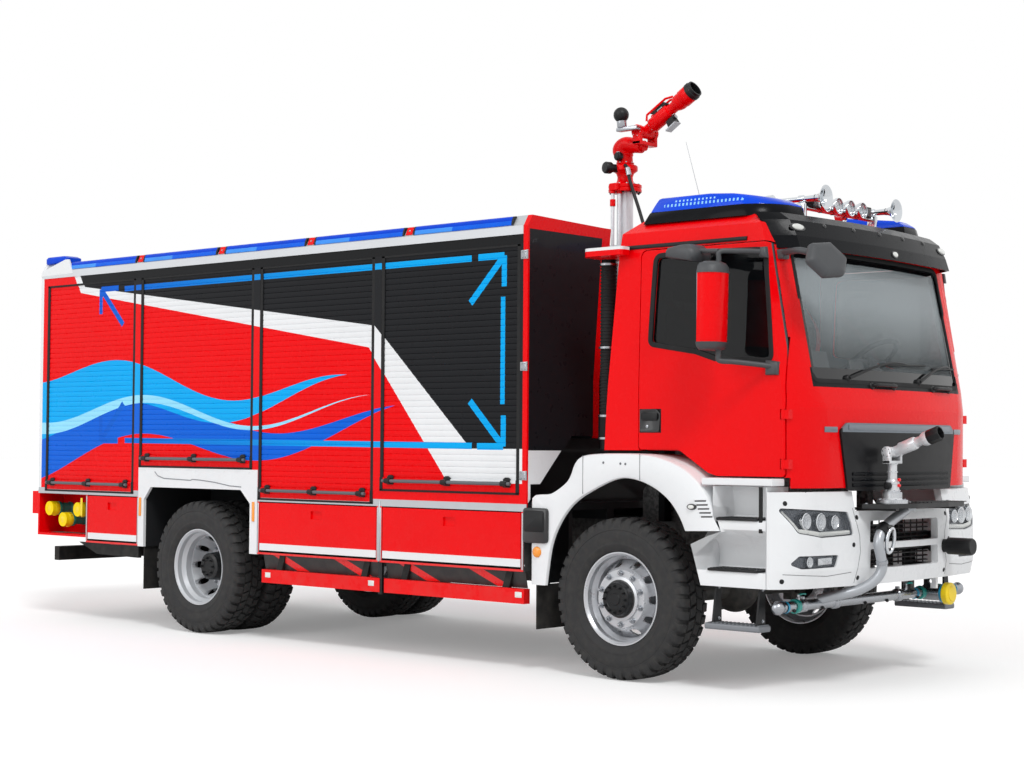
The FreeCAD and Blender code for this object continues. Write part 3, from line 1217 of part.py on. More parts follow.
def body_roof():
    """Roof with the sunken walkway, cut away over the mast well."""
    walk = BODY_ROOF_EDGE - WALKWAY_DEPTH - 20
    half = roof_outline() + [(-WALKWAY_HALF_WIDTH, walk)]
    under = [(-SIDE + 80, BODY_SIDE_TOP), (-SIDE + 90, BODY_ROOF_EDGE - 45),
             (-WALKWAY_HALF_WIDTH - ROOF_SKIN, BODY_ROOF_EDGE - 62),
             (-WALKWAY_HALF_WIDTH - ROOF_SKIN, walk - ROOF_SKIN)]
    outline = half + [(-py, pz) for py, pz in half[::-1]]
    outline += [(-py, pz) for py, pz in under] + under[::-1]
    roof = end_prism(outline, (BODY_REAR + PANEL, BODY_FRONT - PANEL))
    inner = well_wall(0, WELL_FLOOR, BODY_ROOF_EDGE + 40)
    well = end_prism(inner + [(-py, pz) for py, pz in inner[::-1]],
                     (BODY_FRONT - WELL_DEPTH, BODY_FRONT + 1))
    return roof.cut(well)


def slatted(low, high):
    """Section of a roller curtain as (depth behind its face, height) points: slats and grooves."""
    count = round((high - low) / SLAT_PITCH)
    pitch = (high - low) / count
    points = [(CURTAIN, high), (CURTAIN, low)]
    for i in range(count):
        z = low + i * pitch
        points += [(SLAT_GROOVE, z), (0, z + SLAT_GROOVE), (0, z + pitch - SLAT_GROOVE)]
    return points + [(SLAT_GROOVE, high)]


def grab_bar(span, height):
    """Grab bar and its three clamps ahead of a plane through the origin, along X."""
    pieces = [rod((span[0] + 60, -BAR_STANDOFF, height), (span[1] - 60, -BAR_STANDOFF, height), BAR_RADIUS)]
    for x in (span[0] + 110, (span[0] + span[1]) / 2, span[1] - 110):
        pieces.append(box((x - 30, x + 30), (-BAR_STANDOFF - 2, SLAT_GROOVE), (height - 18, height + 18)))
    return pieces


def roller_shutters():
    """Closed roller curtains with their grab bars: four on each side, one behind."""
    curtains = []
    for bay, bottom in zip(BAYS, SHUTTER_BOTTOMS):
        face = -SIDE + CURTAIN_RECESS
        section = [(face + depth, z) for depth, z in slatted(bottom, SHUTTER_TOP)]
        curtain = fuse(end_prism(section, bay), *[piece.translated(Vector(0, face, 0))
                                                  for piece in grab_bar(bay, bottom + BAR_HEIGHT)])
        curtains += both(curtain)
    half = REAR_SHUTTER_HALF_WIDTH
    face = BODY_REAR + CURTAIN_RECESS
    section = [(face + depth, z) for depth, z in slatted(REAR_SHUTTER_BOTTOM, REAR_SHUTTER_TOP)]
    rear = [side_prism(section, (-half, half))]
    for piece in grab_bar((-half, half), REAR_SHUTTER_BOTTOM + BAR_HEIGHT):
        piece.rotate(Vector(0, 0, 0), Vector(0, 0, 1), -90)
        piece.translate(Vector(face, 0, 0))
        rear.append(piece)
    return curtains + [fuse(*rear)]


def locker_box(span):
    """Right lower locker: side walls with the flap's hinge bores, floor and back."""
    front = -SIDE
    back = -SIDE + LOCKER_DEPTH
    wall = LOCKER_WALL
    pieces = [box(span, (front, back), (LOCKER_BOTTOM, LOCKER_BOTTOM + LOCKER_SHEET)),
              box(span, (back - LOCKER_SHEET, back), (LOCKER_BOTTOM, FLOOR_BOTTOM)),
              box((span[0], span[0] + wall), (front, back), (LOCKER_BOTTOM, FLOOR_BOTTOM)),
              box((span[1] - wall, span[1]), (front, back), (LOCKER_BOTTOM, FLOOR_BOTTOM))]
    solid = fuse(*pieces)
    y = front + FLAP_HINGE_INSET
    bore = rod((span[0] - 1, y, FLAP_HINGE_Z), (span[1] + 1, y, FLAP_HINGE_Z), FLAP_PIN_RADIUS + FIT)
    return solid.cut(bore)


def locker_flap(span):
    """Right locker flap with a hinge pin at each end and a latch recess."""
    gap = LOCKER_WALL + SHUT_GAP
    x = (span[0] + gap, span[1] - gap)
    y = -SIDE + FLAP_HINGE_INSET
    panel = box(x, (-SIDE, -SIDE + FLAP_THICKNESS), (FLAP_BOTTOM, FLAP_TOP))
    middle = (x[0] + x[1]) / 2
    recess = box((middle - 60, middle + 60), (-SIDE - 1, -SIDE + 14), (FLAP_TOP - 110, FLAP_TOP - 50))
    pins = [rod((span[0] + 3, y, FLAP_HINGE_Z), (x[0] + 5, y, FLAP_HINGE_Z), FLAP_PIN_RADIUS),
            rod((x[1] - 5, y, FLAP_HINGE_Z), (span[1] - 3, y, FLAP_HINGE_Z), FLAP_PIN_RADIUS)]
    return fuse(panel.cut(recess), *pins)


def make_lockers(nodes):
    boxes = []
    for name, span in LOCKERS.items():
        boxes += both(locker_box(span))
        flap = locker_flap(span)
        nodes["locker_flap_" + name + "_right"] = [flap]
        nodes["locker_flap_" + name + "_left"] = [mirrored(flap)]
    nodes["lower_lockers"] = boxes


def rear_arch_frame():
    """Pale frame round the right rear wheel arch."""
    outline = [(-ARCH_LEG_REAR, ARCH_BOTTOM), (-ARCH_LEG_REAR, ARCH_TOP + 5),
               (ARCH_LEG_FRONT, ARCH_TOP + 5), (ARCH_LEG_FRONT, ARCH_BOTTOM),
               (ARCH_OPENING, ARCH_BOTTOM), (ARCH_OPENING, 1040), (551, 1143), (-574, 1143),
               (-ARCH_OPENING, 1040), (-ARCH_OPENING, ARCH_BOTTOM)]
    return side_prism([(rx(px), pz) for px, pz in outline], (-SIDE - 5, -SIDE + ARCH_FRAME_DEPTH))


def roof_light_strips():
    """Working lights along the roof's chamfer, and a beacon on each rear corner."""
    lights = []
    start = fx(-861)
    end = BODY_REAR + 402
    step = (start - end + LIGHT_MODULE_GAP) / LIGHT_MODULES
    a = Vector(0, -SIDE + 4, BODY_SIDE_TOP + 7)
    b = Vector(0, -SIDE + 41, BODY_ROOF_EDGE - 6)
    out = Vector(0, BODY_SIDE_TOP - BODY_ROOF_EDGE, 45).normalize() * 20
    for i in range(LIGHT_MODULES):
        x1 = start - i * step
        x0 = x1 - step + LIGHT_MODULE_GAP
        outline = [(p.y, p.z) for p in (a, b, b + out, a + out)]
        lights += both(end_prism(outline, (x0, x1)))
    corner = plan_plate([(BODY_REAR - 5, -SIDE + 20), (BODY_REAR + 345, -SIDE + 20),
                         (BODY_REAR + 345, -SIDE + 180), (BODY_REAR - 5, -SIDE + 190)], [70, 40, 40, 40],
                        (BODY_ROOF_EDGE, BODY_ROOF_EDGE + 62))
    return lights + both(corner)


def underrun_bars():
    """Side guards under the lockers, the rear skirt, and the rear under-run bar."""
    pieces = []
    for x0, x1 in ((MID_LOCKER[0] + 45, MID_LOCKER[1] + 5), (FRONT_LOCKER[0] + 38, FRONT_LOCKER[1])):
        bar = [box((x0, x1), (-SIDE + 10, -SIDE + 70), (445, 545))]
        for x in (x0 + 150, x1 - 210):
            strut = [(x, 540), (x + 60, 540), (x + 100, LOCKER_BOTTOM), (x + 40, LOCKER_BOTTOM)]
            bar.append(side_prism(strut, (-SIDE + 25, -SIDE + 55)))
        pieces += both(fuse(*bar))
    skirt = side_prism([(REAR_LOCKER[0] - 110, LOCKER_BOTTOM), (REAR_LOCKER[0] + 150, 567),
                        (REAR_LOCKER[1] - 5, 560), (REAR_LOCKER[1] - 5, LOCKER_BOTTOM)],
                       (-SIDE + 10, -SIDE + 40))
    pieces += both(skirt)
    rear = [box((BODY_REAR + 110, BODY_REAR + 180), (-1150, 1150), (480, 600))]
    for y in (-RAIL_OUTER, RAIL_OUTER - RAIL_FLANGE):
        rear.append(box((BODY_REAR + 150, BODY_REAR + 180), (y, y + RAIL_FLANGE),
                        (600, RAIL_TOP - RAIL_HEIGHT)))
    return pieces + [fuse(*rear)]


def rear_ladder():
    """Ladder to the roof on the rear left, and the grab rail on the right."""
    x = BODY_REAR - 95
    left = []
    for y in (725, 1030):
        left.append(rod((x, y, 1120), (x, y, 3140), 19))
        for z in (1180, 2100, 2880):
            left.append(rod((x, y, z), (BODY_REAR, y, z), 14))
        left.append(rod((x, y, 3140), (BODY_REAR + 260, y, 3140), 19))
        left.append(Part.makeSphere(19, Vector(x, y, 3140)))
        roof = BODY_ROOF_EDGE - 20 + 20 * (y - WALKWAY_HALF_WIDTH) / (SIDE - 45 - WALKWAY_HALF_WIDTH)
        left.append(rod((BODY_REAR + 260, y, roof + 0.5), (BODY_REAR + 260, y, 3140), 19))
        left.append(Part.makeSphere(19, Vector(BODY_REAR + 260, y, 3140)))
    for i in range(7):
        z = 1210 + i * 280
        left.append(rod((x, 725, z), (x, 1030, z), 15))
    right = [rod((x, -1080, 1790), (x, -1080, 2510), 17)]
    for z in (1810, 2490):
        right.append(rod((x, -1080, z), (BODY_REAR, -1080, z), 12))
    return [fuse(*left), fuse(*right)]


def rear_step():
    """Red rear step across the truck, under the rear shutter."""
    return fuse(box((BODY_REAR - 100, BODY_REAR), (-SIDE + 10, SIDE - 10), (880, 1075)),
                *both(box((BODY_REAR - 40, BODY_REAR + 150), (-RAIL_OUTER, -RAIL_OUTER + RAIL_FLANGE),
                          (800, 980))))


def hose_couplings():
    """Open coupling bay behind each rear locker, with its capped hose couplings."""
    x0 = BODY_REAR
    x1 = REAR_LOCKER[0]
    y = -SIDE + 250
    bay = fuse(box((x0, x1), (y, y + 20), (720, FLOOR_BOTTOM)),
               box((x0, x0 + 20), (-SIDE, y + 20), (720, FLOOR_BOTTOM)),
               box((x0, x1), (-SIDE, y + 20), (700, 720)))
    outlets = []
    for dx, z in ((130, 930), (330, 840), (540, 930)):
        outlets.append(rod((x0 + dx, y, z), (x0 + dx, y - 170, z), 45))
        outlets.append(rod((x0 + dx, y - 150, z), (x0 + dx, y - 225, z), 60))
    return fuse(bay, *outlets)


def mudflaps():
    """Rubber flaps behind the front and the rear wheels, right and left."""
    rear = box((rx(-ARCH_OPENING) - WHEELHOUSE_WALL - 10, rx(-ARCH_OPENING) - WHEELHOUSE_WALL),
               (-SIDE + 25, -640), (310, 1000))
    front = box((fx(-655), fx(-645)), (-SIDE + 25, -870), (285, 580))
    return both(rear) + both(front)


def air_intake():
    """Intake pipe behind the cab with its red hood round the cab's rear corner."""
    z = 2735
    hood = plan_plate([(fx(-310), -1200), (fx(28), -1200), (fx(28), -1110), (fx(-78), -1110),
                       (fx(-78), -850), (fx(-310), -850)], [70, 30, 8, 8, 20, 30], (z, z + 55))
    pipe = rod((fx(-250), -980, 1480), (fx(-250), -980, z + 10), 50)
    bellows = rod((fx(-250), -980, 1560), (fx(-250), -980, 1700), 64)
    arm = box((fx(-275), fx(-225)), (-1000, -310), (1470, 1500))
    post = box((fx(-275), fx(-225)), (-RAIL_OUTER, -RAIL_OUTER + RAIL_FLANGE), (RAIL_TOP, 1500))
    return fuse(hood, pipe, bellows, arm, post)


# ------------------------------------------------------------------ mast and roof monitor
def mast_base():
    """Fixed mast barrel in the well, with the barrel of the lifting cylinder beside it."""
    x = fx(MAST_X)
    foot = WELL_FLOOR + 30
    top = MAST_BASE_TOP
    main = tube((x, 0, foot), (x, 0, top), MAST_RADIUS + 15, MAST_RADIUS + FIT)
    lift = rod((x, -LIFT_OFFSET, foot), (x, -LIFT_OFFSET, top - 350), LIFT_ROD_RADIUS + 9)
    lift = lift.cut(rod((x, -LIFT_OFFSET, foot + 20), (x, -LIFT_OFFSET, top - 349), LIFT_ROD_RADIUS + FIT))
    plate = box((x - 90, x + 90), (-200, 110), (foot, foot + 20))
    collar = box((x - 60, x + 60), (-180, 90), (top - 380, top - 350))
    for y, r in ((0, MAST_RADIUS), (-LIFT_OFFSET, LIFT_ROD_RADIUS)):
        collar = collar.cut(rod((x, y, top - 400), (x, y, top), r + FIT))
    stays = [box((BODY_FRONT - WELL_DEPTH, x - 50), (-30, 30), (z, z + 30)) for z in (2000, top - 80)]
    solid = fuse(main, lift, plate, collar, *stays)
    return solid.cut(rod((x, 0, foot + 20), (x, 0, top + 1), MAST_RADIUS + FIT))


def mast_tube():
    """Sliding mast with its lifting rod, flange, head cone and the monitor's spigot."""
    x = fx(MAST_X)
    foot = MAST_TOP + MAST_HEAD_HEIGHT
    r = ROOF_BARREL_RADIUS
    body = tube((x, 0, MAST_BASE_TOP - 520), (x, 0, MAST_TOP), MAST_RADIUS, MAST_RADIUS - MAST_WALL)
    pieces = [body, rod((x, 0, MAST_TOP), (x, 0, MAST_TOP + 60), 138),
              cone((x, 0, MAST_TOP + 60), (x, 0, foot), 110, 66),
              rod((x, 0, foot), (x, 0, foot + 1.4 * r), SPIGOT_SHARE * r)]
    top = MAST_TOP - 20
    pieces.append(rod((x, -LIFT_OFFSET, MAST_BASE_TOP - 800), (x, -LIFT_OFFSET, top), LIFT_ROD_RADIUS))
    pieces.append(box((x - 45, x + 45), (-LIFT_OFFSET - 45, 40), (top - 60, top)))
    solid = fuse(*pieces)
    return solid.cut(rod((x, 0, MAST_BASE_TOP - 521), (x, 0, MAST_TOP), MAST_RADIUS - MAST_WALL))


def make_monitors(nodes):
    ahead, above = ROOF_MONITOR_PIVOT
    x = fx(MAST_X)
    nodes["mast_base"] = [mast_base()]
    nodes["mast_tube"] = [mast_tube()]
    nodes["roof_monitor_head"] = [monitor_head(x, 0, MAST_TOP + MAST_HEAD_HEIGHT, x + ahead,
                                               MAST_TOP + above, ROOF_BARREL_RADIUS)]
    nodes["roof_monitor_barrel"] = [monitor_barrel(x + ahead, 0, MAST_TOP + above, ROOF_BARREL_LENGTH,
                                                   ROOF_BARREL_ANGLE, ROOF_BARREL_RADIUS)]
    x = fx(BUMPER_MONITOR_X)
    y = BUMPER_MONITOR_Y
    z = BUMPER_MONITOR_Z + BUMPER_PIVOT_HEIGHT
    nodes["front_monitor_head"] = [monitor_head(x, y, BUMPER_MONITOR_Z + BUMPER_FOOT_HEIGHT, x, z,
                                                BUMPER_BARREL_RADIUS)]
    nodes["front_monitor_barrel"] = [monitor_barrel(x, y, z, BUMPER_BARREL_LENGTH, BUMPER_BARREL_ANGLE,
                                                    BUMPER_BARREL_RADIUS)]


# ------------------------------------------------------------------ assembly
def make_cab(nodes):
    right = main_mirror()
    nodes["cab_shell"] = [cab_shell()]
    nodes["door_right"] = [door()]
    nodes["door_left"] = [mirrored(door())]
    nodes["door_glass_right"] = [door_glass()]
    nodes["door_glass_left"] = [mirrored(door_glass())]
    nodes["mirror_right"] = [right.fuse(kerb_mirror()).removeSplitter()]
    nodes["mirror_left"] = [mirrored(right)]
    nodes["windscreen"] = [windscreen()]
    nodes["cab_seats"] = cab_seats()
    nodes["dashboard"] = [dashboard()]
    nodes["sun_visor"] = [fuse(sun_visor(), *visor_brackets())]
    nodes["cab_roof_signals"] = cab_light_bars() + [air_horns()]
    nodes["grille_panel"] = [grille_panel()]
    nodes["front_mirror"] = [front_mirror()]
    nodes["front_bumper"] = front_bumper()
    nodes["road_lamps"] = road_lamps()
    nodes["monitor_platform"] = [monitor_platform()]
    nodes["front_pipework"] = [fuse(spray_bar(), feed_pipe()), front_outlet()]
    nodes["front_fenders"] = both(front_fender())
    nodes["entrance_steps"] = both(entrance_step())


def make_body(nodes):
    nodes["body_floor"] = body_floor()
    nodes["body_sides"] = both(body_side())
    nodes["body_end_walls"] = [body_front(), body_rear()]
    nodes["body_roof"] = [body_roof()]
    nodes["roller_shutters"] = roller_shutters()
    nodes["roof_light_strips"] = roof_light_strips()
    nodes["rear_arch_frames"] = both(rear_arch_frame())
    nodes["underrun_bars"] = underrun_bars()
    nodes["rear_step_and_rails"] = [rear_step()] + rear_ladder()
    nodes["hose_couplings"] = both(hose_couplings())
    nodes["mudflaps"] = mudflaps()
    nodes["air_intake"] = [air_intake()]


def build():
    nodes = {"chassis_frame": [chassis_frame()], "powertrain": [powertrain()]}
    make_wheels(nodes)
    make_axles(nodes)
    make_cab(nodes)
    make_body(nodes)
    make_lockers(nodes)
    make_monitors(nodes)
    return nodes


def main():
    os.makedirs("parts", exist_ok=True)
    for name, solids in build().items():
        pieces = []
        for shape in solids:
            pieces += shape.Solids
        if not pieces or not all(piece.isValid() for piece in pieces):
            raise ValueError("bad shape: " + name)
        node = pieces[0] if len(pieces) == 1 else Part.makeCompound(pieces)
        node.exportStep("parts/" + name + ".step")


main()
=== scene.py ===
"""Looks of the water tanker fire truck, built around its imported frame. Metres, +X forward."""
import math

import bmesh
import bpy
from mathutils import Matrix, Vector
from mathutils.bvhtree import BVHTree


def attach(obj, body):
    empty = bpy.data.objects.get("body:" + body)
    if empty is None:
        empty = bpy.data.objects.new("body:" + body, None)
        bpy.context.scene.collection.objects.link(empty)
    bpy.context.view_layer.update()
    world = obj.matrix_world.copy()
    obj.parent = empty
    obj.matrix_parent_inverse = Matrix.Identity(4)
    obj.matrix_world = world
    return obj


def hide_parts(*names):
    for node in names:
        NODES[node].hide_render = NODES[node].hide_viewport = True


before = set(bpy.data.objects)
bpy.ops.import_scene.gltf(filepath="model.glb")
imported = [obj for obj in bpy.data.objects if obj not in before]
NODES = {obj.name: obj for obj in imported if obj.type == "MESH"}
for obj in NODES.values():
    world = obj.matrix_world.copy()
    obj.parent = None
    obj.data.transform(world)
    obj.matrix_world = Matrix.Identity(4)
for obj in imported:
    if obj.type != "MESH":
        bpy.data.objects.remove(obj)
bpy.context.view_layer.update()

FRONT_AXLE = 2.330
REAR_AXLE = -1.870
AXLE_HEIGHT = 0.522
BODY_FRONT = 1.605
BODY_REAR = -4.030
MAST_X = 1.445
Z_AXIS = Vector((0, 0, 1))


def fx(ahead):
    """X of a place given by its distance ahead of the front axle."""
    return FRONT_AXLE + ahead


def rgb(r, g, b):
    """Display colour, 0 to 255, as the linear colour that a shader takes."""
    def linear(c):
        c /= 255
        return c / 12.92 if c <= 0.04045 else ((c + 0.055) / 1.055) ** 2.4
    return (linear(r), linear(g), linear(b), 1.0)


RAYS_FROM = fx(1.9)           # rays that feel the truck's front start here and go back


# ------------------------------------------------------------------ camera, light, floor
def make_camera():
    """Camera at the photograph's viewing angle."""
    azimuth, elevation, roll = math.radians(41.6), math.radians(-1.93), math.radians(0.41)
    back = Vector((math.sin(azimuth) * math.cos(elevation), -math.cos(azimuth) * math.cos(elevation),
                   math.sin(elevation)))
    right = (-back).cross(Z_AXIS).normalized()
    up = right.cross(-back)
    x = right * math.cos(roll) + up * math.sin(roll)
    y = up * math.cos(roll) - right * math.sin(roll)
    camera = bpy.data.objects.new("camera", bpy.data.cameras.new("camera"))
    bpy.context.scene.collection.objects.link(camera)
    camera.matrix_world = Matrix.Translation((fx(7.284), -10.423, 1.5)) @ Matrix((x, y,
            back)).transposed().to_4x4()
    camera.data.lens = 1827.1 / 1024 * 36
    camera.data.sensor_width = 36
    bpy.context.scene.camera = camera


def make_sun(name, towards, strength, angle):
    """Sun lamp that shines towards a direction; angle is its softness in degrees."""
    sun = bpy.data.objects.new(name, bpy.data.lights.new(name, "SUN"))
    sun.data.energy = strength
    sun.data.angle = math.radians(angle)
    sun.rotation_euler = Vector(towards).to_track_quat("Z", "Y").to_euler()
    bpy.context.scene.collection.objects.link(sun)


def make_world():
    world = bpy.data.worlds.new("studio")
    bpy.context.scene.world = world
    world.use_nodes = True
    tree = world.node_tree
    path = tree.nodes.new("ShaderNodeLightPath")
    seen = tree.nodes.new("ShaderNodeMath")
    seen.operation = "MAXIMUM"
    tree.links.new(path.outputs["Is Camera Ray"], seen.inputs[0])
    clear = tree.nodes.new("ShaderNodeMath")
    clear.operation = "MAXIMUM"
    tree.links.new(path.outputs["Is Glossy Ray"], clear.inputs[0])
    tree.links.new(path.outputs["Is Transmission Ray"], clear.inputs[1])
    tree.links.new(clear.outputs[0], seen.inputs[1])
    level = tree.nodes.new("ShaderNodeMapRange")
    tree.links.new(seen.outputs[0], level.inputs["Value"])
    level.inputs["To Min"].default_value = WORLD_LEVEL
    tree.links.new(level.outputs[0], tree.nodes["Background"].inputs["Strength"])
    tree.nodes["Background"].inputs["Color"].default_value = (1, 1, 1, 1)


def make_floor():
    """Pale floor and backdrop."""
    mesh = bpy.data.meshes.new("floor")
    size = 120
    mesh.from_pydata([(-size, -size, 0), (size, -size, 0), (size, size, 0), (-size, size, 0)], [],
                     [(0, 1, 2, 3)])
    floor = bpy.data.objects.new("floor", mesh)
    bpy.context.scene.collection.objects.link(floor)
    material = bpy.data.materials.new("pale_floor")
    material.use_nodes = True
    tree = material.node_tree
    shader = tree.nodes["Principled BSDF"]
    shader.inputs["Base Color"].default_value = (0.86, 0.86, 0.86, 1)
    shader.inputs["Roughness"].default_value = 0.9
    path = tree.nodes.new("ShaderNodeLightPath")
    lift = tree.nodes.new("ShaderNodeMath")
    lift.operation = "MULTIPLY"
    lift.inputs[1].default_value = FLOOR_LIFT
    tree.links.new(path.outputs["Is Camera Ray"], lift.inputs[0])
    shader.inputs["Emission Color"].default_value = (1, 1, 1, 1)
    tree.links.new(lift.outputs[0], shader.inputs["Emission Strength"])
    mesh.materials.append(material)


WORLD_LEVEL = 0.62
FLOOR_LIFT = 0.22
make_camera()
make_world()
make_sun("key", (0.62, -0.42, 0.80), 1.25, 14)
make_sun("fill", (-0.25, -0.95, 0.45), 0.75, 40)
make_floor()
bpy.context.scene.view_settings.view_transform = "Standard"


# ------------------------------------------------------------------ shader graphs
class Graph:
    """A material's nodes, built by small calls. x, y and z are the place in the row frame."""

    def __init__(self, name):
        self.material = bpy.data.materials.new(name)
        self.material.use_nodes = True
        self.tree = self.material.node_tree
        self.shader = self.tree.nodes["Principled BSDF"]
        self.place = self.node("ShaderNodeTexCoord").outputs["Object"]
        self.x, self.y, self.z = self.node("ShaderNodeSeparateXYZ", self.place).outputs

    def put(self, socket, value):
        if isinstance(value, bpy.types.NodeSocket):
            self.tree.links.new(value, socket)
        elif value is not None:
            socket.default_value = value

    def node(self, kind, *inputs, **settings):
        made = self.tree.nodes.new(kind)
        for key, value in settings.items():
            setattr(made, key, value)
        for i, value in enumerate(inputs):
            self.put(made.inputs[i], value)
        return made

    def math(self, operation, a, b=None, c=None):
        return self.node("ShaderNodeMath", a, b, c, operation=operation).outputs[0]

    def size(self, a):
        return self.math("ABSOLUTE", a)

    def above(self, a, limit):
        return self.math("GREATER_THAN", a, limit)

    def below(self, a, limit):
        return self.math("LESS_THAN", a, limit)

    def within(self, a, low, high):
        return self.both(self.above(a, low), self.below(a, high))

    def both(self, *masks):
        made = masks[0]
        for mask in masks[1:]:
            made = self.math("MULTIPLY", made, mask)
        return made

    def either(self, *masks):
        made = masks[0]
        for mask in masks[1:]:
            made = self.math("MAXIMUM", made, mask)
        return made

    def other(self, mask):
        return self.math("SUBTRACT", 1.0, mask)

    def sloped(self, a, p, q):
        """Height on the line from p to q over the coordinate a."""
        slope = (q[1] - p[1]) / (q[0] - p[0])
        return self.math("MULTIPLY_ADD", a, slope, p[1] - slope * p[0])

    def polygon(self, a, b, points):
        """Inside of a convex outline, given anticlockwise, in the coordinates a and b."""
        masks = []
        for p, q in zip(points, points[1:] + points[:1]):
            da, db = q[0] - p[0], q[1] - p[1]
            side = self.math("ADD", self.math("MULTIPLY", a, -db), self.math("MULTIPLY", b, da))
            masks.append(self.above(side, db * -p[0] + da * p[1]))
        return self.both(*masks)

    def stroke(self, a, b, p, q, width):
        """A straight bar of the given width from p to q."""
        d = Vector((q[0] - p[0], q[1] - p[1]))
        n = Vector((-d.y, d.x)).normalized() * width / 2
        return self.polygon(a, b, [(p[0] - n.x, p[1] - n.y), (q[0] - n.x, q[1] - n.y),
                                   (q[0] + n.x, q[1] + n.y), (p[0] + n.x, p[1] + n.y)])

    def reach(self, a, b, centre):
        """Distance from a centre in the plane of two coordinates."""
        da = self.math("SUBTRACT", a, centre[0])
        db = self.math("SUBTRACT", b, centre[1])
        return self.math("SQRT", self.math("ADD", self.math("MULTIPLY", da, da),
                                           self.math("MULTIPLY", db, db)))

    def ramp(self, a, low, high, start=0.0, end=1.0):
        made = self.node("ShaderNodeMapRange", a, low, high, start, end)
        return made.outputs[0]

    def noise(self, scale, detail=2.0, stretch=None):
        place = self.place
        if stretch:
            place = self.node("ShaderNodeVectorMath", place, stretch, operation="MULTIPLY").outputs[0]
        made = self.node("ShaderNodeTexNoise")
        self.put(made.inputs["Vector"], place)
        self.put(made.inputs["Scale"], scale)
        self.put(made.inputs["Detail"], detail)
        return made.outputs["Fac"]

    def mix(self, mask, a, b):
        """b where the mask is 1, a where it is 0: colours, or plain numbers."""
        colours = isinstance(a, tuple) or isinstance(b, tuple) or getattr(a, "type", "") == "RGBA"
        made = self.node("ShaderNodeMix", data_type="RGBA" if colours else "FLOAT")
        self.put(made.inputs[0], mask)
        first = 6 if colours else 2
        self.put(made.inputs[first], a)
        self.put(made.inputs[first + 1], b)
        return made.outputs[2 if colours else 0]

    def tinted(self, colour, shade):
        made = self.node("ShaderNodeMix", data_type="RGBA", blend_type="MULTIPLY")
        made.inputs[0].default_value = 1.0
        self.put(made.inputs[6], colour)
        self.put(made.inputs[7], shade)
        return made.outputs[2]


# A finish is a colour, a roughness and a metallic value.
RED = (rgb(236, 0, 8), 0.26, 0.0)
WHITE = (rgb(232, 234, 236), 0.28, 0.0)
DARK = (rgb(26, 27, 30), 0.30, 0.0)
BLACK = (rgb(18, 19, 21), 0.42, 0.0)
RUBBER = (rgb(27, 27, 28), 0.72, 0.0)
CHASSIS = (rgb(38, 39, 41), 0.55, 0.0)
SILVER = (rgb(196, 199, 203), 0.32, 0.85)
ALUMINIUM = (rgb(188, 192, 197), 0.38, 0.9)
STEEL = (rgb(172, 175, 180), 0.26, 1.0)
CHROME = (rgb(214, 218, 222), 0.08, 1.0)
WHEEL = (rgb(198, 200, 204), 0.30, 0.55)
BLUE = (rgb(0, 74, 226), 0.16, 0.0)
TEAL = (rgb(20, 148, 138), 0.35, 0.0)
YELLOW = (rgb(250, 216, 8), 0.38, 0.0)
AMBER = (rgb(248, 150, 20), 0.22, 0.0)
LINING = (rgb(74, 80, 84), 0.75, 0.0)
# Pale finish of the cab's rear wall: painted light that stands in for the sky's reflection in the windscreen
# and lifts the shade inside the cab.
REAR_WALL_PAINTED_REFLECTION = (rgb(232, 236, 238), 0.8, 0.0)
GREY = (rgb(118, 121, 126), 0.5, 0.0)


def surface(name, base, zones=(), coat=0.0, grain=0.0, grain_scale=300.0, mottle=0.06, mottle_scale=1.6,
            dust=0.0, stretch=None, wear=0.0, specular=0.5):
    """Material from a base finish and zones: functions of the graph that give (mask, finish) pairs."""
    g = Graph(name)
    colour, rough, metal = base
    for mask, finish in (zones(g) if zones else ()):
        colour = g.mix(mask, colour, finish[0])
        rough = g.mix(mask, rough, finish[1])
        metal = g.mix(mask, metal, finish[2])
    cloud = g.noise(mottle_scale, 4.0)
    colour = g.tinted(colour, g.ramp(cloud, 0.25, 0.75, 1.0 - mottle, 1.0))
    rough = g.math("ADD", rough, g.ramp(g.noise(mottle_scale * 9, 3.0, stretch), 0.3, 0.7, -0.04, 0.05))
    if dust:
        film = g.both(g.ramp(g.z, 1.15, 0.15, 0.0, dust), g.ramp(g.noise(14.0, 5.0), 0.35, 0.7, 0.2, 1.0))
        colour = g.mix(film, colour, rgb(140, 134, 124))
        rough = g.mix(film, rough, 0.85)
    if wear:
        edge = g.node("ShaderNodeNewGeometry").outputs["Pointiness"]
        worn = g.both(g.ramp(edge, 0.53, 0.60, 0.0, wear), g.ramp(g.noise(40.0, 3.0), 0.4, 0.6))
        colour = g.mix(worn, colour, rgb(170, 170, 168))
    if grain:
        bump = g.node("ShaderNodeBump")
        bump.inputs["Strength"].default_value = grain
        bump.inputs["Distance"].default_value = 0.002
        g.put(bump.inputs["Height"], g.noise(grain_scale, 3.0, stretch))
        g.put(g.shader.inputs["Normal"], bump.outputs[0])
    g.put(g.shader.inputs["Base Color"], colour)
    g.put(g.shader.inputs["Roughness"], rough)
    g.put(g.shader.inputs["Metallic"], metal)
    g.shader.inputs["Coat Weight"].default_value = coat
    g.shader.inputs["Coat Roughness"].default_value = 0.06
    g.shader.inputs["Specular IOR Level"].default_value = specular
    return g


def dress(nodes, graph):
    """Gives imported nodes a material."""
    for node in nodes:
        slots = NODES[node].material_slots
        for i in range(len(slots)):
            slots[i].material = graph.material
        if not slots:
            NODES[node].data.materials.append(graph.material)


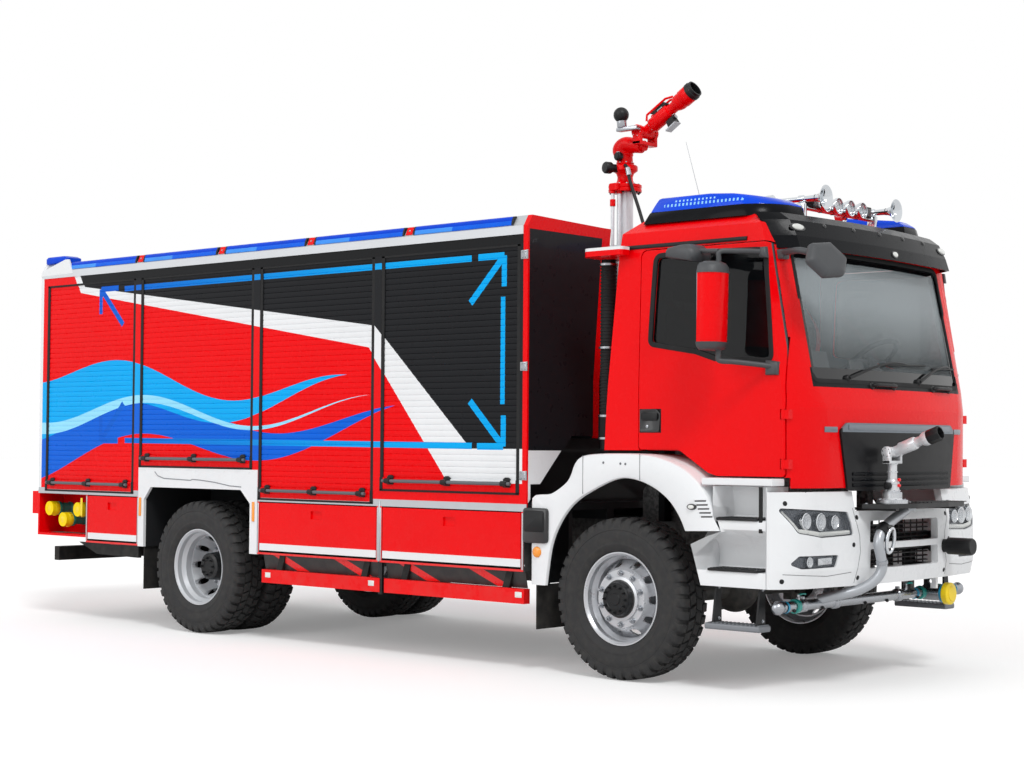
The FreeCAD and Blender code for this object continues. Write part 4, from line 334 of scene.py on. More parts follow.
# ------------------------------------------------------------------ livery
def livery_zones(g):
    """Black upper part, white band and red lower part, with blue waves and a blue line frame."""
    low_black = g.math("MINIMUM", g.sloped(g.x, (-3.403, 2.822), (0.085, 2.364)),
                       g.sloped(g.x, (0.200, 2.302), (1.082, 1.481)))
    low_white = g.math("MINIMUM", g.sloped(g.x, (-2.935, 2.689), (0.056, 2.206)),
                       g.sloped(g.x, (0.109, 2.161), (0.896, 1.211)))
    white = g.above(g.z, low_white)
    black = g.both(g.above(g.z, low_black), g.above(g.z, 1.478))
    corner = g.sloped(g.x, (-3.617, 3.052), (-3.476, 2.802))
    stripe = g.sloped(g.x, (-3.540, 3.052), (-3.402, 2.822))
    left = g.below(g.z, corner)
    flanks = g.above(g.size(g.y), 1.18)
    zones = [(white, WHITE), (g.below(g.z, stripe), WHITE), (black, DARK),
             (g.both(g.below(g.z, stripe), g.above(g.z, 2.76)), WHITE), (left, RED),
             (g.both(g.either(g.below(g.z, 2.60), g.below(g.x, -2.9)), g.below(g.z, low_white)), RED)]
    zones += wave_zones(g)
    zones += line_zones(g)
    zones += [(g.below(g.z, 1.146), RED), (g.both(g.below(g.z, 1.245), g.above(g.x, 0.175)), RED),
              (g.both(g.above(g.z, 2.854), g.above(g.x, -3.42)), BLACK),
              (g.above(g.z, 2.919), (rgb(214, 217, 221), 0.35, 0.25)),
              (g.other(flanks), GREY)]
    return zones


def wave_zones(g):
    """Three plain sine bands that run forward from the rear edge and narrow to a point."""
    zones = []
    bands = ((1.64, 0.16, 1.9, 0.4, 0.33, 0.35, rgb(0, 98, 216)),
             (1.88, 0.13, 2.3, 1.9, 0.25, -0.15, rgb(0, 170, 240)),
             (1.74, 0.12, 2.3, 1.2, 0.05, 0.10, rgb(150, 222, 250)))
    for height, swing, rate, phase, width, tip, colour in bands:
        along = g.math("MULTIPLY_ADD", g.x, rate, phase)
        middle = g.math("MULTIPLY_ADD", g.math("SINE", along), swing, height)
        half = g.ramp(g.x, BODY_REAR, tip, width, 0.0)
        away = g.size(g.math("SUBTRACT", g.z, middle))
        zones.append((g.math("LESS_THAN", away, half), (colour, 0.3, 0.0)))
    return zones


def line_zones(g):
    """Blue frame of thin lines with an arrow at each corner, lighter towards the front."""
    blue = g.mix(g.ramp(g.x, -3.1, 0.6), rgb(0, 92, 206), rgb(0, 168, 238))
    bars = [((-2.846, 2.778), (1.084, 2.784), 0.044), ((-2.817, 1.520), (1.098, 1.496), 0.044),
            ((1.377, 2.506), (1.377, 1.779), 0.040)]
    for x, z, dx, dz in ((1.386, 2.786, -1, -1), (1.386, 1.493, -1, 1), (-3.170, 2.790, 1, -1),
                         (-3.150, 1.516, 1, 1)):
        bars += [((x, z), (x + dx * 0.24, z), 0.046), ((x, z), (x, z + dz * 0.21), 0.046),
                 ((x, z), (x + dx * 0.31, z + dz * 0.31), 0.05)]
    masks = [g.stroke(g.x, g.z, p, q, width) for p, q, width in bars]
    return [(g.either(*masks), (blue, 0.3, 0.0))]


def end_wall_zones(g):
    """Front wall: dark panel in a thin red line over a white foot, and a red strip by the well."""
    y = g.size(g.y)
    face = g.above(g.x, BODY_FRONT - 0.004)
    inner = g.math("MAXIMUM", 0.0, g.sloped(g.z, (1.95, 0.551), (3.03, 0.453)))
    inner = g.math("MINIMUM", inner, 0.551)
    panel = g.both(face, g.above(y, inner), g.below(y, 1.234), g.below(g.z, 2.955))
    foot = g.both(panel, g.below(g.z, 1.468), g.above(y, g.sloped(g.z, (1.243, 1.112), (1.57, 0.793))))
    room = g.both(g.below(g.x, BODY_FRONT - 0.042), g.above(g.x, 0.5))
    rear = g.below(g.x, BODY_REAR + 0.06)
    edge = g.both(rear, g.above(y, 1.16))
    return [(panel, DARK), (foot, WHITE), (room, CHASSIS), (edge, WHITE)]


def paint(name, base=RED, zones=(), **kw):
    kw.setdefault("coat", 0.10)
    kw.setdefault("specular", 0.10)
    kw.setdefault("grain", 0.012)
    kw.setdefault("grain_scale", 90.0)
    return surface(name, base, zones, **kw)


def low(g, limit, finish):
    return (g.below(g.z, limit), finish)


LIVERY = paint("livery", RED, livery_zones)
CURTAIN_PAINT = paint("curtain_paint", RED, livery_zones, coat=0.03)
RED_PAINT = paint("red_paint")
WHITE_PAINT = paint("white_paint", WHITE, dust=0.06, coat=0.3)
RUBBER_MAT = surface("rubber", RUBBER, grain=0.35, grain_scale=240, dust=0.12, mottle=0.15, specular=0.3)
PLASTIC = surface("black_plastic", BLACK, grain=0.30, grain_scale=420, mottle=0.12, specular=0.3)
GLOSS = surface("gloss_black", (rgb(9, 11, 15), 0.24, 0.0), coat=0.03, grain=0.01, mottle=0.1,
                specular=0.08)
STEEL_MAT = surface("brushed_steel", STEEL, grain=0.10, grain_scale=120, stretch=(40, 1, 40), mottle=0.1)
CHROME_MAT = surface("chrome", CHROME, grain=0.02, mottle=0.05)
ALU_MAT = surface("aluminium", ALUMINIUM, grain=0.12, grain_scale=60, stretch=(1, 30, 30), mottle=0.1)
CHASSIS_MAT = surface("chassis_paint", CHASSIS, grain=0.15, grain_scale=120, mottle=0.2, dust=0.45,
                      wear=0.25)
YELLOW_MAT = surface("yellow_plastic", YELLOW, coat=0.2, grain=0.12, grain_scale=300)
TEAL_MAT = surface("teal_valve", TEAL, coat=0.3, grain=0.2, grain_scale=200)
AMBER_MAT = surface("amber_lens", AMBER, coat=0.8, grain=0.5, grain_scale=500, stretch=(1, 1, 1))
RED_KNOB = surface("red_plastic", RED, coat=0.2, grain=0.15, grain_scale=300)
BLACK_TRIM = surface("black_trim", (rgb(24, 25, 27), 0.34, 0.0), coat=0.3, grain=0.12, grain_scale=380)
ALU_TUBE = surface("drawn_tube", (rgb(228, 232, 236), 0.30, 0.28), grain=0.05, grain_scale=90,
                   stretch=(30, 30, 1), mottle=0.12)
TEAL_RING = surface("teal_ring", (rgb(24, 140, 176), 0.4, 0.0), coat=0.2, grain=0.15, grain_scale=260)
SILVER_MAT = surface("silver_trim", SILVER, grain=0.06, grain_scale=80, stretch=(1, 30, 30), mottle=0.14,
                     mottle_scale=6)


def glass(name, tint, dark_zones=None, alpha=0.35, rough=0.02, coat=0.5):
    """Tinted glass: seen through where alpha is low, with printed dark borders."""
    g = Graph(name)
    colour = g.tinted(tint, g.ramp(g.noise(1.3, 2.0), 0.3, 0.7, 0.9, 1.0))
    see = alpha(g) if callable(alpha) else alpha
    if dark_zones:
        mask = dark_zones(g)
        colour = g.mix(mask, colour, BLACK[0])
        see = g.mix(mask, see, 1.0)
    g.put(g.shader.inputs["Base Color"], colour)
    g.put(g.shader.inputs["Roughness"], g.ramp(g.noise(6.0, 3.0), 0.3, 0.8, rough, rough + 0.05))
    g.put(g.shader.inputs["Alpha"], see)
    g.shader.inputs["Coat Weight"].default_value = coat
    g.shader.inputs["Specular IOR Level"].default_value = 0.3
    return g


def screen_border(g):
    return g.either(g.below(g.z, 1.992), g.above(g.size(g.y), 0.868), g.above(g.z, 2.672))


def facing_in(g):
    """Mask of the faces that look towards the middle of the cab."""
    normal = g.node("ShaderNodeTexCoord").outputs["Normal"]
    away = g.node("ShaderNodeVectorMath", g.place, (fx(0.55), 0, 2.15), operation="SUBTRACT").outputs[0]
    return g.below(g.node("ShaderNodeVectorMath", away, normal, operation="DOT_PRODUCT").outputs["Value"],
                   0.0)


def cab_zones(g):
    """Dark lining inside, a pale rear wall that is painted light (it lifts the shade inside the cab and stands
    in for the sky's reflection in the windscreen), dark band under the windscreen, red outside.
    """
    inside = g.both(facing_in(g), g.below(g.size(g.y), 1.052), g.above(g.x, fx(-0.115)), g.above(g.z, 1.40))
    under = g.below(g.z, 1.31)
    band = g.both(g.within(g.z, 1.872, 1.99), g.above(g.x, fx(1.15)), g.below(g.size(g.y), 0.918))
    rear_wall = g.both(inside, g.below(g.x, fx(0.02)), g.below(g.size(g.y), 0.84),
                       g.within(g.z, 1.93, 2.66))
    return [(inside, LINING), (rear_wall, REAR_WALL_PAINTED_REFLECTION), (under, BLACK), (band, BLACK)]


def door_zones(g):
    y = g.size(g.y)
    inner = g.below(y, 1.058)
    handle = g.both(g.within(g.x, fx(0.120), fx(0.292)), g.within(g.z, 1.588, 1.740))
    return [(inner, LINING), (handle, BLACK)]


def flap_zones(g):
    return [(g.below(g.z, 0.743), WHITE)]


def trim_zones(g):
    """Aluminium sill along the floor's edge."""
    edge = g.both(g.above(g.size(g.y), 1.246), g.above(g.z, 1.056))
    return [(g.below(g.size(g.y), 1.24), CHASSIS), (edge, SILVER)]


def wheel_zones(centre):
    """Dark hub hole in the middle of a wheel."""
    def zones(g):
        r = g.reach(g.x, g.z, centre)
        return [(g.below(r, 0.123), BLACK)]
    return zones


def axis_share(g, pivot, angle):
    """Distance along a barrel from its pivot."""
    dx = g.math("SUBTRACT", g.x, pivot[0])
    dz = g.math("SUBTRACT", g.z, pivot[1])
    return g.math("ADD", g.math("MULTIPLY", dx, math.cos(angle)), g.math("MULTIPLY", dz, math.sin(angle)))


def dress_frame():
    dress(["body_sides", "roller_shutters"], LIVERY)
    dress(["body_end_walls"], paint("end_walls", RED, end_wall_zones))
    dress(["body_floor"], paint("floor_paint", RED, trim_zones))
    dress(["body_roof"], surface("roof_sheet", (rgb(196, 199, 202), 0.42, 0.5), grain=0.4, grain_scale=45,
                                 mottle=0.12))
    dress(["lower_lockers"], surface("locker_sheet", CHASSIS, lambda g: [
        (g.above(g.size(g.y), 1.2485), RED)], grain=0.1, dust=0.2))
    for place in ("front", "mid", "rear"):
        for side in ("left", "right"):
            dress(["locker_flap_%s_%s" % (place, side)], paint("flap_paint", RED, flap_zones, dust=0.06))
    dress(["rear_arch_frames"], WHITE_PAINT)
    dress(["underrun_bars"], paint("underrun_paint", RED, lambda g: [
        (g.both(g.within(g.z, 0.546, 0.7), g.above(g.size(g.y), 1.0)), BLACK),
                (g.below(g.x, -3.80), BLACK)], dust=0.15))
    dress(["entrance_steps"], paint("step_paint", WHITE, lambda g: [
        (g.below(g.z, 0.645), BLACK), (g.below(g.z, 0.40), STEEL)], dust=0.12))
    dress(["front_fenders"], paint("fender_paint", WHITE, lambda g: [
        (g.below(g.size(g.y), 1.222), RUBBER)], dust=0.15))
    dress(["front_bumper"], paint("bumper_paint", WHITE, lambda g: [
        (g.both(g.below(g.x, fx(1.29)), g.below(g.size(g.y), 1.0)), BLACK)], dust=0.06, coat=0.3))
    dress(["chassis_frame", "powertrain", "front_axle", "rear_axle", "knuckle_left", "knuckle_right"],
          CHASSIS_MAT)
    dress(["monitor_platform"], surface("platform", BLACK, lambda g: [
        (g.both(g.above(g.z, 1.157), g.below(g.reach(g.x, g.y, (3.815, -0.310)), 0.099)), SILVER)],
        grain=0.25, grain_scale=300))
    angle = math.radians(20)
    silver = (rgb(214, 216, 218), 0.34, 0.45)
    dress(["front_monitor_head"], surface("monitor_silver", silver, grain=0.15, grain_scale=120))
    dress(["front_monitor_barrel"], surface("front_barrel", silver, lambda g: [
        (g.above(axis_share(g, (3.815, 1.476), angle), 0.255), BLACK)], grain=0.12, grain_scale=120))
    angle = math.radians(31)
    dress(["roof_monitor_head"], paint("monitor_red", RED, grain=0.2, grain_scale=110))
    dress(["roof_monitor_barrel"], paint("roof_barrel", RED, lambda g: [
        (g.above(axis_share(g, (1.625, 3.760), angle), 0.372), BLACK),
        (g.below(axis_share(g, (1.625, 3.760), angle), 0.05), BLACK)]))
    dress(["mast_tube"], surface("mast_tube", STEEL, lambda g: [
        (g.above(g.z, 3.368), RED)], grain=0.08, stretch=(20, 20, 1), grain_scale=100))
    dress(["mast_base"], ALU_MAT)
    dress(["front_pipework"], STEEL_MAT)
    dress(["front_mirror"], PLASTIC)
    dress(["mirror_left", "mirror_right"], paint("mirror_paint", BLACK, lambda g: [
        (g.both(g.above(g.size(g.y), 1.228), g.below(g.x, fx(0.95)), g.above(g.x, fx(0.795)),
                g.within(g.z, 2.075, 2.63)), RED)]))
    dress(["cab_shell"], paint("cab_paint", RED, cab_zones))
    dress(["door_left", "door_right"], paint("door_paint", RED, door_zones))
    dress(["door_glass_left", "door_glass_right"], glass("side_glass", rgb(10, 12, 14), alpha=0.86,
                                                         coat=0.12))
    # Windscreen: its pale tint, more opaque towards the top, is a painted reflection of the sky; the dark
    # border is print.
    dress(["windscreen"], glass("screen_glass_painted_reflection", rgb(226, 238, 243), screen_border,
        alpha=lambda g: g.ramp(g.z, 2.08, 2.42, 0.07, 0.24)))
    dress(["sun_visor"], GLOSS)
    dress(["dashboard"], surface("dash_plastic", (rgb(52, 54, 57), 0.6, 0.0), grain=0.3, grain_scale=350))
    dress(["grille_panel"], surface("grille", (rgb(22, 22, 24), 0.32, 0.0), lambda g: [
        (g.both(g.above(g.z, 1.598), g.below(g.size(g.y), 0.70)), (rgb(120, 128, 136), 0.2, 0.3))],
        coat=0.04, grain=0.02, specular=0.15))
    dress(["front_rim_left", "front_rim_right"], surface(
        "front_rim", WHEEL, wheel_zones((FRONT_AXLE, AXLE_HEIGHT)), grain=0.06, mottle=0.1, coat=0.2))
    dress(["rear_rims_left", "rear_rims_right"], surface(
        "rear_rim", (rgb(196, 199, 203), 0.38, 0.25), wheel_zones((REAR_AXLE, AXLE_HEIGHT)), grain=0.06,
        mottle=0.1, coat=0.2))
    dress(["mudflaps"], RUBBER_MAT)
    dress(["hose_couplings"], paint("coupling_bay", RED, lambda g: [
        (g.both(g.within(g.size(g.y), 1.02, 1.145), g.above(g.x, BODY_REAR + 0.03)), TEAL),
        (g.both(g.above(g.size(g.y), 1.14), g.above(g.z, 0.75), g.above(g.x, BODY_REAR + 0.03)), YELLOW)]))
    dress(["rear_step_and_rails"], paint("rear_step", RED, lambda g: [
        (g.above(g.z, 1.09), STEEL)]))
    # Intake head: black below the cap and a red cap. The white top is a painted highlight, the sky's
    # reflection on the cap.
    dress(["air_intake"],
          paint("intake", RED, lambda g: [(g.below(g.z, 2.733), BLACK), (g.above(g.z, 2.770), WHITE)]))


# ------------------------------------------------------------------ shapes
class Shape:
    """Faces gathered from small solids; each face has the index of its material."""

    def __init__(self):
        self.points = []
        self.faces = []
        self.marks = []

    def add(self, points, faces, mark=0):
        start = len(self.points)
        self.points += [Vector(p) for p in points]
        self.faces += [[start + i for i in face] for face in faces]
        self.marks += [mark] * len(faces)

    def rows(self, rows, mark=0, ring=True, caps=True, loop=False):
        """Skin over rows of points; ring closes each row, loop joins the last row to the first."""
        n = len(rows[0])
        faces = []
        last = len(rows) if loop else len(rows) - 1
        for i in range(last):
            j = (i + 1) % len(rows)
            for k in range(n if ring else n - 1):
                m = (k + 1) % n
                faces.append([i * n + k, i * n + m, j * n + m, j * n + k])
        if caps and ring and not loop:
            faces.append(list(range(n))[::-1])
            faces.append([(len(rows) - 1) * n + k for k in range(n)])
        self.add([p for row in rows for p in row], faces, mark)

    def block(self, low, high, mark=0):
        x, y, z = zip(low, high)
        bottom = [(x[0], y[0]), (x[1], y[0]), (x[1], y[1]), (x[0], y[1])]
        self.rows([[(a, b, h) for a, b in bottom] for h in z], mark)

    def turned(self, profile, centre, axis, segments=32, mark=0, caps=True):
        """Profile of (radius, height) points turned about an axis through centre."""
        centre, axis = Vector(centre), Vector(axis).normalized()
        side = axis.orthogonal().normalized()
        across = axis.cross(side)
        rows = []
        for radius, height in profile:
            ring = []
            for i in range(segments):
                turn = 2 * math.pi * i / segments
                out = side * math.cos(turn) + across * math.sin(turn)
                ring.append(centre + axis * height + out * max(radius, 1e-5))
            rows.append(ring)
        self.rows(rows, mark, caps=caps)

    def pipe(self, path, radius, segments=12, mark=0):
        """Round bar or hose that follows a path; radius is one number or one for each point."""
        path = [Vector(p) for p in path]
        radii = radius if isinstance(radius, list) else [radius] * len(path)
        direction = (path[1] - path[0]).normalized()
        side = direction.orthogonal().normalized()
        rows = []
        for i, p in enumerate(path):
            ahead = path[min(i + 1, len(path) - 1)] - path[max(i - 1, 0)]
            ahead.normalize()
            side = (side - ahead * side.dot(ahead)).normalized()
            across = ahead.cross(side)
            rows.append([p + (side * math.cos(t) + across * math.sin(t)) * radii[i]
                         for t in (2 * math.pi * k / segments for k in range(segments))])
        self.rows(rows, mark)

    def both_sides(self):
        """Adds the same faces mirrored to the other side of the truck."""
        points = [Vector((p.x, -p.y, p.z)) for p in self.points]
        marks = list(self.marks)
        start = len(self.points)
        faces = [[start + i for i in reversed(face)] for face in self.faces]
        self.points += points
        self.faces += faces
        self.marks += marks
        return self

    def mirrored(self):
        twin = Shape()
        twin.points = [Vector((p.x, -p.y, p.z)) for p in self.points]
        twin.faces = [list(reversed(face)) for face in self.faces]
        twin.marks = list(self.marks)
        return twin


def curve_through(points, steps=8):
    """Smooth line through points."""
    points = [Vector(p) for p in points]
    line = []
    for i in range(len(points) - 1):
        before = points[max(i - 1, 0)]
        a, b = points[i], points[i + 1]
        after = points[min(i + 2, len(points) - 1)]
        for k in range(steps):
            t = k / steps
            line.append(0.5 * ((2 * a) + (b - before) * t + (2 * before - 5 * a + 4 * b - after) * t * t
                               + (3 * a - before - 3 * b + after) * t ** 3))
    line.append(points[-1])
    return line


def piece(name, shape, body, graphs, replaces=(), bevel=0.0, sharp=38, subdivide=0):
    mesh = bpy.data.meshes.new(name)
    mesh.from_pydata([tuple(p) for p in shape.points], [], shape.faces)
    mesh.polygons.foreach_set("material_index", shape.marks)
    for graph in graphs:
        mesh.materials.append(graph.material)
    work = bmesh.new()
    work.from_mesh(mesh)
    bmesh.ops.remove_doubles(work, verts=work.verts, dist=2e-5)
    bmesh.ops.dissolve_degenerate(work, edges=work.edges, dist=1e-5)
    bmesh.ops.recalc_face_normals(work, faces=work.faces)
    work.to_mesh(mesh)
    work.free()
    mesh.shade_smooth()
    mesh.set_sharp_from_angle(angle=math.radians(sharp))
    made = bpy.data.objects.new(name, mesh)
    bpy.context.scene.collection.objects.link(made)
    if subdivide:
        modifier = made.modifiers.new("subdivide", "SUBSURF")
        modifier.levels = modifier.render_levels = subdivide
    if bevel:
        modifier = made.modifiers.new("bevel", "BEVEL")
        modifier.width = bevel
        modifier.segments = 2
        modifier.angle_limit = math.radians(sharp)
        modifier.harden_normals = False
    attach(made, body)
    if replaces:
        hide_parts(*replaces)
    return made


# ------------------------------------------------------------------ tyres and wheels
TYRE_RADIUS = 0.522
TREAD_PITCHES = 40
TYRE_PROFILE = [(0.2870, 0.1035), (0.3012, 0.1045), (0.3040, 0.1140), (0.3120, 0.1205), (0.3300, 0.1318),
                (0.3440, 0.1362), (0.3500, 0.1385), (0.3540, 0.1385), (0.3570, 0.1372), (0.3700, 0.1392),
                (0.4050, 0.1422), (0.4360, 0.1418), (0.4400, 0.1395), (0.4430, 0.1418), (0.4620, 0.1390),
                (0.4800, 0.1340), (0.4930, 0.1265), (0.5000, 0.1160), (0.5030, 0.1000), (0.5045, 0.0500)]


def tread_lug(shape, centre, turn, span, columns, lean, depth=0.021):
    """One tread block: columns are (across, top radius) points; lean skews it round the tyre."""
    def place(radius, angle, across):
        return centre + Vector((radius * math.cos(angle), across, radius * math.sin(angle)))
    points = []
    for across, radius in columns:
        shift = lean * (across - columns[0][0])
        for side in (-1, 1):
            half = span / 2 + 0.004
            points.append(place(radius - depth, turn + (shift + side * half) / TYRE_RADIUS, across))
            points.append(place(radius, turn + (shift + side * span / 2) / TYRE_RADIUS, across))
    faces = []
    last = len(columns) - 1
    for i in range(last):
        a, b = 4 * i, 4 * i + 4
        faces += [[a + 1, a + 3, b + 3, b + 1], [a, a + 1, b + 1, b], [a + 3, a + 2, b + 2, b + 3]]
    end = 4 * last
    faces += [[0, 2, 3, 1], [end, end + 1, end + 3, end + 2]]
    shape.add(points, faces)


def add_tyre(shape, centre):
    centre = Vector(centre)
    profile = TYRE_PROFILE + [(r, -out) for r, out in reversed(TYRE_PROFILE)]
    shape.turned(profile, centre, (0, 1, 0), 96, caps=False)
    step = 2 * math.pi / TREAD_PITCHES
    for i in range(TREAD_PITCHES):
        for side in (-1, 1):
            turn = i * step + (step / 2 if side > 0 else 0)
            shoulder = [(side * 0.070, 0.5215), (side * 0.112, 0.5185), (side * 0.130, 0.5080),
                        (side * 0.1375, 0.4900), (side * 0.1400, 0.4700)]
            tread_lug(shape, centre, turn, 0.050, shoulder, side * 0.10)
            middle = [(side * 0.006, 0.5220), (side * 0.060, 0.5216)]
            tread_lug(shape, centre, turn + step * 0.42, 0.060, middle, side * -0.38, 0.018)


def make_tyres():
    """All six tyres, on the bodies that turn them."""
    rubber = surface("tyre_rubber", (rgb(38, 38, 39), 0.78, 0.0), lambda g: [
        (g.ramp(g.noise(22.0, 4.0), 0.45, 0.7, 0.0, 0.5), (rgb(62, 60, 57), 0.9, 0.0))],
        grain=0.3, grain_scale=260, mottle=0.2)
    for side, y in (("right", -1), ("left", 1)):
        front = Shape()
        add_tyre(front, (FRONT_AXLE, y * 1.045, AXLE_HEIGHT))
        piece("tyre_front_" + side, front, "wheel_front_" + side, [rubber],
              ["front_tyre_" + side])
        rear = Shape()
        for across in (1.100, 0.770):
            add_tyre(rear, (REAR_AXLE, y * across, AXLE_HEIGHT))
        piece("tyres_rear_" + side, rear, "wheel_rear_" + side, [rubber],
              ["rear_tyres_" + side])


def add_nut(shape, centre, axis, turn, size=0.0165, height=0.021):
    """Wheel nut: washer, hexagon with a domed top, and the stud's tip."""
    centre, axis = Vector(centre), Vector(axis)
    shape.turned([(0, 0), (size * 1.25, 0), (size * 1.25, 0.004), (0, 0.004)], centre, axis, 20)
    side = axis.orthogonal().normalized()
    across = axis.cross(side)
    rows = []
    for grow, at in ((1.0, 0.004), (1.0, height - 0.003), (0.86, height)):
        rows.append([centre + axis * at + (side * math.cos(turn + math.pi * k / 3)
                                           + across * math.sin(turn + math.pi * k / 3)) * size * grow
                     for k in range(6)])
    shape.rows(rows)
    shape.turned([(size * 0.55, height), (size * 0.55, height + 0.010), (size * 0.42, height + 0.013),
                  (0, height + 0.013)], centre, axis, 12)


def make_wheel_fittings():
    for side, sign in (("right", -1), ("left", 1)):
        out = Vector((0, sign, 0))
        nuts = Shape()
        cap = Shape()
        y = sign * (1.045 + 0.105)
        centre = Vector((FRONT_AXLE, y, AXLE_HEIGHT))
        for i in range(10):
            turn = math.pi * (i + 0.5) / 5
            place = centre + Vector((math.cos(turn), 0, math.sin(turn))) * 0.1655
            add_nut(nuts, place, out, turn * 1.7)
        hub = centre + out * 0.060
        cap.turned([(0.0, -0.02), (0.1045, -0.02), (0.1045, -0.004), (0.098, 0.003), (0.070, 0.006),
                    (0.066, 0.002), (0.040, 0.002), (0.036, 0.007), (0.0, 0.007)], hub, out, 48)
        for i in range(12):
            turn = math.pi * i / 6
            place = hub + Vector((math.cos(turn), 0, math.sin(turn))) * 0.084 + out * 0.004
            add_nut(cap, place, out, turn, 0.0085, 0.009)
        piece("wheel_nuts_front_" + side, nuts, "wheel_front_" + side, [STEEL_MAT],
              bevel=0.0008)
        piece("hub_cap_front_" + side, cap, "wheel_front_" + side, [PLASTIC])
        nuts = Shape()
        cap = Shape()
        centre = Vector((REAR_AXLE, sign * 0.935, AXLE_HEIGHT))
        for i in range(10):
            turn = math.pi * (i + 0.5) / 5
            place = centre + Vector((math.cos(turn), 0, math.sin(turn))) * 0.1655
            add_nut(nuts, place, out, turn * 1.7)
        hub = Vector((REAR_AXLE, sign * (0.935 + 0.182), AXLE_HEIGHT))
        cap.turned([(0.0, -0.01), (0.086, -0.01), (0.086, -0.002), (0.080, 0.004), (0.050, 0.006),
                    (0.046, 0.002), (0.0, 0.002)], hub, out, 48)
        for i in range(8):
            turn = math.pi * i / 4
            place = hub + Vector((math.cos(turn), 0, math.sin(turn))) * 0.066 + out * 0.004
            add_nut(cap, place, out, turn, 0.0085, 0.009)
        piece("wheel_nuts_rear_" + side, nuts, "wheel_rear_" + side, [STEEL_MAT],
              bevel=0.0008)
        piece("hub_cap_rear_" + side, cap, "wheel_rear_" + side, [PLASTIC])


# ------------------------------------------------------------------ roller shutters
BAYS = ((-3.930, -2.680, 1.156), (-2.610, -1.190, 1.377), (-1.120, 0.140, 1.148), (0.210, 1.540, 1.245))
SHUTTER_TOP = 2.854
SLAT = 0.0415
SLAT_SHAPE = ((0.00, -0.0040), (0.05, -0.0012), (0.16, 0.0000), (0.55, 0.0004), (0.84, 0.0000),
              (0.95, -0.0012), (1.00, -0.0040))


def add_slats(shape, ends, low, high, place):
    """Curtain of convex slats; place turns (along, height, out) into a point."""
    count = max(1, round((high - low) / SLAT))
    pitch = (high - low) / count
    rows = []
    for i in range(count):
        for share, out in SLAT_SHAPE[:-1] if i < count - 1 else SLAT_SHAPE:
            rows.append([place(end, low + (i + share) * pitch, out) for end in ends])
    rows = [[place(end, low, -0.014) for end in ends]] + rows + [[place(end, high, -0.014) for end in ends]]
    shape.rows(rows, ring=False, caps=False)
    for end in (0, 1):
        shape.add([row[end] for row in rows], [list(range(len(rows)))])
    shape.add([rows[0][0], rows[0][1], rows[-1][1], rows[-1][0]], [[0, 1, 2, 3]])


BAR_DROP = 0.072              # the bars hang in front of each curtain's foot


def add_grab_bar(shape, ends, height, place):
    """Grab bar over the curtain's foot: marks 0 bar, 1 clamps."""
    height -= BAR_DROP
    shape.pipe([place(ends[0] + 0.055, height + 0.070, 0.038),
                place(ends[1] - 0.055, height + 0.070, 0.038)],
               0.0125, 16, 0)
    middle = (ends[0] + ends[1]) / 2
    for at in (ends[0] + 0.110, middle, ends[1] - 0.110):
        outline = [(-0.030, 0.044), (0.030, 0.044), (0.030, 0.100), (0.012, 0.112), (-0.012, 0.112),
                   (-0.030, 0.100)]
        shape.rows([[place(at + a, height + b, out) for a, b in outline] for out in (0.0, 0.016)], 1)
        shape.pipe([place(at - 0.026, height + 0.070, 0.038), place(at + 0.026, height + 0.070, 0.038)],
                   0.0195, 16, 1)
        shape.rows([[place(at + a, height + b, out) for a, b in
                     ((-0.016, 0.052), (0.016, 0.052), (0.016, 0.088), (-0.016, 0.088))]
                    for out in (0.014, 0.036)], 1)


def make_shutters():
    """Slatted curtains of the lockers, with their bottom bars and straps."""
    slats = Shape()
    bars = Shape()
    rails = Shape()

    def side_place(along, height, out):
        return Vector((along, -1.242 - out, height))

    def foot_place(along, height, out):
        return Vector((along, -1.2512 - out, height))

    def rear_place(along, height, out):
        return Vector((BODY_REAR + 0.008 - out, along, height))

    for x0, x1, foot in BAYS:
        add_slats(slats, (x0 + 0.004, x1 - 0.004), foot + 0.022, SHUTTER_TOP, side_place)
        add_grab_bar(bars, (x0, x1), foot, side_place)
        add_slats(slats, (x0 + 0.004, x1 - 0.004), foot - BAR_DROP + 0.011, foot + 0.022, foot_place)
        rails.block((x0, -1.2550, foot - BAR_DROP - 0.004), (x1, -1.2495, foot - BAR_DROP + 0.011))
        for a, b in ((x0, x0 + 0.030), (x1 - 0.030, x1)):
            rails.block((a, -1.2550, foot - BAR_DROP), (b, -1.2480, foot + 0.022))
            rails.block((a, -1.2495, foot), (b, -1.238, SHUTTER_TOP))
        rails.block((x0, -1.2495, SHUTTER_TOP - 0.016), (x1, -1.238, SHUTTER_TOP))
    for shape in (slats, bars, rails):
        shape.both_sides()
    add_slats(slats, (-0.696, 0.696), 1.202, 2.740, rear_place)
    add_grab_bar(bars, (-0.700, 0.700), 1.180, rear_place)
    for y0, y1 in ((-0.700, -0.670), (0.670, 0.700)):
        rails.block((BODY_REAR, y0, 1.180), (BODY_REAR + 0.012, y1, 2.740))
    rails.block((BODY_REAR, -0.700, 2.722), (BODY_REAR + 0.012, 0.700, 2.740))
    piece("curtain_slats", slats, "truck", [CURTAIN_PAINT], ["roller_shutters"], sharp=30)
    grey = surface("bar_grey", (rgb(96, 99, 104), 0.42, 0.2), grain=0.1, mottle=0.1)
    piece("curtain_grab_bars", bars, "truck", [grey, PLASTIC, RED_PAINT], bevel=0.0015)
    piece("curtain_guides", rails, "truck", [RUBBER_MAT], bevel=0.002)


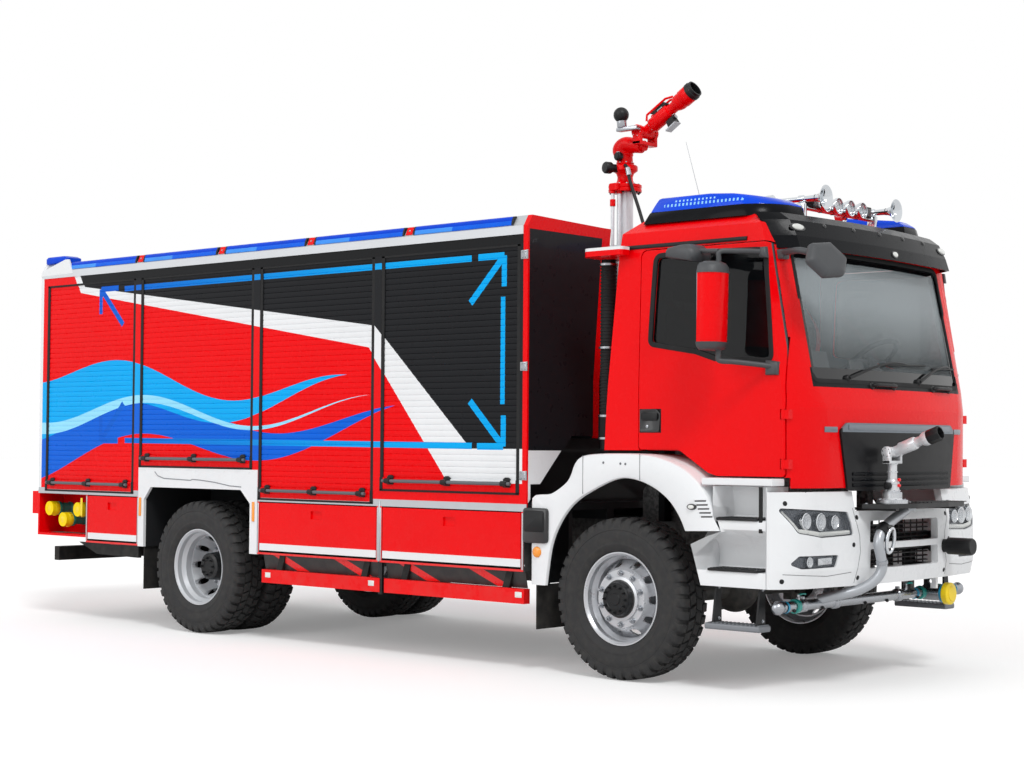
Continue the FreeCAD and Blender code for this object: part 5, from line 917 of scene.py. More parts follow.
# ------------------------------------------------------------------ helpers for fitted pieces
def tree_of(*nodes):
    """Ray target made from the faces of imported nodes."""
    points, faces = [], []
    for node in nodes:
        mesh = NODES[node].data
        start = len(points)
        points += [v.co.copy() for v in mesh.vertices]
        faces += [[start + i for i in polygon.vertices] for polygon in mesh.polygons]
    return BVHTree.FromPolygons(points, faces)


def dropped(tree, path, direction):
    """Places and normals where a path meets a surface."""
    hits = []
    for p in path:
        hit, normal, _, _ = tree.ray_cast(Vector(p), Vector(direction))
        if hit is not None:
            hits.append((hit, normal if normal.dot(Vector(direction)) < 0 else -normal))
    return hits


def laid_bar(shape, hits, half, height, mark=0, sink=0.003, loop=False):
    """Low bar with softened edges, laid along places on a surface."""
    rows = []
    n = len(hits)
    for i, (hit, normal) in enumerate(hits):
        after = hits[(i + 1) % n][0] if loop else hits[min(i + 1, n - 1)][0]
        before = hits[i - 1][0] if loop else hits[max(i - 1, 0)][0]
        side = normal.cross(after - before).normalized()
        rows.append([hit - side * half - normal * sink, hit - side * half + normal * height * 0.6,
                     hit - side * half * 0.7 + normal * height, hit + side * half * 0.7 + normal * height,
                     hit + side * half + normal * height * 0.6, hit + side * half - normal * sink])
    shape.rows(rows, mark, loop=loop)


def outline_path(points, radii, steps=6):
    """Closed outline with rounded corners, as 2-D points."""
    path = []
    n = len(points)
    for i in range(n):
        p = Vector(points[i])
        a = Vector(points[i - 1]) - p
        b = Vector(points[(i + 1) % n]) - p
        radius = radii[i] if isinstance(radii, (list, tuple)) else radii
        reach = min(radius / max(math.tan(a.angle(b) / 2), 0.05), a.length * 0.45, b.length * 0.45)
        start, end = p + a.normalized() * reach, p + b.normalized() * reach
        for k in range(steps + 1):
            t = k / steps
            path.append(start * (1 - t) ** 2 + p * 2 * t * (1 - t) + end * t * t)
    return path


def densely(path, spacing, closed=False):
    """The same path with points no further apart than the spacing."""
    line = []
    points = path + path[:1] if closed else path
    for a, b in zip(points, points[1:]):
        count = max(1, math.ceil((Vector(b) - Vector(a)).length / spacing))
        line += [Vector(a) + (Vector(b) - Vector(a)) * (k / count) for k in range(count)]
    return line if closed else line + [Vector(path[-1])]


def bolt(shape, place, axis, radius=0.007, height=0.005, mark=0, turn=0.0):
    """Hexagon bolt head on its washer."""
    place, axis = Vector(place), Vector(axis).normalized()
    shape.turned([(0, -0.002), (radius * 1.35, -0.002), (radius * 1.35, 0.0015), (0, 0.0015)], place, axis,
                 16, mark)
    side = axis.orthogonal().normalized()
    across = axis.cross(side)
    rows = [[place + axis * at + (side * math.cos(turn + math.pi * k / 3)
                                  + across * math.sin(turn + math.pi * k / 3)) * radius * grow
             for k in range(6)] for grow, at in ((1.0, 0.001), (1.0, height), (0.85, height + 0.001))]
    shape.rows(rows, mark)


def rounded_box(shape, low, high, axis, radius, mark=0, steps=5):
    """Box with rounded edges along one axis, 0 for X, 1 for Y, 2 for Z."""
    a, b = [i for i in range(3) if i != axis]
    outline = outline_path([(low[a], low[b]), (high[a], low[b]), (high[a], high[b]), (low[a], high[b])],
                           radius, steps)
    rows = []
    inset = min(radius * 0.35, 0.006)
    middle = Vector(((low[a] + high[a]) / 2, (low[b] + high[b]) / 2))
    half = Vector(((high[a] - low[a]) / 2, (high[b] - low[b]) / 2))
    for at, trim in ((low[axis], inset), (low[axis] + inset, 0), (high[axis] - inset, 0),
                     (high[axis], inset)):
        row = []
        for p in outline:
            q = Vector((middle.x + (p.x - middle.x) * (1 - trim / half.x),
                        middle.y + (p.y - middle.y) * (1 - trim / half.y)))
            point = [0, 0, 0]
            point[a], point[b], point[axis] = q.x, q.y, at
            row.append(Vector(point))
        rows.append(row)
    shape.rows(rows, mark)


# ------------------------------------------------------------------ lights
BLUE_LENS = surface("blue_lens", BLUE, lambda g: [
    (g.both(g.above(g.math("SINE", g.math("MULTIPLY", g.x, 210.0)), 0.15), g.within(g.z, 3.040, 3.058),
            g.above(g.size(g.y), 0.985), g.above(g.x, fx(0.22))), (rgb(150, 214, 255), 0.1, 0.0)),
    (g.both(g.above(g.math("SINE", g.math("MULTIPLY", g.x, 210.0)), 0.35), g.within(g.z, 3.068, 3.080),
            g.above(g.size(g.y), 0.95), g.within(g.x, fx(0.30), fx(0.62))),
     (rgb(170, 224, 255), 0.1, 0.0))],
    coat=0.08, mottle=0.15, mottle_scale=5, specular=0.12)
TUBE_LENS = surface("tube_lens", (rgb(0, 70, 214), 0.30, 0.0), coat=0.05, mottle=0.18, mottle_scale=4,
                    specular=0.08)
CLEAR_LENS = surface("clear_lens", (rgb(6, 96, 226), 0.28, 0.0), lambda g: [
    (g.below(g.math("FRACT", g.math("MULTIPLY_ADD", g.x, 1 / 1.0374, -0.42)), 0.45),
     (rgb(66, 146, 238), 0.24, 0.0))],
    coat=0.05, mottle=0.12, mottle_scale=9, specular=0.08)
LAMP_GLASS = glass("lamp_glass", rgb(206, 212, 218), alpha=0.18)
SMOKED = glass("smoked_glass", rgb(128, 134, 142), alpha=0.12)
REFLECTOR = surface("reflector", (rgb(226, 229, 232), 0.10, 1.0), mottle=0.12, mottle_scale=30)
PEARL = surface("pale_lens", (rgb(222, 224, 220), 0.18, 0.0), coat=0.8, grain=0.2, grain_scale=420)
RED_LENS = surface("red_lens", (rgb(196, 14, 12), 0.14, 0.0), coat=0.9, grain=0.4, grain_scale=420)


def make_roof_lights():
    lens, ends = Shape(), Shape()
    start, end, gap, count = fx(-0.861), BODY_REAR + 0.402, 0.090, 5
    step = (start - end + gap) / count
    low, high = Vector((0, -1.246, 2.984)), Vector((0, -1.209, 3.044))
    up = (high - low).normalized()
    out = Vector((0, -0.8512, 0.5249))
    section = [(0.000, 0.000), (0.000, 0.006), (0.026, 0.0150), (0.030, 0.0135), (0.034, 0.0165),
               (0.044, 0.0200), (0.056, 0.0195), (0.066, 0.0140), (0.0705, 0.004), (0.0705, 0.0)]

    def place(x, at, lift):
        return Vector((x, 0, 0)) + low + up * at + out * lift

    for i in range(count):
        x1 = start - i * step
        x0 = x1 - step + gap
        for part, mark in ((section[:4], 1), (section[3:], 0)):
            loop = part + [(part[-1][0], 0.0), (part[0][0], 0.0)]
            lens.rows([[place(x, at, lift) for at, lift in loop] for x in (x0 + 0.012, x1 - 0.012)], mark)
        for a, b in ((x0, x0 + 0.016), (x1 - 0.016, x1)):
            rim = [(0.0, 0.0), (0.0, 0.0085), (0.028, 0.0175), (0.044, 0.0200), (0.060, 0.0200),
                   (0.0705, 0.0080), (0.0705, 0.0)]
            ends.rows([[place(x, at, lift) for at, lift in rim] for x in (a, b)], 0)
        if i:
            ends.rows([[place(x, at, lift) for at, lift in ((0.004, 0.0), (0.004, 0.005), (0.064, 0.014),
                                                            (0.064, 0.0))]
                       for x in (x1 + 0.014, x1 + gap - 0.014)], 1)
            bolt(ends, place(x1 + gap / 2, 0.034, 0.0098), out, 0.006, 0.004, 2)
    lens.both_sides()
    ends.both_sides()
    corner = Shape()
    for trim, z in ((0.004, 3.0500), (0.0, 3.056), (0.0, 3.094), (0.010, 3.110), (0.030, 3.112)):
        path = outline_path([(BODY_REAR - 0.005 + trim, -1.230 + trim),
                             (BODY_REAR + 0.345 - trim * 4, -1.230 + trim),
                             (BODY_REAR + 0.345 - trim * 4, -1.070 - trim),
                             (BODY_REAR - 0.005 + trim, -1.060 - trim)],
                            [0.07, 0.04, 0.04, 0.04])
        corner.points += [Vector((p.x, p.y, z)) for p in path]
    n = len(corner.points) // 5
    rows = [corner.points[i * n:(i + 1) * n] for i in range(5)]
    corner = Shape()
    corner.rows(rows, 0)
    corner.both_sides()
    piece("roof_working_lights", lens, "truck", [TUBE_LENS, CLEAR_LENS], ["roof_light_strips"],
          sharp=50)
    piece("roof_light_ends", ends, "truck", [PLASTIC, RED_PAINT, STEEL_MAT], bevel=0.0012)
    piece("rear_corner_beacons", corner, "truck", [TUBE_LENS], sharp=50)


def light_bar_outline(grow, x0, x1, z, front_drop=0.0):
    """Plan of a beacon unit on the right half of the roof; the front end narrows."""
    side, inner = -1.010 - grow / 2, -0.640 + grow / 2
    points = []
    arc = [(x1 + grow - 0.200, side), (x1 + grow - 0.050, -0.930 - grow * 0.3), (x1 + grow, -0.780)]
    points += [(x0 - grow + 0.004, side), (x0 - grow + 0.30, side), ((x0 + x1) / 2, side)]
    for k in range(9):
        t = k / 8
        points.append(tuple((1 - t) ** 2 * a + 2 * t * (1 - t) * b + t * t * c for a, b, c in
                            zip(arc[0], (arc[1][0] + 0.012, arc[1][1] - 0.02), arc[2])))
    points += [(x1 + grow, inner), ((x0 + x1) / 2, inner), (x0 - grow + 0.30, inner), (x0 - grow, inner),
               (x0 - grow, side + 0.004)]
    span = x1 - x0
    return [Vector((px, py, z - front_drop * max(0.0, (px - x0 - span * 0.55) / (span * 0.45)) ** 1.3))
            for px, py in points]


def make_cab_lights():
    plinth, lens, horns, lamps = Shape(), Shape(), Shape(), Shape()
    plinth.rows([light_bar_outline(0.038, fx(0.110), fx(1.010), 2.938),
                 light_bar_outline(0.030, fx(0.110), fx(1.014), 2.958),
                 light_bar_outline(0.002, fx(0.110), fx(1.028), 3.008),
                 light_bar_outline(-0.006, fx(0.110), fx(1.028), 3.0146)])
    lens.rows([light_bar_outline(-0.006, fx(0.110), fx(1.030), 3.0146),
               light_bar_outline(-0.008, fx(0.111), fx(1.029), 3.022),
               light_bar_outline(-0.030, fx(0.118), fx(1.020), 3.070, 0.034),
               light_bar_outline(-0.046, fx(0.122), fx(1.012), 3.098, 0.052),
               light_bar_outline(-0.060, fx(0.126), fx(1.004), 3.1045, 0.054),
               light_bar_outline(-0.120, fx(0.140), fx(0.980), 3.1050, 0.054)])
    plinth.both_sides()
    lens.both_sides()
    for side in (-1, 1):
        y = side * 0.440
        axis = (1, 0, 0)
        horns.turned([(0.0, 0.0), (0.030, 0.0), (0.043, 0.006), (0.045, 0.020), (0.045, 0.056),
                      (0.040, 0.066), (0.030, 0.074), (0.018, 0.080), (0.0165, 0.12), (0.0175, 0.26),
                      (0.0210, 0.37), (0.0245, 0.40), (0.0330, 0.425), (0.0470, 0.444), (0.0640, 0.457),
                      (0.0760, 0.4625), (0.0780, 0.4650), (0.0760, 0.4648), (0.0620, 0.4590),
                      (0.0450, 0.4480), (0.0310, 0.4300), (0.0220, 0.405)],
                     (fx(0.620), y, 3.096), axis, 40, 0)
        horns.turned([(0.0, 0.386), (0.024, 0.386), (0.022, 0.404), (0.0, 0.404)], (fx(0.620), y, 3.096),
                     axis, 24, 1)
        for x0, x1 in ((0.640, 0.690), (0.870, 0.930)):
            rounded_box(horns, (fx(x0), y - 0.018, 2.965), (fx(x1), y + 0.018, 3.072), 1, 0.006, 0)
            horns.turned([(0.026, -0.016), (0.026, 0.016)] if x0 > 0.8
                         else [(0.0465, -0.016), (0.0465, 0.016)], (fx((x0 + x1) / 2), y, 3.096), axis, 32,
                         0)
            bolt(horns, (fx((x0 + x1) / 2), y - side * 0.0185, 3.02), (0, -side, 0), 0.007, 0.005, 0)
    horns.pipe([(fx(0.900), -0.468, 3.050), (fx(0.900), 0.468, 3.050)], 0.019, 20, 0)
    for y in (-0.225, -0.075, 0.075, 0.225):
        centre = (fx(0.890), y, 3.085)
        lamps.turned([(0.0, 0.0), (0.018, 0.001), (0.036, 0.010), (0.047, 0.026), (0.051, 0.044),
                      (0.055, 0.050), (0.055, 0.066), (0.052, 0.070), (0.049, 0.068), (0.049, 0.050)],
                     centre, (1, 0, 0), 36, 0)
        lamps.turned([(0.049, 0.056), (0.040, 0.036), (0.022, 0.022), (0.0, 0.018)], centre, (1, 0, 0), 36,
                     3, caps=False)
        lamps.turned([(0.0, 0.018), (0.010, 0.020), (0.010, 0.046), (0.0, 0.050)], centre, (1, 0, 0), 20, 0)
        lamps.turned([(0.0, 0.064), (0.030, 0.0625), (0.0495, 0.058), (0.0495, 0.0565), (0.0, 0.0565)],
                     centre, (1, 0, 0), 36, 2)
        rounded_box(lamps, (fx(0.892), y - 0.012, 3.030), (fx(0.912), y + 0.012, 3.050), 0, 0.004, 1)
    for y in (-0.330, 0.330):
        rounded_box(lamps, (fx(0.868), y - 0.034, 3.046), (fx(0.940), y + 0.034, 3.122), 1, 0.010, 1)
        rounded_box(lamps, (fx(0.938), y - 0.026, 3.060), (fx(0.947), y + 0.026, 3.108), 0, 0.006, 2)
    piece("beacon_plinths", plinth, "truck", [GLOSS], ["cab_roof_signals"], sharp=40)
    piece("beacon_lenses", lens, "truck", [BLUE_LENS], sharp=48)
    piece("air_horns", horns, "truck", [CHROME_MAT, PLASTIC], sharp=50)
    piece("roof_lamps", lamps, "truck", [CHROME_MAT, PLASTIC, LAMP_GLASS, REFLECTOR], sharp=50)


def lamp_skin(tree, y, z, sink):
    """Place on the bumper's front skin, set back by sink."""
    hit = tree.ray_cast(Vector((fx(1.70), y, z)), Vector((-1, 0, 0)))[0]
    return (hit if hit is not None else Vector((fx(1.30), y, z))) + Vector((-sink, 0, 0))


def lamp_rows(outline, centre, tree, layers):
    rows = []
    for grow, sink in layers:
        row = []
        for p in outline:
            q = Vector(centre) + (Vector(p) - Vector(centre)) * grow
            row.append(lamp_skin(tree, q.x, q.y, sink))
        rows.append(row)
    return rows


def make_road_lamps():
    """Headlamps, their covers and the tail lamps."""
    tree = tree_of("road_lamps", "front_bumper")
    lamps, cover = Shape(), Shape()
    head = outline_path([(-1.203, 1.136), (-0.642, 1.106), (-0.602, 0.967), (-0.905, 0.957),
                         (-1.098, 0.987)],
                        [0.015, 0.015, 0.012, 0.06, 0.04])
    fog = outline_path([(-1.147, 0.800), (-1.095, 0.847), (-0.747, 0.845), (-0.777, 0.777),
                        (-1.080, 0.774)],
                       [0.012, 0.02, 0.012, 0.02, 0.03])
    for outline, centre, depth in ((head, (-0.90, 1.045), 0.034), (fog, (-0.94, 0.812), 0.022)):
        outline = densely(outline, 0.03, True)
        lamps.rows(lamp_rows(outline, centre, tree, ((1.0, depth + 0.004), (1.0, 0.002), (0.985, 0.0),
                                                     (0.955, 0.002), (0.935, depth * 0.8))), 0)
        cover.rows(lamp_rows(outline, centre, tree, ((0.957, 0.0045), (0.957, 0.003), (0.93, 0.0018),
                                                     (0.5, 0.0010))), 0)
    for y, z, r in ((-1.020, 1.056, 0.047), (-0.885, 1.050, 0.050), (-0.755, 1.046, 0.040)):
        front = lamp_skin(tree, y, z, 0.010)
        lamps.turned([(r * 1.10, -0.020), (r * 1.10, 0.0), (r, 0.003), (r * 0.94, 0.0), (r * 0.7, -0.012),
                      (r * 0.3, -0.018), (0.0, -0.019)], front, (1, 0, 0), 40, 1)
        lamps.turned([(0.0, -0.02), (r * 0.42, -0.012), (r * 0.50, -0.004), (r * 0.30, 0.002),
                      (0.0, 0.004)], front, (1, 0, 0),
                     32, 2)
    strip = [Vector((y, z)) for y, z in ((-1.172, 1.112), (-1.085, 0.998), (-0.905, 0.974),
                                         (-0.622, 0.981))]
    hits = [(lamp_skin(tree, p.x, p.y, 0.014), Vector((1, 0, 0))) for p in densely(strip, 0.03)]
    laid_bar(lamps, hits, 0.0150, 0.008, 3)
    front = lamp_skin(tree, -1.000, 0.811, 0.008)
    lamps.turned([(0.034, -0.012), (0.034, 0.0), (0.030, 0.001), (0.018, -0.006), (0.0, -0.008)], front,
                 (1, 0, 0), 32, 1)
    hits = [(lamp_skin(tree, y, 0.812 + (y + 0.86) * 0.03, 0.010), Vector((1, 0, 0)))
            for y in (-0.93, -0.87, -0.80)]
    laid_bar(lamps, hits, 0.020, 0.006, 1)
    lamps.both_sides()
    cover.both_sides()
    rear = Shape()
    for y0, y1, mark in ((-1.150, -1.075, 5), (-1.075, -0.955, 4), (-0.955, -0.890, 6),
                         (-0.890, -0.830, 4)):
        rounded_box(rear, (BODY_REAR - 0.1175, y0 + 0.003, 0.930), (BODY_REAR - 0.102, y1 - 0.003, 1.030),
                    0, 0.010, mark)
    rounded_box(rear, (BODY_REAR - 0.108, -1.150, 0.925), (BODY_REAR - 0.100, -0.830, 1.035), 0, 0.012, 0)
    rear.both_sides()
    dark = surface("lamp_bezel", (rgb(84, 88, 94), 0.25, 0.6), coat=0.2, grain=0.05)
    piece("road_lamp_bodies", lamps, "truck", [dark, REFLECTOR, LAMP_GLASS, PEARL],
          ["road_lamps"], sharp=40)
    piece("road_lamp_covers", cover, "truck", [SMOKED], sharp=60)
    piece("tail_lamps", rear, "truck",
          [dark, REFLECTOR, LAMP_GLASS, PEARL, RED_LENS, AMBER_MAT, PEARL], bevel=0.001)


# ------------------------------------------------------------------ cab fittings
def mirror_plan(front, rear, y0, y1, z, bulge, steps=10):
    """Plan section of a mirror housing: flat glass at the back, a full curve in front."""
    points = []
    for k in range(steps + 1):
        t = k / steps
        y = y0 + (y1 - y0) * t
        round_off = 1 - abs(2 * t - 1) ** 3.2
        points.append(Vector((front - bulge * (1 - round_off), y, z)))
    return points + [Vector((rear, y1 - 0.004, z)), Vector((rear - 0.004, y1 - 0.014, z)),
                     Vector((rear - 0.004, y0 + 0.014, z)), Vector((rear, y0 + 0.004, z))]


def add_main_mirror(shape):
    """Marks 0 red housing, 1 dark plastic, 2 mirror glass."""
    rows = []
    for z, lean, trim in ((2.126, 0.000, 0.0), (2.130, 0.001, 0.0), (2.28, 0.006, 0.0), (2.40, 0.010, 0.0),
                          (2.52, 0.012, 0.0), (2.556, 0.014, 0.0), (2.560, 0.014, 0.0)):
        rows.append(mirror_plan(fx(0.926) + lean, fx(0.812) + lean * 0.5, -1.470 + trim, -1.238 - trim, z,
                                0.080))
    shape.rows(rows, 0)
    for heights in (((2.084, 0.040), (2.092, 0.016), (2.106, 0.005), (2.130, 0.0), (2.134, -0.001)),
                    ((2.552, -0.001), (2.560, 0.0), (2.592, 0.006), (2.612, 0.018), (2.624, 0.045))):
        rows = []
        for z, trim in heights:
            lean = 0.014 * (z - 2.08) / 0.48
            rows.append(mirror_plan(fx(0.928) + lean - trim, fx(0.808) + lean * 0.5 + trim * 0.4,
                                    -1.473 + trim, -1.235 - trim, z, 0.078))
        shape.rows(rows, 1)
    shape.rows([[Vector((fx(0.808 - d), y, z)) for y,
                 z in ((-1.452 + i, 2.118 + i), (-1.256 - i, 2.118 + i),
                                                             (-1.256 - i, 2.566 - i),
                                                            (-1.452 + i, 2.566 - i))]
                for d, i in ((0.0, 0.0), (0.0035, 0.0), (0.0035, 0.004))], 2)
    upper = curve_through([(fx(1.062), -1.094, 2.690), (fx(1.020), -1.150, 2.693),
                           (fx(0.955), -1.240, 2.692), (fx(0.885), -1.322, 2.686),
                           (fx(0.880), -1.330, 2.640), (fx(0.880), -1.330, 2.600)])
    lower = curve_through([(fx(1.135), -1.128, 1.990), (fx(1.075), -1.180, 2.000),
                           (fx(0.960), -1.275, 2.016), (fx(0.886), -1.326, 2.024),
                           (fx(0.880), -1.330, 2.060), (fx(0.880), -1.330, 2.100)])
    shape.pipe(upper, 0.0165, 18, 1)
    shape.pipe(lower, [0.017] * len(lower), 18, 1)
    foot = [[Vector((fx(x), -1.110 - 0.036 * out, z)) for x, z in
             ((1.085 + g, 1.937 + g), (1.176 - g, 1.937 + g), (1.178 - g, 2.018 - g), (1.130, 2.026 - g),
              (1.087 + g, 2.030 - g))]
            for out, g in ((0.0, 0.0), (0.55, 0.001), (0.85, 0.007), (1.0, 0.018))]
    shape.rows(foot, 1)
    cap = [[Vector((fx(x), -1.100 - 0.036 * out, z)) for x, z in
            ((1.032 + g, 2.657 + g), (1.090 - g, 2.653 + g), (1.081 - g, 2.722 - g),
             (1.041 + g, 2.722 - g))]
           for out, g in ((0.0, 0.0), (0.6, 0.001), (0.9, 0.006), (1.0, 0.014))]
    shape.rows(cap, 1)


def add_kerb_mirror(shape):
    """Kerb mirror: a low shell with a sloped front, marks as for the main mirror."""
    def section(y, shrink):
        outline = [(0.524, 2.667), (0.560, 2.657), (0.741, 2.628), (0.757, 2.660), (0.756, 2.698),
                   (0.702, 2.741), (0.640, 2.739), (0.548, 2.727), (0.527, 2.705)]
        cx, cz = 0.640, 2.688
        return [Vector((fx(cx + (x - cx) * shrink), y, cz + (z - cz) * shrink)) for x, z in outline]
    shape.rows([section(y, s) for y, s in ((-1.428, 0.62), (-1.420, 0.82), (-1.398, 0.95), (-1.360, 1.0),
                                           (-1.270, 1.0),
                                          (-1.232, 0.95), (-1.210, 0.82), (-1.202, 0.62))], 1)
    shape.rows([[Vector((fx(x), y, z)) for y in (-1.385, -1.245)] for x,
                z in ((0.552, 2.6565), (0.735, 2.6275))],
               2, ring=False, caps=False)
    shape.pipe(curve_through([(fx(0.880), -1.330, 2.690), (fx(0.80), -1.330, 2.695),
                              (fx(0.700), -1.330, 2.700)]), 0.0145,
               16, 1)


def make_mirrors():
    """Housings and glasses of the side mirrors, and the front mirror on its arm."""
    glass_mat = surface("mirror_glass", (rgb(168, 178, 186), 0.04, 1.0), mottle=0.08)
    grey = surface("mirror_plastic", (rgb(64, 66, 69), 0.46, 0.0), grain=0.25, grain_scale=420, mottle=0.10)
    for side in ("right", "left"):
        shape = Shape()
        add_main_mirror(shape)
        if side == "right":
            add_kerb_mirror(shape)
        if side == "left":
            shape = shape.mirrored()
        piece("mirror_fittings_" + side, shape, "door_" + side,
              [RED_PAINT, grey, glass_mat], ["mirror_" + side], sharp=50)
    shape = Shape()
    centre = Vector((fx(1.440), -1.040, 2.612))
    tilt = Matrix.Rotation(math.radians(-14), 3, "Z") @ Matrix.Rotation(math.radians(-22), 3, "Y")
    rows = []
    for depth, grow in ((0.0, 0.86), (0.004, 0.985), (0.020, 1.0), (0.040, 0.97), (0.052, 0.86),
                        (0.0548, 0.60)):
        outline = outline_path([(0.168 * math.cos(math.radians(60 * i + 8)),
                                 0.128 * math.sin(math.radians(60 * i + 8)))
                                for i in range(6)], 0.028, 4)
        rows.append([centre + tilt @ Vector((depth, p.x * grow, p.y * grow)) for p in outline])
    shape.rows(rows, 0)
    shape.rows([[centre + tilt @ Vector((-0.0015 * k, p.x * 0.84, p.y * 0.84)) for p in outline]
                for k in (0, 1)], 1)
    arm = curve_through([(fx(1.118), -1.000, 2.690), (fx(1.200), -1.040, 2.690), (fx(1.300), -1.083, 2.686),
                         (fx(1.375), -1.072, 2.666), (fx(1.450), -1.050, 2.640)])
    shape.pipe(arm, 0.0205, 18, 0)
    rounded_box(shape, (fx(1.062), -1.029, 2.651), (fx(1.149), -0.962, 2.711), 0, 0.010, 0)
    piece("front_mirror_fittings", shape, "truck", [grey, glass_mat], ["front_mirror"],
          sharp=45)


WINDOW = [(0.206, 2.160), (0.560, 2.108), (0.700, 2.062), (1.112, 2.034), (1.050, 2.700), (0.238, 2.712)]
WINDOW_RADII = [0.040, 0.060, 0.060, 0.040, 0.060, 0.050]


def make_window_seals():
    """Black seals round the door glass."""
    for side, sign in (("right", -1), ("left", 1)):
        door_tree = tree_of("door_" + side)
        shape = Shape()
        path = densely(outline_path([(fx(x), z) for x, z in WINDOW], WINDOW_RADII), 0.05, True)
        middle = Vector((fx(0.66), 2.38))
        hits = []
        for p in path:
            outward = (p - middle).normalized() * 0.013
            hits += dropped(door_tree, [(p.x + outward.x, sign * 1.6, p.y + outward.y)], (0, -sign, 0))
        laid_bar(shape, hits, 0.016, 0.0035, 0, sink=0.012, loop=True)
        piece("window_seal_" + side, shape, "door_" + side, [RUBBER_MAT], sharp=60)


def first_hit(tree, x, z, reach=0.12, step=0.001, floor=-0.975):
    """First place, going forward from x, where the cab's skin shows, past the door opening's floor."""
    for k in range(int(reach / step)):
        hit = tree.ray_cast(Vector((x + k * step, -2.0, z)), Vector((0, 1, 0)))[0]
        if hit is not None and abs(hit.y - floor) > 0.0006:
            return hit
    return None


def make_pillar_skins():
    """Painted skin of the windscreen pillars, between the doors' front edges and the corners."""
    shell, leaf, skin = tree_of("cab_shell"), tree_of("door_right"), Shape()
    rows, gap, thick = [], 0.005, 0.022
    for k in range(24):
        z = 2.085 + k * 0.0285
        x = fx(1.240)
        while leaf.ray_cast(Vector((x, -2.0, z)), Vector((0, 1, 0)))[0] is None:
            x -= 0.001
        edge = leaf.ray_cast(Vector((x, -2.0, z)), Vector((0, 1, 0)))[0]
        corner = first_hit(shell, x + gap, z)
        if corner is None or corner.x - x < 0.008:
            continue
        middle = (edge + corner) / 2 + Vector((0, -0.0008, 0))
        rows.append([Vector((x + gap, edge.y + 0.0005, z)), middle, corner + Vector((0.002, 0.0002, 0)),
                     corner + Vector((0.002, thick, 0)), Vector((x + gap, edge.y + thick, z))])
    skin.rows(rows, 0)
    skin.both_sides()
    piece("pillar_skins", skin, "truck", [RED_PAINT], sharp=40)


def make_cab_strips():
    """Drip strips over the doors, and the door handles in their recesses."""
    shell = tree_of("cab_shell", "door_right", "door_left")
    strips = Shape()
    path = [(fx(x), -1.6, 2.785) for x in [-0.075 + 0.05 * i for i in range(21)]]
    hits = dropped(shell, path, (0, 1, 0))
    laid_bar(strips, hits, 0.0125, 0.009, 0)
    strips.both_sides()
    piece("drip_strips", strips, "truck", [PLASTIC], sharp=50)
    for side, sign in (("right", -1), ("left", 1)):
        shape = Shape()
        x0, x1, z0, z1 = fx(0.124), fx(0.288), 1.592, 1.736
        outline = outline_path([(x0, z0), (x1 - 0.01, z0), (x1, z1 - 0.03), (x1 - 0.03, z1), (x0, z1)],
                               0.018, 4)
        rows = []
        for grow, out in ((1.0, -0.006), (1.0, 0.003), (0.97, 0.0045), (0.90, 0.0035), (0.86, -0.001)):
            centre = Vector(((x0 + x1) / 2, (z0 + z1) / 2))
            rows.append([Vector((centre.x + (p.x - centre.x) * grow, sign * (1.1205 + out),
                                 centre.y + (p.y - centre.y) * grow))
                         for p in outline])
        shape.rows(rows, 0)
        low, high = 1.665, 1.712
        rows = []
        for trim, lift in ((0.0, 0.0), (0.0, 0.006), (0.006, 0.0085)):
            rows.append([Vector((p.x, sign * (1.1205 + lift), p.y)) for p in
                         outline_path([(x0 + 0.018 + trim, low + trim), (x1 - 0.026 - trim, low + trim),
                                       (x1 - 0.022 - trim, high - trim), (x0 + 0.018 + trim, high - trim)],
                                      0.010, 3)])
        shape.rows(rows, 1)
        shape.turned([(0, 0), (0.011, 0), (0.011, 0.004), (0.008, 0.006), (0, 0.006)],
                     (x0 + 0.06, sign * 1.1215, 1.628), (0, sign, 0), 20, 2)
        piece("door_handle_" + side, shape, "door_" + side,
              [BLACK_TRIM, PLASTIC, STEEL_MAT], sharp=50)


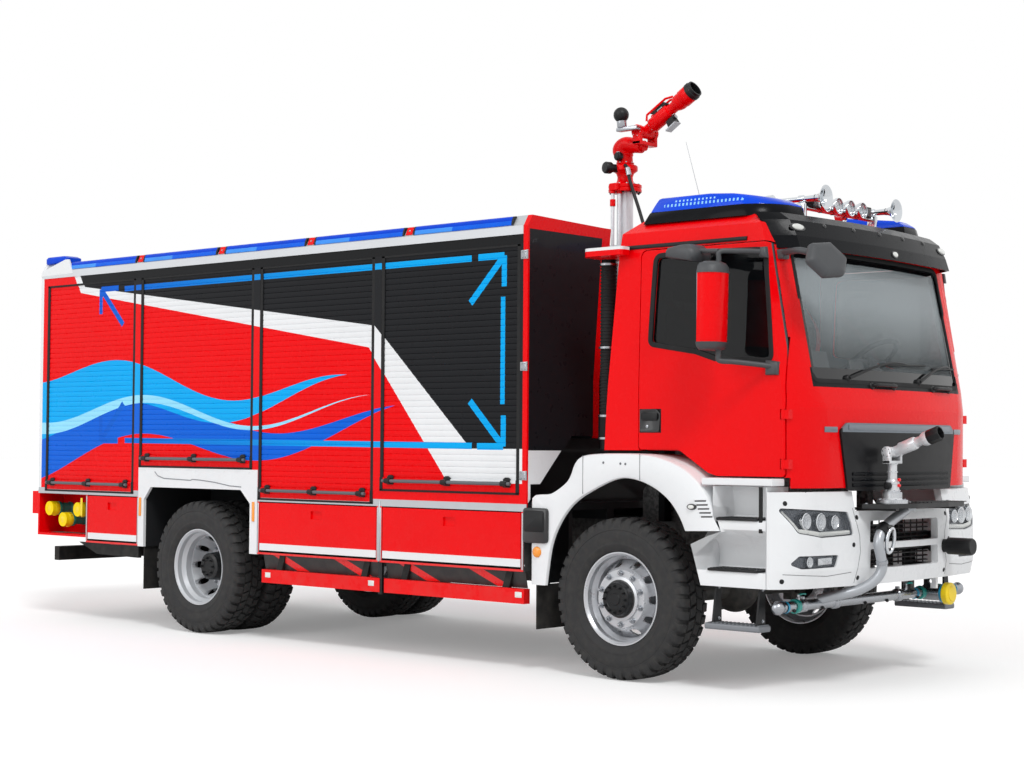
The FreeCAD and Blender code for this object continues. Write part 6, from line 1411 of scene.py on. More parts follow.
def make_screen_fittings():
    """Wipers, the two grab handles and the screen's rubber frame."""
    screen = tree_of("windscreen", "cab_shell")
    frame_bar, wipers, handles = Shape(), Shape(), Shape()
    outline = [Vector((y, z)) for y, z in ((-0.905, 1.909), (0.905, 1.909), (0.905, 2.720),
                                           (-0.905, 2.720))]
    loop = densely(outline_path([tuple(p) for p in outline], 0.05, 5), 0.06, True)
    hits = []
    for p in loop:
        hits += dropped(screen, [(RAYS_FROM, p.x * 0.998, p.y)], (-1, 0, 0))
    laid_bar(frame_bar, hits, 0.014, 0.004, 0, loop=True)
    for pivot_y, tip_y, blade in ((-0.560, 0.130, 0.60), (0.290, 0.800, 0.56)):
        pivot = dropped(screen, [(RAYS_FROM, pivot_y, 1.930)], (-1, 0, 0))[0]
        wipers.turned([(0.0, -0.004), (0.024, -0.004), (0.024, 0.014), (0.017, 0.022), (0.0, 0.024)],
                      pivot[0], pivot[1], 24, 0)
        path = []
        for k in range(9):
            t = k / 8
            y = pivot_y + (tip_y - pivot_y) * t
            z = 1.930 + 0.115 * math.sin(t * math.pi * 0.55)
            hit, normal = dropped(screen, [(RAYS_FROM, y, z)], (-1, 0, 0))[0]
            path.append(hit + normal * (0.020 + 0.014 * math.sin(t * math.pi)))
        wipers.pipe(path, [0.011 - 0.006 * k / 8 for k in range(9)], 10, 0)
        middle = tip_y
        places = [(RAYS_FROM, middle + d, 2.034 + 0.03 * d)
                  for d in [-blade / 2 + blade * k / 12 for k in range(13)]]
        hits = dropped(screen, [p for p in places if abs(p[1]) < 0.90], (-1, 0, 0))
        laid_bar(wipers, [(h + n * 0.010, n) for h, n in hits], 0.0065, 0.008, 0, sink=0.0)
        laid_bar(wipers, hits, 0.0022, 0.011, 0, sink=0.0)
    for y0, y1 in ((-0.315, -0.060), (0.475, 0.730)):
        ends = [dropped(screen, [(RAYS_FROM, y, 1.893)], (-1, 0, 0))[0] for y in (y0, y1)]
        (a, na), (b, nb) = ends
        line = curve_through([a + na * 0.004, a + na * 0.024 + (b - a) * 0.04,
                              a + na * 0.030 + (b - a) * 0.25, b + nb * 0.030 + (a - b) * 0.25,
                              b + nb * 0.024 + (a - b) * 0.04, b + nb * 0.004], 5)
        handles.pipe(line, 0.0115, 14, 0)
        for place, normal in ends:
            handles.turned([(0.0, -0.003), (0.026, -0.003), (0.024, 0.006), (0.015, 0.010), (0.0, 0.010)],
                           place, normal, 20, 0)
    piece("screen_frame", frame_bar, "truck", [RUBBER_MAT], sharp=60)
    piece("wipers", wipers, "truck", [PLASTIC], sharp=50)
    piece("screen_handles", handles, "truck", [PLASTIC], sharp=60)


def make_visor_fittings():
    """Bolts and small marker lamps on the sun visor."""
    visor = tree_of("sun_visor")
    bolts, lamps = Shape(), Shape()
    for y in (-0.92, -0.62, -0.31, 0.0, 0.31, 0.62, 0.92):
        for hit, normal in dropped(visor, [(RAYS_FROM, y, 2.885 if abs(y) < 0.9 else 2.86)], (-1, 0, 0)):
            bolts.turned([(0.0, -0.002), (0.016, -0.002), (0.016, 0.002), (0.010, 0.007), (0.0, 0.008)],
                         hit, normal, 20, 0)
    for y, z, long, tall in ((-0.90, 2.852, 0.052, 0.021), (0.90, 2.852, 0.052, 0.021),
                             (0.090, 2.757, 0.028, 0.018)):
        found = dropped(visor, [(RAYS_FROM, y, z)], (-1, 0, 0))
        for hit, normal in found:
            side = Vector((0, 0, 1)).cross(normal).normalized()
            up = normal.cross(side)
            for layers, mark in ((((1.35, -0.002), (1.35, 0.004), (1.15, 0.007)), 1),
                                 (((1.0, 0.0), (1.0, 0.010), (0.86, 0.015), (0.5, 0.017)), 0)):
                lamps.rows([[hit + normal * lift + side * math.cos(2 * math.pi * k / 28) * long * size
                             + up * math.sin(2 * math.pi * k / 28) * tall * size for k in range(28)]
                            for size, lift in layers], mark)
    piece("visor_bolts", bolts, "truck", [BLACK_TRIM], sharp=50)
    piece("marker_lamps", lamps, "truck", [PEARL, BLACK_TRIM], sharp=50)


def make_antenna():
    """Whip antenna on the cab roof, behind the right beacon unit."""
    shape = Shape()
    foot = Vector((fx(0.070), -0.320, 2.962))
    shape.turned([(0.0, -0.012), (0.030, -0.012), (0.028, 0.006), (0.014, 0.026), (0.009, 0.040),
                  (0.0, 0.042)], foot,
                 (-0.05, 0, 1), 24, 0)
    top = foot + Vector((-0.155, -0.03, 0.62))
    shape.pipe([foot + Vector((0, 0, 0.03)), foot + Vector((-0.02, -0.005, 0.12)), top],
               [0.0035, 0.0026, 0.0016], 8, 1)
    piece("whip_antenna", shape, "truck", [PLASTIC, STEEL_MAT], sharp=50)


def make_grille_fittings():
    """Frame lines, mesh louvres and the paler upper lip of the grille."""
    tree = tree_of("grille_panel")
    lip, side_marks, louvres = Shape(), Shape(), Shape()
    hits = dropped(tree, [(RAYS_FROM, y, 1.628) for y in [-0.64 + 0.04 * i for i in range(33)]], (-1, 0, 0))
    laid_bar(lip, hits, 0.017, 0.004, 0)
    for i, z in enumerate((1.272, 1.306, 1.340)):
        hits = dropped(tree, [(RAYS_FROM, y, z) for y in [-0.60 + 0.04 * k for k in range(31)]], (-1, 0, 0))
        laid_bar(louvres, hits, 0.011, 0.006, 0)
    shell = tree_of("cab_shell", "grille_panel")
    for sign in (-1, 1):
        hits = dropped(shell, [(RAYS_FROM, sign * y, 1.612) for y in (0.735, 0.775, 0.815, 0.855)],
                       (-1, 0, 0))
        laid_bar(side_marks, hits, 0.017, 0.005, 0)
    grey = surface("lip_grey", (rgb(112, 120, 130), 0.22, 0.3), coat=0.5, grain=0.03)
    piece("grille_lip", lip, "truck", [grey], sharp=40)
    piece("grille_louvres", louvres, "truck", [GLOSS], sharp=40)
    piece("grille_side_marks", side_marks, "truck", [grey], sharp=40)


# ------------------------------------------------------------------ monitors and mast
def ring_of_bolts(shape, centre, axis, radius, count, size, height, mark=0, start=0.0):
    centre, axis = Vector(centre), Vector(axis).normalized()
    side = axis.orthogonal().normalized()
    across = axis.cross(side)
    for i in range(count):
        turn = start + 2 * math.pi * i / count
        bolt(shape, centre + (side * math.cos(turn) + across * math.sin(turn)) * radius, axis, size, height,
             mark, turn)


def add_monitor_head(shape, x, y, foot, pivot, r):
    """Turning head of a monitor: bored base, swivel motor, twin elbow and yoke.
    Marks 0 body, 1 dark motor, 2 steel."""
    low = foot + 0.0003
    shape.turned([(0.93 * r, 0.0), (1.55 * r, 0.0), (1.6 * r, 0.06 * r), (1.6 * r, 0.30 * r),
                  (1.42 * r, 0.40 * r), (1.36 * r, 1.5 * r), (1.46 * r, 1.62 * r), (1.46 * r, 1.95 * r),
                  (1.30 * r, 2.10 * r), (1.10 * r, 2.55 * r), (0.0, 2.6 * r)], (x, y, low), (0, 0, 1), 40,
                 0, caps=False)
    ring_of_bolts(shape, (x, y, low + 0.30 * r), (0, 0, 1), 1.49 * r, 8, 0.13 * r, 0.10 * r, 2)
    gear = low + 1.3 * r
    shape.turned([(0.0, 1.15 * r), (0.62 * r, 1.15 * r), (0.62 * r, 1.5 * r), (0.78 * r, 1.56 * r),
                  (0.8 * r, 1.62 * r), (0.8 * r, 2.30 * r), (0.70 * r, 2.44 * r), (0.52 * r, 2.5 * r),
                  (0.50 * r, 2.66 * r), (0.0, 2.69 * r)],
                 (x, y, gear), (0, -1, 0), 28, 1)
    shape.turned([(0.0, -0.2 * r), (0.40 * r, -0.2 * r), (0.40 * r, 0.2 * r), (0.0, 0.2 * r)],
                 (x, y - 2.0 * r, gear + 0.62 * r), (0, 0, 1), 20, 2)
    px, pz = pivot
    line = curve_through([(x, y, low + 2.2 * r),
                          (x + 0.12 * (px - x), y, low + 2.2 * r + 0.62 * (pz - low - 4.6 * r)),
                          (x + 0.62 * (px - x), y, low + 2.2 * r + 0.98 * (pz - low - 4.6 * r)),
                          (px, y, pz - 2.35 * r)], 6)
    shape.pipe(line, [0.95 * r] * len(line), 24, 0)
    for share in (0.30, 0.72):
        place = line[int(share * (len(line) - 1))]
        ahead = (line[int(share * (len(line) - 1)) + 1] - place).normalized()
        shape.turned([(0.9 * r, -0.10 * r), (1.12 * r, -0.08 * r), (1.12 * r, 0.08 * r),
                      (0.9 * r, 0.10 * r)], place, ahead, 28, 0)
        ring_of_bolts(shape, place + ahead * 0.08 * r, ahead, 1.0 * r, 6, 0.09 * r, 0.07 * r, 2)
    rounded_box(shape, (px - 0.88 * r, y - 2.58 * r, pz - 2.4 * r),
                (px + 0.88 * r, y + 2.58 * r, pz - 1.77 * r), 1, 0.16 * r, 0)
    for side in (-1, 1):
        near, far = sorted((y + side * 1.77 * r, y + side * 2.58 * r))
        rounded_box(shape, (px - 0.86 * r, near, pz - 2.3 * r), (px + 0.86 * r, far, pz), 1, 0.14 * r, 0)
        shape.turned([(0.0, 0.0), (1.12 * r, 0.0), (1.18 * r, 0.05 * r), (1.18 * r, 0.72 * r),
                      (1.05 * r, 0.80 * r), (0.0, 0.81 * r)],
                     (px, y + side * 1.77 * r, pz), (0, side, 0), 32, 0)
        ring_of_bolts(shape, (px, y + side * 2.53 * r, pz), (0, side, 0), 0.88 * r, 6, 0.11 * r, 0.06 * r,
                      2)
    shape.pipe([(px, y - 1.78 * r, pz), (px, y + 1.78 * r, pz)], 0.49 * r, 24, 2)


def add_monitor_barrel(shape, pivot, y, length, angle, r, square=False):
    """Barrel about the pivot. Marks 0 body, 1 dark, 2 steel."""
    px, pz = pivot
    turn = Matrix.Rotation(-angle, 3, "Y")
    centre = Vector((px, y, pz))

    def at(dx, dy, dz):
        return centre + turn @ Vector((dx, dy, dz))

    ahead = turn @ Vector((1, 0, 0))
    shape.turned([(0.505 * r, -1.58 * r), (1.08 * r, -1.58 * r), (1.09 * r, -1.5 * r), (1.09 * r, 1.5 * r),
                  (1.08 * r, 1.58 * r), (0.505 * r, 1.58 * r)], centre, (0, 1, 0), 36, 0, caps=False)
    tip = length
    shape.turned([(0.99 * r, 0.75 * r), (0.99 * r, 2.0 * r), (1.28 * r, 2.05 * r), (1.34 * r, 2.2 * r),
                  (1.34 * r, 0.47 * tip), (1.26 * r, 0.49 * tip), (1.02 * r, 0.50 * tip),
                  (0.99 * r, 0.60 * tip), (1.25 * r, 0.63 * tip), (1.50 * r, 0.69 * tip),
                  (1.50 * r, 0.76 * tip)], centre, ahead, 40, 0, caps=False)
    nozzle = [(1.50 * r, 0.755 * tip), (1.58 * r, 0.765 * tip), (1.58 * r, 0.965 * tip),
              (1.52 * r, 0.995 * tip), (1.26 * r, 0.998 * tip), (1.22 * r, 0.96 * tip),
              (1.22 * r, 0.80 * tip), (0.0, 0.79 * tip)]
    shape.turned(nozzle, centre, ahead, 8 if square else 40, 1, caps=False)
    shape.turned([(0.0, 0.79 * tip), (0.55 * r, 0.80 * tip), (0.62 * r, 0.86 * tip), (0.50 * r, 0.90 * tip),
                  (0.0, 0.91 * tip)],
                 centre, ahead, 28, 2)
    if not square:
        for i in range(20):
            a = 2 * math.pi * i / 20
            out = turn @ Vector((0, math.cos(a), math.sin(a)))
            side = turn @ Vector((0, -math.sin(a), math.cos(a)))
            base = centre + ahead * (0.80 * tip) + out * (1.575 * r)
            shape.rows([[base + ahead * d + side * s * 0.10 * r + out * h for s,
                         h in ((-1, 0.0), (-0.6, 0.016 * r), (0.6, 0.016 * r), (1, 0.0))]
                        for d in (0.0, 0.13 * tip)], 1)
    return at, ahead


def make_roof_monitor():
    """Head and barrel of the monitor on the mast."""
    red = paint("monitor_paint", RED, grain=0.25, grain_scale=140)
    r, x = 0.040, MAST_X
    head = Shape()
    add_monitor_head(head, x, 0.0, 3.545, (1.625, 3.760), r)
    elbow = curve_through([(x, 0, 3.560), (x - 0.012, -0.006, 3.610), (x - 0.030, -0.012, 3.655),
                           (x + 0.010, -0.008, 3.686), (x + 0.080, 0, 3.678), (1.600, 0, 3.660)], 6)
    last = len(elbow) - 1
    head.pipe(elbow, [0.054 + 0.012 * math.sin(math.pi * k / last) - 0.008 * k / last
                      for k in range(len(elbow))], 32, 0)
    ball = [(0.056 * math.sin(math.pi * k / 14), 0.056 * (1 - math.cos(math.pi * k / 14)))
            for k in range(15)]
    head.turned(ball, (1.520, -0.138, 3.826), (-0.1, 0, 1), 32, 1)
    head.turned([(0.0, -0.040), (0.030, -0.040), (0.036, -0.030), (0.036, 0.008), (0.0, 0.008)],
                (1.520, -0.138, 3.826), (-0.1, 0, 1), 28, 2)
    rounded_box(head, (1.480, -0.156, 3.762), (1.668, -0.108, 3.790), 1, 0.010, 2)
    piece("roof_monitor_head_body", head, "roof_monitor_head", [red, PLASTIC, STEEL_MAT],
          ["roof_monitor_head"], bevel=0.0008, sharp=40)
    barrel = Shape()
    angle = math.radians(31)
    at, ahead = add_monitor_barrel(barrel, (1.625, 3.760), 0.0, 0.520, angle, r)
    barrel.turned([(1.55 * r, 0.392), (1.62 * r, 0.396), (1.62 * r, 0.462), (1.55 * r, 0.466)], at(0, 0, 0),
                  ahead, 40, 0, caps=False)
    barrel.turned([(1.55 * r, 0.464), (1.70 * r, 0.468), (1.70 * r, 0.492), (1.60 * r, 0.498),
                   (1.52 * r, 0.499)], at(0, 0, 0), ahead,
                  40, 1, caps=False)
    for y in (-0.030, 0.030):
        barrel.pipe([at(0.070, y, 0.046), at(0.095, y, 0.082), at(0.285, y, 0.082), at(0.345, y, 0.055)],
                    0.0085, 12, 0)
    barrel.rows([[at(0.12 + d, y, 0.074 + h) for d, h in ((0, 0), (0.13, 0), (0.13, 0.012), (0, 0.012))]
                 for y in (-0.026, 0.026)], 1)
    barrel.rows([[at(0.200 + d, y, -0.112 + h) for d, h in ((0, 0), (0.070, 0.006), (0.066, 0.052),
                                                            (0.004, 0.048))]
                 for y in (-0.030, 0.030)], 1)
    barrel.rows([[at(0.170 + d, y, -0.122 + h) for d, h in ((0, 0), (0.104, 0.004), (0.100, 0.014),
                                                            (0.004, 0.010))]
                 for y in (-0.034, 0.034)], 2)
    barrel.rows([[at(0.16 + d, y, 0.050 + h) for d, h in ((0, 0), (0.11, 0), (0.11, 0.010), (0, 0.010))]
                 for y in (-0.016, 0.016)], 1)
    barrel.rows([[at(0.175 + d, y, 0.056 + h) for d, h in ((0, 0), (0.05, 0), (0.05, 0.007), (0, 0.007))]
                 for y in (-0.0165, -0.008)], 2)
    barrel.turned([(0.0, -0.045), (0.017, -0.045), (0.021, -0.036), (0.021, 0.014), (0.015, 0.022),
                   (0.0, 0.023)],
                  at(0.255, 0.0, -0.064), ahead, 24, 1)
    barrel.turned([(0.0, 0.023), (0.0165, 0.022), (0.0185, 0.027), (0.0, 0.030)], at(0.255, 0.0, -0.064),
                  ahead, 24, 2)
    barrel.rows([[at(0.235 + d, y, -0.048 + h) for d, h in ((0, -0.012), (0.035, -0.012), (0.045, 0.006),
                                                            (-0.01, 0.006))]
                 for y in (-0.010, 0.010)], 2)
    ring_of_bolts(barrel, at(0.080, 0, 0), -ahead, 0.047, 8, 0.0045, 0.003, 2)
    piece("roof_monitor_barrel_body", barrel, "roof_monitor_barrel",
          [red, PLASTIC, STEEL_MAT], ["roof_monitor_barrel"], bevel=0.0008, sharp=40)


def make_front_monitor():
    """Head, barrel and foot of the monitor on the bumper."""
    silver = surface("monitor_alloy", (rgb(216, 218, 221), 0.30, 0.35), grain=0.14, grain_scale=150,
                     mottle=0.1)
    r, x, y = 0.030, 3.815, -0.310
    head = Shape()
    add_monitor_head(head, x, y, 1.228, (3.815, 1.476), r)
    for dz in (0.045, 0.085):
        head.turned([(0.0, 0.0), (0.009, 0.0), (0.011, 0.004), (0.011, 0.012), (0.007, 0.016),
                     (0.0, 0.017)],
                    (x + 1.33 * r, y, 1.228 + dz * 0.9), (1, 0, 0), 16, 3)
    piece("front_monitor_head_body", head, "front_monitor_head",
          [silver, PLASTIC, STEEL_MAT, RED_KNOB], ["front_monitor_head"], bevel=0.0007, sharp=40)
    barrel = Shape()
    angle = math.radians(20)
    at = add_monitor_barrel(barrel, (3.815, 1.476), y, 0.356, angle, r, square=True)[0]
    barrel.rows([[at(0.07 + d, s, 0.030 + h) for d, h in ((0, 0), (0.075, 0), (0.070, 0.012),
                                                          (0.006, 0.012))]
                 for s in (-0.014, 0.014)], 1)
    for s in (-1, 1):
        barrel.turned([(0.0, 0.0), (0.010, 0.0), (0.012, 0.004), (0.010, 0.012), (0.0, 0.013)],
                      at(0.0, s * 0.0475, 0.0), (0, s, 0), 20, 3)
    piece("front_monitor_barrel_body", barrel, "front_monitor_barrel",
          [silver, PLASTIC, STEEL_MAT, RED_KNOB], ["front_monitor_barrel"], bevel=0.0007, sharp=40)
    foot = Shape()
    foot.turned([(0.0, -0.010), (0.092, -0.010), (0.096, -0.006), (0.096, 0.006), (0.090, 0.012),
                 (0.066, 0.013), (0.060, 0.020), (0.060, 0.050), (0.052, 0.0595), (0.0275, 0.0595),
                 (0.0268, 0.100), (0.0, 0.101)], (x, y, 1.168), (0, 0, 1), 48, 0)
    ring_of_bolts(foot, (x, y, 1.180), (0, 0, 1), 0.079, 8, 0.0065, 0.005, 1)
    piece("front_monitor_foot", foot, "truck", [silver, STEEL_MAT], bevel=0.0007, sharp=40)


def make_mast():
    """Telescopic tube with its bolted flanges, and the pipes beside it."""
    red = paint("mast_head_paint", RED, grain=0.2, grain_scale=140)
    x = MAST_X
    tube = Shape()
    tube.turned([(0.0505, 2.340), (0.0598, 2.342), (0.0598, 3.340), (0.0505, 3.340)], (x, 0, 0), (0, 0, 1),
                56, 0, caps=False)
    tube.turned([(0.0505, 2.340), (0.0505, 3.340)], (x, 0, 0), (0, 0, 1), 40, 0, caps=False)
    tube.turned([(0.0, 3.3405), (0.118, 3.3405), (0.1215, 3.344), (0.1215, 3.362), (0.117, 3.366),
                 (0.117, 3.370), (0.1215, 3.374), (0.1215, 3.392), (0.118, 3.3955), (0.086, 3.398),
                 (0.066, 3.412), (0.058, 3.430), (0.056, 3.452), (0.064, 3.478), (0.086, 3.494),
                 (0.092, 3.500), (0.092, 3.528), (0.086, 3.536), (0.066, 3.5445), (0.036, 3.5445),
                 (0.0358, 3.600), (0.0, 3.601)], (x, 0, 0), (0, 0, 1), 64, 1)
    tube.turned([(0.0, 0.060), (0.030, 0.060), (0.030, 0.118), (0.040, 0.122), (0.043, 0.130),
                 (0.043, 0.168), (0.036, 0.178), (0.0, 0.180)], (x, 0, 3.512), (-0.35, -1, 0), 28, 3)
    conduit = curve_through([(x + 0.055, -0.075, 3.530), (x + 0.085, -0.080, 3.500),
                             (x + 0.110, -0.080, 3.400), (x + 0.215, -0.080, 3.130),
                             (x + 0.285, -0.080, 2.900), (x + 0.300, -0.080, 2.700)], 6)
    tube.pipe(conduit, 0.0125, 14, 3)
    tube.turned([(0.0125, -0.030), (0.019, -0.028), (0.019, 0.028), (0.0125, 0.030)], conduit[8],
                (0.03, 0, -0.10), 16, 2, caps=False)
    ring_of_bolts(tube, (x, 0, 3.3955), (0, 0, 1), 0.106, 12, 0.0080, 0.006, 2)
    ring_of_bolts(tube, (x, 0, 3.3415), (0, 0, -1), 0.106, 12, 0.0080, 0.010, 3, 0.26)
    for dx, y, clamp in ((-0.012, -0.128, 3.255), (0.020, -0.092, None)):
        tube.pipe([(x + dx, y, 2.052), (x + dx, y, 3.3405)], 0.0125, 24, 0)
        tube.turned([(0.0125, 3.322), (0.021, 3.324), (0.021, 3.3405), (0.0125, 3.3405)], (x + dx, y, 0),
                    (0, 0, 1), 20, 1, caps=False)
        if clamp:
            tube.turned([(0.0125, -0.026), (0.0205, -0.024), (0.0205, 0.024), (0.0125, 0.026)],
                        (x + dx, y, clamp), (0, 0, 1), 24, 1, caps=False)
    rounded_box(tube, (x - 0.040, -0.150, 3.3390), (x + 0.045, -0.070, 3.3960), 2, 0.020, 1)
    piece("mast_tube_body", tube, "mast", [ALU_TUBE, red, STEEL_MAT, PLASTIC], ["mast_tube"],
          bevel=0.0008, sharp=40)


# ------------------------------------------------------------------ front end
def make_front_pipework():
    """Spray bar, inlet and outlet under the bumper, and the pipe up to the bumper monitor."""
    z, x, half = 0.535, fx(1.172), 1.120
    shape = Shape()
    shape.pipe([(x, -half + 0.02, z), (x, half - 0.02, z)], 0.0325, 28, 0)
    for y, sign in ((-half, -1), (half, 1)):
        shape.turned([(0.0, 0.043), (0.016, 0.040), (0.031, 0.030), (0.041, 0.012), (0.0435, 0.0),
                      (0.041, -0.012), (0.036, -0.022), (0.0325, -0.040)], (x, y, z), (0, sign, 0), 32, 0,
                     caps=False)
        shape.turned([(0.0365, -0.010), (0.0375, -0.008), (0.0375, 0.008), (0.0365, 0.010)],
                     (x, y - sign * 0.075, z), (0, 1, 0), 28, 2, caps=False)
    for y in (-0.85, -0.48, 0.30, 0.70):
        shape.turned([(0.0325, -0.030), (0.037, -0.024), (0.0415, -0.020), (0.0415, -0.005),
                      (0.038, -0.003), (0.038, 0.003), (0.0415, 0.005), (0.0415, 0.020), (0.037, 0.024),
                      (0.0325, 0.030)], (x, y, z), (0, 1, 0), 32, 0, caps=False)
        rounded_box(shape, (x - 0.012, y - 0.010, z + 0.034), (x + 0.012, y + 0.010, z + 0.056), 1, 0.003,
                    0)
        bolt(shape, (x, y + 0.010, z + 0.046), (0, 1, 0), 0.0055, 0.005, 0)
    for y in (-0.98, -0.66, -0.15, 0.12, 0.52, 0.92):
        shape.turned([(0.0, 0.030), (0.011, 0.030), (0.011, 0.040), (0.007, 0.046), (0.0, 0.046)],
                     (x, y, z), (0.75, 0, -0.66), 16, 1)
    for y in (0.520, 0.780):
        shape.turned([(0.0325, -0.009), (0.0385, -0.007), (0.0385, 0.007), (0.0325, 0.009)], (x, y, z),
                     (0, 1, 0), 32, 2, caps=False)
    for y in (-0.48, 0.48):
        rounded_box(shape, (x - 0.013, y - 0.024, z), (x + 0.013, y + 0.024, 0.699), 2, 0.005, 4)
    shape.turned([(0.0515, 0.0), (0.0515, 0.118), (0.056, 0.122), (0.056, 0.132), (0.0515, 0.136)],
                 (x, 0.660, z), (1, 0, 0), 36, 0, caps=False)
    shape.turned([(0.050, 0.136), (0.063, 0.138), (0.063, 0.152), (0.050, 0.156)], (x, 0.660, z), (1, 0, 0),
                 36, 2)
    shape.turned([(0.0, 0.156), (0.068, 0.156), (0.0735, 0.161), (0.0735, 0.196), (0.068, 0.202),
                  (0.052, 0.204), (0.048, 0.211), (0.0, 0.2125)], (x, 0.660, z), (1, 0, 0), 44, 3)
    for i in range(3):
        turn = 2 * math.pi * (i / 3 + 0.08)
        out = Vector((0, math.cos(turn), math.sin(turn)))
        bolt(shape, Vector((x + 0.178, 0.660, z)) + out * 0.0705, out, 0.011, 0.0025, 3)
    line = curve_through([(fx(1.172), -0.665, 0.560), (fx(1.270), -0.615, 0.590),
                          (fx(1.370), -0.535, 0.622), (fx(1.448), -0.470, 0.680),
                          (fx(1.486), -0.440, 0.755), (fx(1.488), -0.458, 0.838),
                          (fx(1.484), -0.478, 0.915), (fx(1.482), -0.438, 0.985),
                          (fx(1.482), -0.335, 1.040), (fx(1.481), -0.215, 1.085),
                          (fx(1.480), -0.135, 1.112), (fx(1.480), -0.110, 1.126)], 6)
    shape.pipe(line, 0.0320, 28, 5)
    shape.turned([(0.032, -0.036), (0.040, -0.034), (0.041, -0.030), (0.041, 0.030), (0.040, 0.034),
                  (0.032, 0.036)], line[43],
                 line[44] - line[42], 32, 1, caps=False)
    for y in (-0.905, -0.180, 0.400):
        shape.turned([(0.0, 0.030), (0.014, 0.030), (0.014, 0.048), (0.009, 0.054), (0.009, 0.070),
                      (0.0, 0.070)], (x, y, z),
                     (0.1, 0, 1), 20, 0)
        shape.pipe([(x + 0.004, y - 0.002, z + 0.066), (x + 0.010, y + 0.040, z + 0.074),
                    (x + 0.010, y + 0.075, z + 0.070)], 0.0065,
                   10, 6)
    for y in (-0.930, 0.600, 0.860):
        shape.turned([(0.034, -0.020), (0.044, -0.016), (0.046, 0.0), (0.044, 0.016), (0.034, 0.020)],
                     (x, y, z), (0, 1, 0), 28, 6, caps=False)
    shape.turned([(0.036, -0.012), (0.052, -0.010), (0.052, 0.004), (0.036, 0.006)],
                 (fx(1.480), -0.110, 1.118), (0, 0, 1), 32, 5)
    mid = line[27]
    shape.turned([(0.0321, -0.014), (0.037, -0.011), (0.037, 0.011), (0.0321, 0.014)], mid,
                 line[28] - line[26], 32, 0, caps=False)
    shape.turned([(0.0435, 0.0), (0.0435, 0.130), (0.0555, 0.134), (0.0555, 0.300), (0.050, 0.309),
                  (0.0, 0.3095)],
                 (fx(1.290), 0.530, 0.860), (1, 0, 0), 48, 1)
    for i in range(24):
        turn = 2 * math.pi * i / 24
        out = Vector((0, math.cos(turn), math.sin(turn)))
        side = Vector((0, -math.sin(turn), math.cos(turn)))
        base = Vector((fx(1.436), 0.530, 0.860)) + out * 0.0545
        shape.rows([[base + Vector((d, 0, 0)) + side * s + out * h for s,
                     h in ((-0.0035, 0), (-0.002, 0.0013), (0.002, 0.0013), (0.0035, 0))]
                    for d in (0.0, 0.120)], 1)
    grey_pipe = surface("feed_pipe", (rgb(176, 180, 185), 0.34, 0.6), grain=0.12, grain_scale=120)
    piece("spray_bar_body", shape, "truck", [STEEL_MAT, PLASTIC, TEAL_RING, YELLOW_MAT,
                                                          CHASSIS_MAT, grey_pipe, TEAL_MAT],
          ["front_pipework"], sharp=42)


